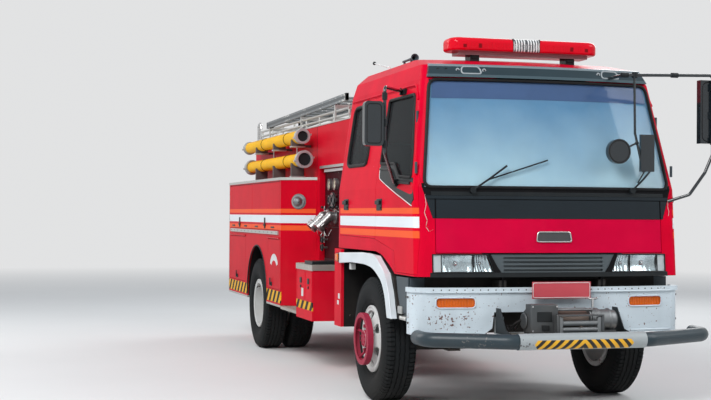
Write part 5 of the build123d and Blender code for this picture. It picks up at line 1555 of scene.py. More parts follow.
@dataclass
class Wheels:
    """Tread blocks, sidewall rings, nuts, hub caps and valve stems of all six wheels."""

    front_x: float = 1.037
    outer_x: float = 1.059
    inner_x: float = 0.741
    radius: float = 0.524
    hub_face: float = 0.135
    guard_face: float = 0.208
    tread_depth: float = 0.0125
    lug_count: int = 84
    ribs: tuple[tuple[float, float], ...] = ((-0.058, -0.025), (-0.017, 0.017), (0.025, 0.058))
    sidewall: tuple[tuple[float, float], ...] = ((0.289, 0.100), (0.385, 0.139), (0.495, 0.1205))

    def build(self) -> None:
        """Make the pieces of the front and rear wheels."""
        for sign, side in SIDES:
            self.tread(f"front_tread_{side}", f"front_wheel_{side}", sign, (self.front_x,), AXLE_Y)
            self.tread(f"rear_tread_{side}", f"rear_wheels_{side}", sign, (self.outer_x, self.inner_x),
                       AXLE_Y + WHEELBASE)
            self.front_hub(sign, side)
            self.rear_hub(sign, side)

    def carcass(self) -> list[tuple[float, float]]:
        """Return a tyre's section as (across, radius) points from bead to bead."""
        (r0, x0), (r1, x1), (r2, x2) = self.sidewall
        wall = [(x0, r0 - 0.0325)]
        for k in range(11):
            r = r0 + (r2 - r0) * k / 10
            wall.append((x0 * (r - r1) * (r - r2) / ((r0 - r1) * (r0 - r2))
                         + x1 * (r - r0) * (r - r2) / ((r1 - r0) * (r1 - r2))
                         + x2 * (r - r0) * (r - r1) / ((r2 - r0) * (r2 - r1)), r))
        wall.append((0.100, self.radius - self.tread_depth))
        return [(-x, r) for x, r in wall] + wall[::-1]

    def tread(self, name: str, body: str, sign: int, places: Sequence[float], axle_y: float) -> None:
        """Make the carcass with its sidewall rings, the wavy centre ribs and the shoulder blocks."""
        which, _, side = name.split("_")
        tyre = Shape(f"{which}_tyre_{side}", body, TYRE)
        lugs = []
        top, block = self.radius - 0.0005, math.tau * self.radius / self.lug_count * 0.78
        for place in places:
            x = sign * place
            tyre.lathe(self.carcass(), (x, axle_y, HUB_Z), (1, 0, 0), 96)
            for rib in self.ribs:
                tyre.wavy_ring((x, axle_y, HUB_Z), rib, (top - self.tread_depth - 0.002, top), 112, 0.004)
            for edge in (-1, 1):
                for radius, out in ((0.462, 0.1300), (0.335, 0.1245), (0.306, 0.1120)):
                    tyre.tube(arc_points((x + edge * out, axle_y, HUB_Z), radius, 0, 360 - 360 / 64,
                                         64), 0.0030, 6, closed=True)
                for out, circle, size, tilt in ((0.0830, top - 0.008, (0.034, 0.016, block), 0.0),
                                                (0.1085, top - 0.0177, (0.036, 0.014, block), -math.pi / 4),
                                                (0.1235, top - 0.0420, (0.032, 0.010, block), -1.25)):
                    lugs.append({"Centre": (x + edge * out, axle_y, HUB_Z), "Circle": circle,
                                 "Count": self.lug_count, "Size": size, "Tilt": edge * tilt,
                                 "Phase": 0.5 * (edge > 0)})
        tyre.place(f"tyre_{which}_{side}")
        repeated(name, Repeat.RING, body, TYRE, lugs)

    def nuts(self, sign: int, x: float, axle_y: float, rows: Sequence[tuple[float, ...]]) -> list[dict]:
        """Lay out rings of nuts on a hub's face.

        Args:
            sign: -1 on the right side and 1 on the left.
            x: The cross place of the face.
            axle_y: The axle's place along the vehicle.
            rows: Count, circle, radius, start and depth of each ring of nuts.

        Returns:
            The rows for the repeated piece.
        """
        turn = tuple(Vector((sign, 0, 0)).to_track_quat("Z", "Y").to_euler())
        made = []
        for count, circle, radius, start, depth in rows:
            for k in range(count):
                angle = math.tau * (k + 0.5) / count
                spot = (x + sign * (start + depth / 2), axle_y + circle * math.cos(angle),
                        HUB_Z + circle * math.sin(angle))
                made.append({"Start": spot, "End": spot, "Count": 1, "Radius": radius, "Depth": depth,
                             "Sides": 6, "Turn": turn})
        return made

    def front_hub(self, sign: int, side: str) -> None:
        """Make the red hub parts, guard ring, nuts and valve stem of a front wheel."""
        body, x = f"front_wheel_{side}", sign * (self.front_x + self.hub_face)
        guard = sign * (self.front_x + self.guard_face)
        red = Shape(f"front_hub_red_{side}", body, RING_RED, bevel=0.002)
        profile = ((-0.0512, 0.2118), (-0.0512, 0.2215), (-0.0015, 0.2215), (0.0008, 0.2196),
                   (0.0008, 0.1823), (-0.0083, 0.1823), (-0.0083, 0.2118))
        red.lathe(profile, (guard, AXLE_Y, HUB_Z), (sign, 0, 0), 64)
        profile = ((-0.004, 0.0), (-0.004, 0.079), (0.046, 0.0715), (0.0495, 0.066), (0.0495, 0.0))
        red.lathe(profile, (x, AXLE_Y, HUB_Z), (sign, 0, 0), 40)
        for k in range(5):
            angle = math.radians(k * 72 + 90)
            reach = Vector((0, math.cos(angle), math.sin(angle)))
            start = Vector((x - sign * 0.002, AXLE_Y, HUB_Z)) + reach * 0.130
            end = Vector((guard - sign * 0.025, AXLE_Y, HUB_Z)) + reach * 0.214
            red.rod(start, end, 0.0105, 12)
        red.place()
        rows = ((10, 0.125, 0.0165, 0.0, 0.026), (8, 0.052, 0.007, 0.049, 0.010))
        repeated(f"front_nuts_{side}", Repeat.ROW, body, RING_RED, self.nuts(sign, x, AXLE_Y, rows))
        turn = Vector((sign, 0, 0)).to_track_quat("Z", "Y").to_euler()
        rim_bolts = []
        for k in range(20):
            angle = math.tau * k / 20
            spot = (guard - sign * 0.002, AXLE_Y + 0.199 * math.cos(angle), HUB_Z + 0.199 * math.sin(angle))
            rim_bolts.append({"Start": spot, "End": spot, "Count": 1, "Radius": 0.0045, "Depth": 0.004,
                              "Sides": 8, "Turn": tuple(turn)})
        repeated(f"front_guard_holes_{side}", Repeat.ROW, body, BLACK, rim_bolts)
        self.rim_details(sign, side, body, self.front_x, AXLE_Y, "front")

    def rear_hub(self, sign: int, side: str) -> None:
        """Make the nuts, hub flange and valve stems of a rear wheel."""
        body = f"rear_wheels_{side}"
        middle = sign * (self.outer_x + self.inner_x) / 2
        axle_y = AXLE_Y + WHEELBASE
        rows = ((10, 0.138, 0.0165, 0.016, 0.030), (12, 0.072, 0.008, 0.130, 0.010))
        repeated(f"rear_nuts_{side}", Repeat.ROW, body, IRON, self.nuts(sign, middle, axle_y, rows))
        cap = Shape(f"rear_hub_cap_{side}", body, RIM_WHITE, bevel=0.002)
        profile = ((0.129, 0.0), (0.129, 0.092), (0.134, 0.092), (0.138, 0.050), (0.146, 0.046),
                   (0.146, 0.0))
        cap.lathe(profile, (middle, axle_y, HUB_Z), (sign, 0, 0), 40)
        cap.place()
        self.rim_details(sign, side, body, self.outer_x, axle_y, "rear")

    def rim_details(self, sign: int, side: str, body: str, place: float, axle_y: float, which: str) -> None:
        """Make a rim's lock ring edge and its valve stem."""
        ring = Shape(f"{which}_lock_ring_{side}", body, RIM_WHITE)
        for out, radius, thick in ((0.1115, 0.2735, 0.006), (0.104, 0.2475, 0.004)):
            points = arc_points((sign * (place + out), axle_y, HUB_Z), radius, 0, 360 - 360 / 72, 72)
            ring.tube(points, thick, 8, closed=True)
        ring.place()
        stem = Shape(f"{which}_valve_stem_{side}", body, RUBBER)
        stem.tube(((sign * (place + 0.070), axle_y + 0.130, HUB_Z + 0.190),
                   (sign * (place + 0.098), axle_y + 0.128, HUB_Z + 0.186),
                   (sign * (place + 0.110), axle_y + 0.120, HUB_Z + 0.176)), 0.006, 8)
        stem.place()


@dataclass
class WingsAndSteps:
    """Flare edges, entry panels, side lamps, tread lugs and the fittings of the side boxes."""

    flare: tuple[tuple[float, float], ...] = (
        (0.930, 1.225), (0.100, 1.250), (-0.220, 1.235), (-0.500, 1.100), (-0.600, 0.950), (-0.680, 0.745))
    flare_inner: tuple[tuple[float, float], ...] = (
        (0.930, 1.140), (0.550, 1.160), (0.100, 1.160), (-0.160, 1.135), (-0.400, 1.040), (-0.500, 0.930),
        (-0.570, 0.745))
    step_front: float = 1.900
    step_rear: float = 2.580

    def build(self) -> None:
        """Make the pieces of both sides."""
        edge = Shape("flare_edges", "chassis", WHITE)
        for row in (self.flare, self.flare_inner):
            path = rounded([at(-1.184, y, z) for y, z in row], 0.10, 8, closed=False)
            edge.tube(path, 0.0058, 8)
        edge.mirrored().place()
        shield = Shape("entry_shields", "chassis", GREY, bevel=0.004)
        shield.plate([at(-1.128, y, z) for y, z in ((-0.93, 0.800), (-0.93, 1.085), (-0.62, 1.085),
                                                    (-0.66, 0.955), (-0.74, 0.800))], (0.012, 0, 0))
        shield.mirrored().place()
        tread = Shape("entry_step_grips", "chassis", ALLOY, bevel=0.003)
        tread.box(at(-1.152, -0.945, 0.748), at(-1.100, -0.785, 0.778))
        tread.box(at(-1.140, -0.800, 0.790), at(-1.120, -0.700, 0.850))
        for k in range(6):
            tread.box(at(-1.156, -0.938 + k * 0.026, 0.755), at(-1.150, -0.926 + k * 0.026, 0.774))
        tread.mirrored().place()
        for sign, side in SIDES:
            field_rows = [{"Middle": tuple(at(sign * 0.842, 2.24, 1.0765)), "Width": 0.68,
                           "Length": 0.66, "Columns": 26, "Rows": 25, "Size": (0.020, 0.005, 0.003)},
                          {"Middle": tuple(at(sign * 0.880, 2.955, 0.5765)), "Width": 0.60,
                           "Length": 0.70, "Columns": 23, "Rows": 26, "Size": (0.020, 0.005, 0.003)}]
            repeated(f"tread_lugs_{side}", Repeat.FIELD, "chassis", TREAD, field_rows)
        self.side_boxes()
        self.side_lamps()

    def side_boxes(self) -> None:
        """Make the box doors' frames and latches, the steps' lips and the small plates beside them."""
        frame = Shape("side_box_frames", "chassis", BOX_RED, bevel=0.002)
        for y in (self.step_front + 0.012, self.step_front + 0.30, self.step_rear - 0.030):
            frame.box(at(-1.2035, y, 0.715), at(-1.199, y + 0.018, 1.012))
        for z in (0.712, 1.000):
            frame.box(at(-1.2035, self.step_front + 0.012, z),
                      at(-1.199, self.step_rear - 0.012, z + 0.016))
        frame.mirrored().place()
        latch = Shape("side_box_latches", "chassis", BLACK, bevel=0.002)
        for y in (self.step_front + 0.16, self.step_front + 0.48):
            latch.box(at(-1.207, y - 0.035, 0.880), at(-1.199, y + 0.035, 0.935))
            latch.rod(at(-1.199, y, 0.845), at(-1.208, y, 0.845), 0.014, 16)
        latch.mirrored().place()
        plate = Shape("side_box_plate", "chassis", PALE, bevel=0.001)
        plate.box(at(-1.2025, self.step_front + 0.375, 0.745), at(-1.1995, self.step_front + 0.455, 0.830))
        plate.place()
        lip = Shape("step_lips", "chassis", TREAD, bevel=0.003)
        lip.box(at(-1.2055, self.step_front - 0.011, 1.016), at(-1.195, self.step_rear + 0.011, 1.030))
        lip.mirrored().place()
        rows = [(at(s * 1.2052, self.step_front + 0.03, 1.050),
                 at(s * 1.2052, self.step_rear - 0.03, 1.050), 7) for s in (-1, 1)]
        bolts("step_rivets", "chassis", ALLOY, rows, (1, 0, 0), 0.006, 0.004)
        panel = Shape("entry_panel_marks", "chassis", PALE, bevel=0.002)
        panel.box(at(-1.1665, 0.985, 0.800), at(-1.1645, 1.045, 0.850))
        panel.box(at(-1.1665, 1.020, 0.745), at(-1.1645, 1.075, 0.785))
        panel.mirrored().place()
        lamp = Shape("arch_bracket_lamps", "chassis", PALE, bevel=0.003)
        lamp.box(at(-1.150, 0.66, 1.085), at(-1.105, 0.72, 1.140))
        lamp.mirrored().place()

    def side_lamps(self) -> None:
        """Make the amber side lamps behind the flares."""
        base = Shape("side_lamp_bases", "chassis", BLACK, bevel=0.003)
        base.box(at(-1.194, 0.928, 1.146), at(-1.163, 1.024, 1.226))
        base.mirrored().place()
        lens = Shape("side_lamp_lenses", "chassis", LENS_AMBER, bevel=0.006)
        lens.box(at(-1.206, 0.934, 1.152), at(-1.192, 1.018, 1.220))
        lens.mirrored().place()


@dataclass
class RoofAndMirrors:
    """Light bar ribs, horn and aerial on the roof, mirror faces, clamps and brackets."""

    light_y: float = -0.480
    bar_depth: float = 0.140
    centre_half: float = 0.118

    def build(self) -> None:
        """Make the pieces of the roof and the mirrors."""
        self.light_bar()
        self.roof_fittings()
        self.mirrors()

    def light_bar(self) -> None:
        """Make the lens ribs, the bright centre's ribs and the bar's feet plates."""
        lens = Shape("light_bar_ribs", "cab", BAR_RED)
        centre = Shape("light_bar_centre_ribs", "cab", CHROME)
        for face in (-1, 1):
            y = self.light_y + face * (self.bar_depth - 0.0005)
            for k in range(-27, 28):
                x = k * 0.0205
                shape = centre if abs(x) < self.centre_half else lens
                shape.rod(at(x, y, 2.962), at(x, y, 3.006), 0.0032, 8)
        lens.place()
        centre.place()
        x = -self.centre_half
        blocks("light_bar_joints", BLACK,
               [(x - 0.003, x + 0.003, self.light_y - 0.1412, self.light_y + 0.1412, 2.942, 3.0495)],
               "cab", 0.001)
        blocks("light_bar_feet", BLACK,
               [(-0.460, -0.400, self.light_y - 0.066, self.light_y + 0.066, 2.880, 2.906)], "cab", 0.003)

    def roof_fittings(self) -> None:
        """Make the horn and the aerial with its ball."""
        horn = Shape("roof_horn", "cab", GREY)
        horn.lathe(((0.0, 0.036), (0.008, 0.030), (0.030, 0.021), (0.080, 0.014), (0.200, 0.010),
                    (0.330, 0.009), (0.330, 0.0), (0.200, 0.0), (0.075, 0.004), (0.026, 0.014),
                    (0.004, 0.026)), at(-0.800, -0.080, 2.925), (0, 1, 0), 28)
        for y in (0.02, 0.21):
            horn.box(at(-0.808, y - 0.010, 2.868), at(-0.792, y + 0.010, 2.916))
        horn.place()
        aerial = Shape("roof_aerial", "cab", PALE)
        aerial.rod(at(-0.800, 0.670, 2.868), at(-0.800, 0.670, 2.925), 0.016, 16)
        aerial.tube((at(-0.800, 0.670, 2.920), at(-0.800, 0.900, 2.962), at(-0.800, 1.120, 3.003)), 0.006,
                    8)
        aerial.place()
        Shape("roof_aerial_ball", "cab", BLACK).ball(at(-0.800, 1.135, 3.006), 0.017).place()

    def mirrors(self) -> None:
        """Make the mirror faces, their clamps, the bracket and the pins."""
        face = Shape("door_mirror_face", "cab_door_front_right", MIRROR, bevel=0.001)
        loop = rounded([at(x, -1.1252, z) for x, z in ((-1.557, 2.114), (-1.420, 2.114), (-1.420, 2.439),
                                                       (-1.557, 2.439))], 0.026)
        face.plate(loop, (0, 0.0030, 0)).place()
        back = Shape("door_mirror_back_ribs", "cab_door_front_right", RUBBER)
        loop = rounded([at(x, -1.1852, z) for x, z in ((-1.545, 2.126), (-1.432, 2.126), (-1.432, 2.427),
                                                       (-1.545, 2.427))], 0.03)
        back.tube(loop, 0.0035, 6, closed=True).place()
        clamp = Shape("door_mirror_clamps", "cab_door_front_right", BLACK, bevel=0.002)
        for z in (2.285, 2.490, 2.120):
            clamp.rod(at(-1.395, -1.150, z - 0.028), at(-1.395, -1.150, z + 0.028), 0.021, 16)
        clamp.box(at(-1.040, -0.520, 2.570), at(-1.004, -0.400, 2.612))
        clamp.rod(at(-1.050, -0.472, 2.566), at(-1.050, -0.472, 2.622), 0.010, 12)
        clamp.box(at(-1.150, -0.640, 1.815), at(-1.112, -0.530, 1.868))
        clamp.place()
        face = Shape("corner_mirror_faces", "cab", MIRROR, bevel=0.001)
        corners = ((1.310, 2.190), (1.556, 2.190), (1.556, 2.690), (1.310, 2.690))
        face.plate(rounded([at(x, -1.1198, z) for x, z in corners], 0.05), (0, 0.0028, 0))
        face.rod(at(0.552, -1.1752, 2.100), at(0.552, -1.1715, 2.100), 0.092, 36)
        face.box(at(0.752, -1.1850, 1.950), at(0.858, -1.1822, 2.230)).place()
        rims = Shape("corner_mirror_rims", "cab", RUBBER)
        loop = rounded([at(x, -1.1805, z) for x, z in ((1.316, 2.196), (1.549, 2.196), (1.549, 2.684),
                                                       (1.316, 2.684))], 0.06)
        rims.tube(loop, 0.004, 6, closed=True)
        rims.tube(arc_points(at(0.552, -1.2205, 2.100), 0.088, 0, 352, 45, "xz"), 0.004, 6, closed=True)
        rims.place()
        clamp = Shape("corner_mirror_clamps", "cab", BLACK, bevel=0.002)
        for x, z in ((1.400, 2.410), (1.400, 2.640), (1.400, 2.200), (0.604, 2.715), (1.050, 2.728)):
            run = (0, 0, 0.030) if x == 1.400 else (0.030, 0, 0)
            spot = at(x, -1.200, z)
            clamp.rod(spot - Vector(run), spot + Vector(run), 0.0205, 16)
        clamp.rod(at(0.694, -1.200, 2.695), at(0.694, -1.200, 2.740), 0.024, 16)
        clamp.ball(at(0.715, -1.200, 2.170), 0.017).ball(at(0.771, -1.200, 1.950), 0.015)
        clamp.place()


@dataclass
class PumpBay:
    """Dials, levers, valve rims, outlet couplings and panel edges on both sides of the pump bay."""

    half: float = 0.790
    gauges: tuple[tuple[float, float], ...] = ((2.730, 1.893), (2.500, 1.893))
    outlets: tuple[float, ...] = (2.870, 2.560)
    levers: tuple[float, ...] = (1.80, 1.95, 2.10, 2.25, 2.40, 2.55, 2.88)
    wheels: tuple[tuple[float, float, float, float], ...] = (
        (2.520, 1.730, 0.075, 0.055), (2.690, 1.730, 0.045, 0.045), (2.890, 1.310, 0.034, 0.070),
        (2.890, 1.225, 0.034, 0.070))

    def build(self) -> None:
        """Make the pieces of the bay."""
        self.dials()
        self.controls()
        self.outlet_parts()
        self.panels()

    def dials(self) -> None:
        """Make the dial faces with their ticks and needles."""
        face = Shape("gauge_faces", "chassis", CREAM)
        marks = Shape("gauge_marks", "chassis", BLACK)
        for y, z in self.gauges:
            face.rod(at(-self.half - 0.0222, y, z), at(-self.half - 0.0236, y, z), 0.0515, 32)
            for k in range(11):
                angle = math.radians(225 - k * 27)
                turn = Matrix.Rotation(math.pi / 2 - angle, 4, "X")
                spot = at(-self.half - 0.0240, y + 0.043 * math.cos(angle), z + 0.043 * math.sin(angle))
                marks.box(spot - Vector((0.0005, 0.0012, 0.005)),
                          spot + Vector((0.0005, 0.0012, 0.005)), turn)
            marks.rod(at(-self.half - 0.0242, y, z), at(-self.half - 0.0255, y - 0.024, z + 0.024),
                      0.0016, 6)
            marks.rod(at(-self.half - 0.0236, y, z), at(-self.half - 0.0262, y, z), 0.006, 12)
        face.mirrored().place()
        marks.mirrored().place()

    def controls(self) -> None:
        """Make the levers with their slots, the control rod and the valve rims."""
        lever = Shape("bay_levers", "chassis", CHROME, bevel=0.001)
        knob = Shape("bay_lever_knobs", "chassis", BLACK)
        slot = Shape("bay_lever_slots", "chassis", BLACK, bevel=0.001)
        x = -self.half
        for y in self.levers:
            slot.box(at(x - 0.003, y - 0.012, 1.530), at(x + 0.002, y + 0.012, 1.650))
            lever.rod(at(x, y, 1.600), at(x - 0.060, y, 1.650), 0.006, 10)
            knob.ball(at(x - 0.064, y, 1.654), 0.015)
        lever.rod(at(x - 0.014, 1.62, 1.608), at(x - 0.014, 2.97, 1.608), 0.006, 10)
        lever.rod(at(x - 0.018, 2.945, 1.275), at(x - 0.018, 2.945, 1.668), 0.008, 10)
        lever.mirrored().place()
        knob.mirrored().place()
        slot.mirrored().place()
        rims = Shape("valve_wheel_rims", "chassis", BLACK)
        for y, z, rim, stem in self.wheels:
            face = x - stem
            rims.tube(arc_points(at(face + 0.008, y, z), rim, 0, 360 - 360 / 32, 32), 0.0075, 8,
                      closed=True)
            rims.rod(at(face, y, z), at(face - 0.012, y, z), rim * 0.24, 16)
            for k in range(4):
                angle = math.radians(45 + k * 90)
                reach = Vector((0, math.cos(angle), math.sin(angle)))
                rims.rod(at(face - 0.002, y, z), at(face - 0.002, y, z) + reach * rim * 0.95, 0.005, 8)
        rims.mirrored().place()

    def outlet_parts(self) -> None:
        """Make the outlets' collars, twin lugs and chains, and the bolts round their flanges."""
        collar = Shape("outlet_collars", "chassis", BAY_STEEL, bevel=0.001)
        chain = Shape("outlet_chains", "chassis", CHROME)
        for y in self.outlets:
            knee = at(-self.half - 0.060, y, 1.560)
            end = at(-self.half - 0.190, y, 1.430)
            run = (end - knee).normalized()
            for share, radius in ((0.30, 0.053), (0.62, 0.066), (0.80, 0.066), (0.97, 0.064)):
                spot = knee.lerp(end, share)
                collar.rod(spot - run * 0.006, spot + run * 0.006, radius, 36, 0.046)
            collar.rod(at(-self.half, y, 1.560), at(-self.half - 0.010, y, 1.560), 0.078, 32)
            for side in (-1, 1):
                lug = knee.lerp(end, 0.72) + Vector((0, side * 0.066, 0))
                collar.rod(lug - run * 0.018, lug + run * 0.018, 0.011, 12)
            hang = [at(-self.half - 0.085, y + 0.052, 1.515), at(-self.half - 0.100, y + 0.095, 1.400),
                    at(-self.half - 0.060, y + 0.110, 1.330), at(-self.half - 0.012, y + 0.110, 1.420)]
            chain.tube(rounded(hang, 0.06, closed=False), 0.0045, 8)
        turn = tuple(Vector((-1, 0, 0)).to_track_quat("Z", "Y").to_euler())
        collar.mirrored().place()
        chain.mirrored().place()
        runs = []
        for sign in (-1, 1):
            for y in self.outlets:
                for k in range(6):
                    angle = math.tau * k / 6
                    spot = at(sign * (self.half + 0.012), y + 0.065 * math.cos(angle),
                              1.560 + 0.065 * math.sin(angle))
                    runs.append({"Start": tuple(spot), "End": tuple(spot), "Count": 1, "Radius": 0.007,
                                 "Depth": 0.008, "Sides": 6, "Turn": turn})
        repeated("outlet_bolts", Repeat.ROW, "chassis", BAY_STEEL, runs)

    def panels(self) -> None:
        """Make the bay's panel seams, its lamp strip, its sill and the cap on each angled corner."""
        x = -self.half
        blocks("bay_panel_seams", BLACK, [(x - 0.0015, x, 1.53, 2.98, 1.778, 1.786),
                                          (x - 0.0015, x, 1.53, 2.98, 1.440, 1.448),
                                          (x - 0.0015, x, 2.380, 2.388, 1.10, 2.05)], bevel=0.0)
        blocks("bay_lamp_strip", PALE, [(x - 0.030, x, 1.60, 2.94, 2.030, 2.060)])
        blocks("bay_sill_box", BLACK, [(-1.195, -0.860, 1.93, 2.25, 1.077, 1.112),
                                       (x - 0.012, x, 1.53, 2.98, 1.077, 1.110)], bevel=0.004)
        blocks("bay_upper_edge", ALLOY, [(-0.858, -0.849, 1.462, 2.985, 2.067, 2.095)], bevel=0.001)
        rows = [(at(s * (self.half + 0.002), 1.62, z), at(s * (self.half + 0.002), 2.92, z), 9)
                for s in (-1, 1) for z in (1.465, 1.760, 2.012)]
        bolts("bay_panel_screws", "chassis", CHROME, rows, (1, 0, 0), 0.006, 0.004)
        cap = Shape("panel_round_caps", "chassis", CAST, bevel=0.001)
        start = at(-1.025, 3.235, 1.716)
        out = Vector((-0.230, -0.350, 0)).normalized()
        for near, far, radius in ((0.0, 0.008, 0.084), (0.0315, 0.038, 0.060)):
            cap.rod(start + out * near, start + out * far, radius, 40)
        cap.ball(start + out * 0.036, 0.052, (1, 1, 1))
        cap.mirrored().place()


@dataclass
class LockerBody:
    """Gutters, latches, seams, bare signs, edge guards and bolts on the locker body and upper body."""

    half: float = 1.200
    front: float = 3.350
    rear: float = 6.430
    latches: tuple[float, ...] = (4.178, 5.700)
    dashes: tuple[float, ...] = (3.770, 4.665, 5.330, 6.120)

    def build(self) -> None:
        """Make the pieces of both sides and the top."""
        self.doors()
        self.sides()
        self.bed()

    def doors(self) -> None:
        """Make the latches, handles and bare signs of the locker doors."""
        for sign, side in SIDES:
            for place, spot in zip(("front", "rear"), self.latches):
                upper = Shape(f"locker_upper_{place}_{side}_latch",
                              f"locker_door_upper_{place}_{side}", BLACK, bevel=0.002)
                upper.box(at(sign * self.half, spot - 0.020, 1.412),
                          at(sign * (self.half + 0.010), spot + 0.020, 1.535))
                upper.box(at(sign * self.half, spot - 0.045, 1.440),
                          at(sign * (self.half + 0.016), spot + 0.045, 1.462))
                upper.place()
            for place, spots in (("front", self.dashes[:2]), ("rear", self.dashes[2:])):
                grip = Shape(f"locker_upper_{place}_{side}_grips",
                             f"locker_door_upper_{place}_{side}", BLACK, bevel=0.002)
                for spot in spots:
                    grip.box(at(sign * self.half, spot - 0.085, 1.420), at(sign * (self.half + 0.004),
                                                                          spot + 0.085, 1.438))
                grip.place()
            for place, spot in (("front", 3.829), ("rear", 5.860)):
                low = Shape(f"locker_lower_{place}_{side}_latch", f"locker_door_lower_{place}_{side}",
                            BLACK, bevel=0.003)
                low.box(at(sign * self.half, spot - 0.055, 0.772),
                        at(sign * (self.half + 0.008), spot + 0.055, 0.815))
                low.rod(at(sign * self.half, spot, 0.794),
                        at(sign * (self.half + 0.020), spot, 0.794), 0.014, 14)
                low.box(at(sign * (self.half + 0.010), spot - 0.010, 0.790), at(sign * (self.half + 0.020),
                                                                               spot + 0.010, 0.862))
                low.place()
            sign_plate = Shape(f"bare_arrow_sign_{side}", f"locker_door_lower_front_{side}", PALE)
            arch = [(3.680 + reach * math.sin(math.radians(a)),
                     0.985 + rise * math.cos(math.radians(a))) for reach, rise,
                    spread in ((0.205, 0.150, range(-75, 76, 15)), (0.130, 0.075, range(75, -76, -15)))
                    for a in spread]
            outline = [at(sign * (self.half + 0.0004), y, z) for y, z in arch]
            sign_plate.plate(outline, (sign * 0.0012, 0, 0)).place()
        x = self.half
        rows = [(at(s * (x + 0.0125), 3.44, 1.312), at(s * (x + 0.0125), 3.98, 1.312), 6) for s in (-1, 1)]
        rows += [(at(s * (x + 0.0125), 5.36, 1.312), at(s * (x + 0.0125), 6.30, 1.312), 8) for s in (-1, 1)]
        bolts("gutter_rivets", "chassis", ALLOY, rows, (1, 0, 0), 0.005, 0.003)

    def sides(self) -> None:
        """Make the gutters, corner edges, arch lip, hinges and rail bolts."""
        x = -self.half
        blocks("locker_gutters", BODY_RED, [(x - 0.011, x, 3.405, 4.005, 1.303, 1.322),
                                            (x - 0.011, x, 5.325, 6.345, 1.303, 1.322)])
        blocks("locker_hinge_lines", BLACK, [(x - 0.002, x, 3.41, 6.38, 1.9365, 1.9395)], bevel=0.0)
        blocks("body_corner_edges", ALLOY, [(x - 0.003, x + 0.012, 6.414, 6.4315, 0.585, 1.945)],
               bevel=0.001)
        lip = Shape("rear_arch_lips", "chassis", BLACK)
        path = arc_points((x - 0.001, AXLE_Y + WHEELBASE, 0.649), 0.560, -2, 182, 46)
        lip.tube(path, 0.008, 8).mirrored().place()
        rows = [(at(s * (self.half + 0.0148), 3.52, 1.370), at(s * (self.half + 0.0148), 6.22, 1.370), 13)
                for s in (-1, 1)]
        bolts("side_rail_bolts", "chassis", BLACK, rows, (1, 0, 0), 0.006, 0.003)
        rows = [(at(s * (self.half + 0.009), 3.40, 1.966), at(s * (self.half + 0.009), 6.38, 1.966), 22)
                for s in (-1, 1)]
        bolts("top_trim_rivets", "chassis", ALLOY, rows, (1, 0, 0), 0.005, 0.003)

    def bed(self) -> None:
        """Make the upper body's edges, the hose bed's slats and the seams of the panels."""
        x = -0.850
        blocks("upper_body_edges", ALLOY, [(x - 0.006, x + 0.044, 1.448, 6.432, 2.529, 2.541)], bevel=0.001)
        blocks("hose_bed_slats", TREAD, [(-0.800, 0.800, 1.60 + k * 0.30, 1.66 + k * 0.30, 2.332, 2.346)
                                         for k in range(16)], bevel=0.001, both=False)
        blocks("upper_body_seams", BLACK, [(x - 0.0012, x, y, y + 0.005, 2.07 if y < 3.0 else 1.99, 2.528)
                                           for y in (3.118, 4.20, 5.30)], bevel=0.0)


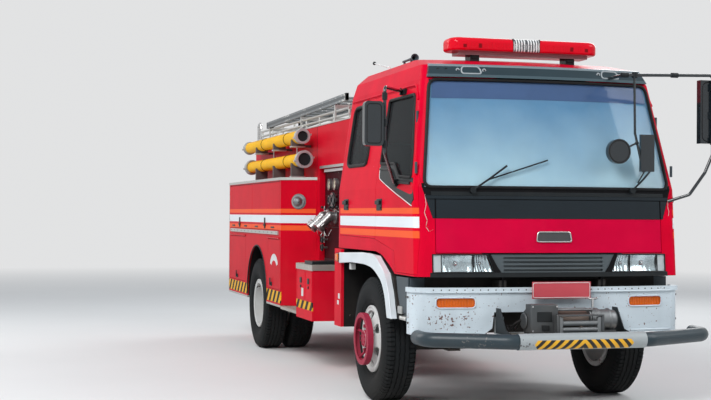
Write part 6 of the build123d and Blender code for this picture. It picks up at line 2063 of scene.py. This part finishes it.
@dataclass
class HosesAndRoofGear:
    """Hose couplings with lugs and black discs of painted shade in their bores, ties, strap uprights,
    cradle pads, and the parts of the rack and ladder.
    """

    hose_x: float = 1.000
    hoses: tuple[tuple[float, float, float, float], ...] = ((3.170, 6.130, 2.425, 0.080),
                                                            (3.080, 5.980, 2.172, 0.092))
    hose_radius: float = 0.070
    straps: tuple[float, ...] = (3.820, 5.050)
    ladder: tuple[float, float, float] = (2.712, 0.0155, 2.400)

    def build(self) -> None:
        """Make the pieces on the ledges and the roof."""
        self.couplings()
        self.hose_ribs()
        self.rack()
        self.ladder_parts()

    def couplings(self) -> None:
        """Make the couplings' collars and lugs, and black discs inside them that are painted shade in their
        bores.
        """
        ring = Shape("coupling_collars", "chassis", CAST_PALE, bevel=0.001)
        bore_shade = Shape("coupling_bore_shades", "chassis", BLACK)
        for start, end, z, outer in self.hoses:
            for mouth, inward in ((start, 1), (end, -1)):
                for near, far, radius in ((0.002, 0.014, outer + 0.004), (0.046, 0.058, outer + 0.003),
                                          (0.074, 0.086, outer - 0.002)):
                    ring.rod(at(-self.hose_x, mouth + inward * near, z),
                             at(-self.hose_x, mouth + inward * far, z), radius, 40, outer - 0.012)
                for side in (-1, 1):
                    lug = at(-self.hose_x + side * (outer + 0.008), mouth + inward * 0.030,
                             z + side * 0.020)
                    ring.box(lug - Vector((0.014, 0.014, 0.010)), lug + Vector((0.014, 0.014, 0.010)))
                # A black disc inside each mouth: painted shade in the hollow bore.
                face = at(-self.hose_x, mouth + inward * 0.030, z)
                bore_shade.rod(face, face + Vector((0, inward * 0.002, 0)), outer - 0.0225, 32)
        ring.mirrored().place()
        bore_shade.mirrored().place()

    def hose_ribs(self) -> None:
        """Make the hoses' shallow ribs, the wire ties and the strap uprights."""
        ribs = Shape("hose_ribs", "chassis", HOSE_YELLOW)
        ties = Shape("hose_ties", "chassis", BLACK)
        for start, end, z, _ in self.hoses:
            steps = int((end - start - 0.20) / 0.045)
            for k in range(steps):
                y = start + 0.110 + k * 0.045
                ribs.rod(at(-self.hose_x, y, z), at(-self.hose_x, y + 0.012, z),
                         self.hose_radius + 0.0012, 28, self.hose_radius - 0.004)
            for y in self.straps:
                ties.tube(arc_points(at(-self.hose_x, y, z), self.hose_radius + 0.004, 0, 350, 36,
                                     "xz"), 0.003, 6, closed=True)
        ribs.mirrored().place()
        ties.mirrored().place()
        posts = Shape("hose_strap_uprights", "chassis", ALLOY)
        for y in self.straps:
            posts.rod(at(-0.905, y + 0.02, 1.98), at(-0.905, y + 0.02, 2.530), 0.008, 10)
            posts.tube(rounded([at(-0.905, y + 0.02, 2.520), at(-0.860, y + 0.02, 2.560),
                                at(-0.825, y + 0.02, 2.585)], 0.02, closed=False), 0.008, 8)
        posts.mirrored().place()
        blocks("cradle_saddle_pads", CAST_PALE,
               [(-1.082, -0.918, y - 0.034, y + 0.034, z, z + 0.016) for y in (3.420, 4.350, 5.350)
                for z in (1.981, 2.312)], bevel=0.002)

    def rack(self) -> None:
        """Make the rack's flanges and rear hoops, and the deck with what lies on it."""
        flange = Shape("rack_post_flanges", "chassis", ALLOY, bevel=0.001)
        for k in range(8):
            y = 1.920 + k * (4.210 / 7)
            flange.box(at(-0.848, y - 0.026, 2.5405), at(-0.803, y + 0.026, 2.5485))
        flange.mirrored().place()
        hoop = Shape("rear_rack_hoops", "chassis", CHROME)
        path = [at(-0.825, 6.235, 2.545), at(-0.825, 6.235, 2.760), at(-0.825, 6.385, 2.760),
                at(-0.825, 6.385, 2.545)]
        hoop.tube(rounded(path, 0.075, closed=False), 0.0165, 12).mirrored().place()
        blocks("roof_stored_boxes", GREY,
               [(-0.38, 0.02, 2.10, 2.90, 2.545, 2.690), (0.10, 0.66, 2.05, 2.55, 2.545, 2.660)],
               bevel=0.012, both=False)
        blocks("roof_box_lids", GREY_PALE, [(-0.386, 0.026, 2.094, 2.906, 2.676, 2.700)], bevel=0.006,
               both=False)
        pipe = Shape("roof_branch_pipe", "chassis", CHROME)
        pipe.rod(at(-0.22, 3.20, 2.600), at(-0.22, 3.95, 2.600), 0.030, 24, 0.0, 0.018)
        pipe.rod(at(-0.22, 3.14, 2.600), at(-0.22, 3.20, 2.600), 0.044, 24)
        pipe.place()
        roll = Shape("roof_rolled_hoses", "chassis", HOSE_CANVAS, bevel=0.004)
        for y in (3.55, 4.30, 5.00):
            for k in range(5):
                roll.rod(at(0.20, y, 2.5455), at(0.20, y, 2.6155), 0.235 - k * 0.045, 44, 0.200 - k * 0.045)
        roll.place()
        blocks("roof_walk_deck", TREAD, [(-0.806, 0.806, 1.500, 6.380, 2.531, 2.5445)], bevel=0.001,
               both=False)

    def ladder_parts(self) -> None:
        """Make the ladder's rung collars, its end caps, its side grooves and the clamps on the bearers."""
        height, fall, first = self.ladder
        trim = Shape("ladder_rung_collars", "chassis", CAST)
        clamp = Shape("ladder_clamps", "chassis", BLACK, bevel=0.002)
        for k in range(11):
            y = 2.080 + k * 0.300
            z = height - fall * (y - first) + 0.0375
            for x in (-0.829, -0.446):
                trim.rod(at(x - 0.004, y, z), at(x + 0.012, y, z), 0.021, 16)
        trim.place()
        for y in (2.400, 3.900, 5.600):
            z = height - fall * (y - first)
            for x in (-0.810, -0.462):
                clamp.box(at(x - 0.012, y - 0.022, z - 0.001), at(x + 0.012, y + 0.022, z + 0.083))
        clamp.place()
        caps = Shape("ladder_end_caps", "chassis", RUBBER, bevel=0.003)
        for x in (-0.845, -0.430):
            for y in (1.930, 5.690):
                z = height - fall * (y - first)
                caps.box(at(x - 0.0175, y, z - 0.0015), at(x + 0.0175, y + 0.030, z + 0.0765))
        caps.place()
        groove = Shape("ladder_side_grooves", "chassis", WINCH_DARK)
        for x in (-0.8618, -0.4462):
            rows = [[at(x, y, height - fall * (y - first) + lift) for y in (1.97, 5.68)]
                    for lift in (0.024, 0.052)]
            groove.sheet(rows, (0.0012, 0, 0))
        groove.place()


@dataclass
class RearEnd:
    """Roller shutter, lamps, step treads, reflector strips and hand rails of the rear face."""

    rear: float = 6.430
    shutter: tuple[float, float, float, float] = (-0.760, 0.760, 0.960, 1.900)
    slats: int = 22

    def build(self) -> None:
        """Make the pieces of the rear face."""
        x0, x1, z0, z1 = self.shutter
        pitch = (z1 - z0) / self.slats
        y = self.rear
        blocks("rear_shutter_slats", ALLOY_DULL,
               [(x0, x1, y - 0.006, y + 0.010, z0 + k * pitch + 0.002, z0 + (k + 1) * pitch - 0.002)
                for k in range(self.slats)], bevel=0.003, both=False)
        blocks("rear_shutter_frame", ALLOY,
               [(x0 - 0.045, x0 - 0.003, y, y + 0.018, z0 - 0.030, z1 + 0.030),
                (x1 + 0.003, x1 + 0.045, y, y + 0.018, z0 - 0.030, z1 + 0.030),
                (x0 - 0.045, x1 + 0.045, y, y + 0.022, z1 + 0.003, z1 + 0.040),
                (x0 - 0.045, x1 + 0.045, y, y + 0.020, z0 - 0.036, z0 - 0.002)], bevel=0.002, both=False)
        pull = Shape("rear_shutter_bar", "chassis", BLACK, bevel=0.002)
        pull.rod(at(-0.30, y + 0.026, z0 + 0.060), at(0.30, y + 0.026, z0 + 0.060), 0.011, 16)
        for x in (-0.28, 0.28):
            pull.box(at(x - 0.012, y + 0.008, z0 + 0.048), at(x + 0.012, y + 0.030, z0 + 0.072))
        pull.place()
        blocks("rear_lamp_bodies", BLACK, [(-1.154, -0.846, y, y + 0.030, 0.752, 0.888)], bevel=0.004)
        for name, lens, spans in (("rear_lamps_red", LENS_RED, ((-1.146, -1.060), (-0.950, -0.856))),
                                  ("rear_lamps_amber", LENS_AMBER, ((-1.055, -0.955),))):
            blocks(name, lens, [(a, b, y + 0.030, y + 0.0415, 0.764, 0.876) for a, b in spans], bevel=0.004)
        blocks("rear_reflectors", LENS_RED, [(-1.150, -0.850, y, y + 0.008, 0.700, 0.738)], bevel=0.002)
        blocks("rear_warning_boards", REAR_BOARD, [(-1.185, -0.830, y, y + 0.005, 0.930, 1.880)],
               bevel=0.001)
        rail = Shape("rear_hand_rails", "chassis", CHROME)
        for x in (-0.815, 0.815):
            path = [at(x, y, 1.05), at(x, y + 0.045, 1.05), at(x, y + 0.045, 1.75), at(x, y, 1.75)]
            rail.tube(rounded(path, 0.04, closed=False), 0.013, 12)
        rail.place()
        repeated("rear_step_lugs", Repeat.FIELD, "chassis", TREAD,
                 [{"Middle": tuple(at(0.0, y + 0.030, 0.6905)), "Width": 2.28, "Length": 0.034,
                   "Columns": 90, "Rows": 2, "Size": (0.020, 0.005, 0.003)}])
        blocks("rear_step_edge", TREAD, [(-1.172, 1.172, y + 0.058, y + 0.0600, 0.602, 0.688)],
               bevel=0.001, both=False)
        rungs = Shape("rear_climb_rungs", "chassis", ALLOY, bevel=0.002)
        for z in (2.05, 2.28):
            path = [at(0.40, y, z), at(0.40, y + 0.045, z), at(0.76, y + 0.045, z), at(0.76, y, z)]
            rungs.tube(rounded(path, 0.03, closed=False), 0.012, 10)
        rungs.place()
        blocks("rear_bare_plate", PALE, [(-0.26, 0.26, y - 0.001, y + 0.006, 0.750, 0.860)], both=False)
        blocks("rear_top_lamps", LENS_AMBER, [(-0.84, -0.70, y, y + 0.045, 2.390, 2.470)], bevel=0.008)
        blocks("rear_top_lamp_feet", BLACK, [(-0.85, -0.69, y, y + 0.020, 2.380, 2.480)], bevel=0.003)


@dataclass
class Interior:
    """Padded seats on dark bases, belts' reels, dials and lining seen through the glass."""

    pads: tuple[tuple[float, ...], ...] = (
        # x limits, y limits behind the axle, z limits
        (-0.785, -0.315, -0.410, 0.045, 1.450, 1.615), (-0.775, -0.325, -0.005, 0.095, 1.665, 2.180),
        (-0.675, -0.425, 0.020, 0.080, 2.225, 2.365), (0.315, 0.785, -0.410, 0.045, 1.450, 1.615),
        (0.325, 0.775, -0.005, 0.095, 1.665, 2.180), (0.425, 0.675, 0.020, 0.080, 2.225, 2.365),
        (-0.940, -0.020, 0.690, 1.150, 1.470, 1.655), (0.020, 0.940, 0.690, 1.150, 1.470, 1.655),
        (-0.940, -0.020, 1.050, 1.150, 1.705, 2.265), (0.020, 0.940, 1.050, 1.150, 1.705, 2.265))
    voxel: float = 0.020
    swell_limit: float = 0.012
    frames: int = 14

    def build(self) -> None:
        """Make the seats and the pieces on the dashboard."""
        self.seat_pads()
        blocks("seat_bases", BLACK,
               [(-0.770, -0.330, -0.390, 0.040, 1.312, 1.442),
                (0.330, 0.770, -0.390, 0.040, 1.312, 1.442), (-0.930, 0.930, 0.700, 1.140, 1.312, 1.460),
                (-0.640, -0.600, 0.030, 0.060, 2.170, 2.240),
                (-0.500, -0.460, 0.030, 0.060, 2.170, 2.240), (0.460, 0.500, 0.030, 0.060, 2.170, 2.240),
                (0.600, 0.640, 0.030, 0.060, 2.170, 2.240)], "cab", 0.010, both=False)
        blocks("dashboard_panels", LINING,
               [(-1.020, 1.020, -0.778, -0.768, 1.470, 1.760),
                (-0.160, 0.160, -0.768, -0.720, 1.440, 1.700)], "cab", 0.006, both=False)
        blocks("dashboard_binnacle", BLACK, [(-0.760, -0.340, -0.980, -0.800, 1.802, 1.865)], "cab",
               0.020, both=False)
        blocks("cab_roof_lining", LINING, [(-0.800, 0.800, -0.300, 1.000, 2.815, 2.833)], "cab", 0.006,
               both=False)
        gauges = Shape("dashboard_dials", "cab", CREAM)
        for x in (-0.66, -0.55, -0.44):
            gauges.rod(at(x, -0.7995, 1.832), at(x, -0.7965, 1.832), 0.026, 20)
        gauges.place()

    def seat_pads(self) -> None:
        """Swell the pads with cloth pressure and keep them near their starting shape."""
        mesh = bmesh.new()
        for x0, x1, y0, y1, z0, z1 in self.pads:
            before = len(mesh.verts)
            bmesh.ops.create_cube(mesh, size=1.0)
            mesh.verts.ensure_lookup_table()
            low, high = at(x0, y0, z0), at(x1, y1, z1)
            place = Matrix.Translation((low + high) / 2) @ Matrix.Diagonal((*(high - low), 1.0))
            bmesh.ops.transform(mesh, matrix=place, verts=mesh.verts[before:])
        bmesh.ops.bevel(mesh, geom=mesh.edges[:], offset=0.024, segments=2, profile=0.5, affect="EDGES")
        data = bpy.data.meshes.new("seat_pads")
        mesh.to_mesh(data)
        mesh.free()
        soft = bpy.data.objects.new("seat_pads_soft", data)
        bpy.context.scene.collection.objects.link(soft)
        remesh = soft.modifiers.new("even cells", "REMESH")
        remesh.mode, remesh.voxel_size = "VOXEL", self.voxel
        graph = bpy.context.evaluated_depsgraph_get()
        even = bpy.data.meshes.new_from_object(soft.evaluated_get(graph))
        soft.modifiers.clear()
        soft.data = even
        rest = [vertex.co.copy() for vertex in even.vertices]
        cloth = soft.modifiers.new("swelling", "CLOTH")
        cloth.settings.use_pressure = True
        cloth.settings.uniform_pressure_force = 4.0
        cloth.settings.effector_weights.gravity = 0.0
        cloth.point_cache.frame_end = self.frames
        for number in range(1, self.frames + 1):
            bpy.context.scene.frame_set(number)
        graph = bpy.context.evaluated_depsgraph_get()
        swollen = bpy.data.meshes.new_from_object(soft.evaluated_get(graph))
        soft.modifiers.clear()
        for vertex, start in zip(swollen.vertices, rest):
            step = vertex.co - start
            if step.length > self.swell_limit:
                vertex.co = start + step.normalized() * self.swell_limit
        bpy.data.objects.remove(soft)
        bpy.context.scene.frame_set(1)
        piece = settle(bpy.data.objects.new("seat_pads", swollen), "cab", CLOTH, replaced=("seats",))
        piece.data.set_sharp_from_angle(angle=math.radians(80))


@dataclass
class Underside:
    """Spring leaves, shackles, hub reductions, brake chambers, exhaust, prop shaft and tank straps."""

    rail_x: float = 0.425
    spring_half: float = 0.036

    def build(self) -> None:
        """Make the pieces under the frame."""
        self.springs()
        self.exhaust()
        self.axle_parts()

    def springs(self) -> None:
        """Make the stacked leaves' clips, the U-bolts and the shackles."""
        leaf = Shape("spring_leaf_edges", "chassis", IRON)
        for share in (0.30, 0.52, 0.74):
            for sign in (-1, 1):
                for lift in (0.006, 0.022, 0.038):
                    start = at(-self.rail_x - self.spring_half - 0.0006, sign * 0.660 * share, 0.5775)
                    rise = (0.515 + 0.0555 - 0.6275) * (1 - share)
                    spot = start + Vector((0, 0, rise + lift))
                    leaf.box(spot - Vector((0.0006, 0.060, 0.0015)), spot + Vector((0.0006, 0.060, 0.0015)))
        leaf.mirrored().place()
        bolt = Shape("spring_u_bolts", "chassis", IRON, bevel=0.001)
        for axle, top, low in ((0.0, 0.572, 0.424), (WHEELBASE, 0.651, 0.448)):
            for y in (-0.062, 0.062):
                for x in (-self.rail_x - 0.044, -self.rail_x + 0.044):
                    bolt.rod(at(x, axle + y, low), at(x, axle + y, top + 0.030), 0.009, 10)
                bolt.box(at(-self.rail_x - 0.055, axle + y - 0.012, top),
                         at(-self.rail_x + 0.055, axle + y + 0.012, top + 0.016))
            bolt.box(at(-self.rail_x - 0.055, axle - 0.075, low - 0.014),
                     at(-self.rail_x + 0.055, axle + 0.075, low))
        bolt.mirrored().place()
        leaves = [(-self.rail_x - self.spring_half + 0.002,
                   -self.rail_x + self.spring_half - 0.002, WHEELBASE - 0.60 + k * 0.10,
                   WHEELBASE + 0.60 - k * 0.10, 0.588 - k * 0.011, 0.598 - k * 0.011) for k in range(4)]
        blocks("rear_spring_leaves", IRON, leaves, bevel=0.001)
        shackle = Shape("spring_shackles", "chassis", IRON, bevel=0.001)
        for y in (-0.690, 0.690, WHEELBASE - 0.740, WHEELBASE + 0.740):
            for x in (-self.rail_x - 0.044, -self.rail_x + 0.036):
                shackle.box(at(x, y - 0.022, 0.585), at(x + 0.008, y + 0.022, 0.672))
            shackle.rod(at(-self.rail_x - 0.052, y, 0.612), at(-self.rail_x + 0.052, y, 0.612), 0.014, 14)
        shackle.mirrored().place()

    def exhaust(self) -> None:
        """Make the silencer with its pipes, the tank straps and the air tank bands."""
        pipe = Shape("exhaust", "chassis", EXHAUST_RUST, bevel=0.001)
        pipe.tube(rounded([at(0.25, 0.45, 0.760), at(0.355, 0.55, 0.610), at(0.355, 0.90, 0.560)],
                          0.08, closed=False), 0.042, 16)
        pipe.rod(at(0.300, 0.90, 0.560), at(0.300, 1.22, 0.560), 0.088, 32)
        pipe.tube(rounded([at(0.300, 1.20, 0.560), at(0.300, 1.40, 0.590), at(0.330, 2.60, 0.590),
                           at(0.80, 3.00, 0.525), at(1.15, 3.05, 0.500)], 0.15, closed=False), 0.038, 14)
        pipe.place()
        strap = Shape("tank_straps", "chassis", ALLOY, bevel=0.001)
        for y in (1.36, 1.70):
            strap.box(at(0.486, y, 0.496), at(1.014, y + 0.040, 0.500))
            strap.box(at(1.010, y, 0.496), at(1.014, y + 0.040, 0.884))
            strap.box(at(0.486, y, 0.880), at(1.014, y + 0.040, 0.884))
        strap.rod(at(0.92, 1.54, 0.880), at(0.92, 1.54, 0.915), 0.045, 28)
        strap.place()
        band = Shape("air_tank_bands", "chassis", IRON)
        for y in (1.36, 1.72):
            for z in (0.710, 0.820):
                band.rod(at(-0.620, y, z), at(-0.620, y + 0.03, z), 0.0525, 28)
        band.place()

    def axle_parts(self) -> None:
        """Make the rear axle's covers, the brake chambers, the shaft joints and the frame's bolts."""
        iron = Shape("axle_fittings", "chassis", IRON, bevel=0.002)
        rear = WHEELBASE
        iron.rod(at(0.0, rear + 0.130, 0.524), at(0.0, rear + 0.215, 0.524), 0.150, 36, 0.0, 0.120)
        iron.rod(at(0.0, rear - 0.300, 0.535), at(0.0, rear - 0.170, 0.530), 0.085, 28, 0.0, 0.120)
        for sign in (-1, 1):
            iron.rod(at(sign * 0.330, rear + 0.150, 0.560), at(sign * 0.330, rear + 0.280, 0.600), 0.078,
                     24)
            iron.rod(at(sign * 0.600, -0.130, 0.520), at(sign * 0.600, -0.230, 0.530), 0.066, 24)
            iron.rod(at(sign * 0.600, -0.050, 0.505), at(sign * 0.600, -0.140, 0.520), 0.020, 12)
            iron.box(at(sign * 0.315, rear + 0.050, 0.520), at(sign * 0.345, rear + 0.160, 0.600))
        iron.place()
        shaft = Shape("prop_shaft_joints", "chassis", IRON, bevel=0.002)
        for y, z in ((1.35, 0.717), (2.90, 0.640), (rear - 0.32, 0.553)):
            shaft.rod(at(0, y - 0.035, z), at(0, y + 0.035, z), 0.062, 24)
        shaft.place()
        blocks("frame_cross_bolts", IRON,
               [(-0.4655, -0.4625, y, y + 0.030, z, z + 0.030)
                for y in (0.90, 1.40, 2.40, 3.00, 3.90, 5.30) for z in (0.70, 0.85)], bevel=0.003)


@dataclass
class Studio:
    """Pale floor, even world light, soft lamps and the camera."""

    camera_place: tuple[float, float, float] = (-4.395, -13.327, 1.587)
    yaw: float = 15.774
    pitch: float = 0.587
    roll: float = 0.364
    lens: float = 67.82
    floor_colour: Colour = (0.78, 0.78, 0.77)
    backdrop: Colour = (0.76, 0.765, 0.77)
    world_strength: float = 0.42
    lamps: tuple[tuple[Point, Point, float, float], ...] = (
        ((-7.0, -9.0, 8.5), (0.0, -1.0, 1.2), 5.0, 1150.0),
        ((8.0, -7.0, 7.5), (0.0, -1.0, 1.2), 6.0, 520.0),
        ((-8.0, 5.0, 7.0), (0.0, 1.5, 1.2), 6.0, 430.0),
        ((7.0, 8.0, 7.5), (0.0, 1.5, 1.2), 6.0, 380.0))

    def build(self) -> None:
        """Set the floor, the light and the camera."""
        self.floor()
        self.world()
        for number, (place, target, size, power) in enumerate(self.lamps):
            light = bpy.data.lights.new(f"soft_lamp_{number}", "AREA")
            light.energy, light.size = power, size
            lamp = bpy.data.objects.new(light.name, light)
            lamp.location = place
            lamp.rotation_euler = (Vector(target) - Vector(place)).to_track_quat("-Z", "Y").to_euler()
            bpy.context.scene.collection.objects.link(lamp)
        self.camera()
        bpy.context.scene.view_settings.view_transform = "Standard"

    def seen(self, nodes: Nodes) -> bpy.types.NodeSocket:
        """Return 1 on the rays by which the backdrop is seen, directly, mirrored or through glass."""
        path = nodes.add("ShaderNodeLightPath").outputs
        direct = nodes.math("MAXIMUM", path["Is Camera Ray"], path["Is Glossy Ray"])
        return nodes.math("MAXIMUM", direct, path["Is Transmission Ray"])

    def floor(self) -> None:
        """Make a wide pale floor that counts as the stage."""
        data = bpy.data.meshes.new("studio_floor")
        edge = 90.0
        data.from_pydata([(-edge, -edge, 0), (edge, -edge, 0), (edge, edge, 0), (-edge, edge, 0)], [],
                         [(0, 1, 2, 3)])
        floor = bpy.data.objects.new("studio_floor", data)
        bpy.context.scene.collection.objects.link(floor)
        made = bpy.data.materials.new("studio floor")
        made.use_nodes = True
        nodes = Nodes(made.node_tree)
        place = nodes.add("ShaderNodeTexCoord").outputs["Object"]
        tone = nodes.ramp(nodes.noise(place, 0.6, 5.0), 0.3, 0.7)
        colour = nodes.mix(tone, tuple(part * 0.97 for part in self.floor_colour), self.floor_colour)
        shader = made.node_tree.nodes["Principled BSDF"]
        shader.inputs["Roughness"].default_value = 0.75
        made.node_tree.links.new(colour, shader.inputs["Base Color"])
        reach = nodes.add("ShaderNodeVectorMath", {0: place}, operation="LENGTH").outputs[1]
        fade = nodes.math("MULTIPLY", nodes.ramp(reach, 9.0, 26.0), self.seen(nodes))
        glow = nodes.add("ShaderNodeEmission", {"Color": (*self.backdrop, 1.0)})
        blend = nodes.add("ShaderNodeMixShader", {0: fade, 1: shader.outputs[0], 2: glow.outputs[0]})
        made.node_tree.links.new(blend.outputs[0], made.node_tree.nodes["Material Output"].inputs[0])
        data.materials.append(made)

    def world(self) -> None:
        """Make an even sky that is pale behind the vehicle and in its reflections."""
        world = bpy.context.scene.world or bpy.data.worlds.new("studio")
        bpy.context.scene.world = world
        world.use_nodes = True
        world.node_tree.nodes.clear()
        nodes = Nodes(world.node_tree)
        seen = self.seen(nodes)
        direction = nodes.add("ShaderNodeTexCoord").outputs["Generated"]
        height = nodes.add("ShaderNodeSeparateXYZ", {0: direction}).outputs[2]
        sky = nodes.mix(nodes.ramp(height, -0.05, 0.55), (0.84, 0.86, 0.88), (0.62, 0.72, 0.84))
        colour = nodes.mix(seen, sky, self.backdrop)
        strength = nodes.math("ADD", nodes.math("MULTIPLY", seen, 1.0 - self.world_strength),
                              self.world_strength)
        shade = nodes.add("ShaderNodeBackground", {"Color": colour, "Strength": strength})
        output = nodes.add("ShaderNodeOutputWorld")
        world.node_tree.links.new(shade.outputs[0], output.inputs[0])

    def camera(self) -> None:
        """Place the camera at the photograph's angle."""
        data = bpy.data.cameras.new("camera")
        data.lens, data.sensor_width = self.lens, 36.0
        data.clip_end = 200.0
        camera = bpy.data.objects.new("camera", data)
        yaw, pitch, roll = (math.radians(v) for v in (self.yaw, self.pitch, self.roll))
        ahead = Vector((math.sin(yaw) * math.cos(pitch), math.cos(yaw) * math.cos(pitch), math.sin(pitch)))
        right = Vector((math.cos(yaw), -math.sin(yaw), 0.0))
        up = right.cross(ahead)
        right, up = (right * math.cos(roll) + up * math.sin(roll),
                     up * math.cos(roll) - right * math.sin(roll))
        turn = Matrix((right, up, -ahead)).transposed().to_4x4()
        camera.matrix_world = Matrix.Translation(Vector(self.camera_place)) @ turn
        bpy.context.scene.collection.objects.link(camera)
        bpy.context.scene.camera = camera


def main() -> None:
    """Build the looks of the whole vehicle."""
    logging.basicConfig(level=logging.INFO, format="%(message)s")
    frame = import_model()
    weather_group()
    slanted_group()
    row_tree()
    ring_tree()
    field_tree()
    dress(frame["nodes"])
    for assembly in (CabFront, Headlamps, CabDoors, RoofAndMirrors, FrontEnd, Wheels, WingsAndSteps,
                     PumpBay, LockerBody, HosesAndRoofGear, RearEnd, Interior, Underside):
        assembly().build()
    Studio().build()


if __name__ == "__main__":
    main()
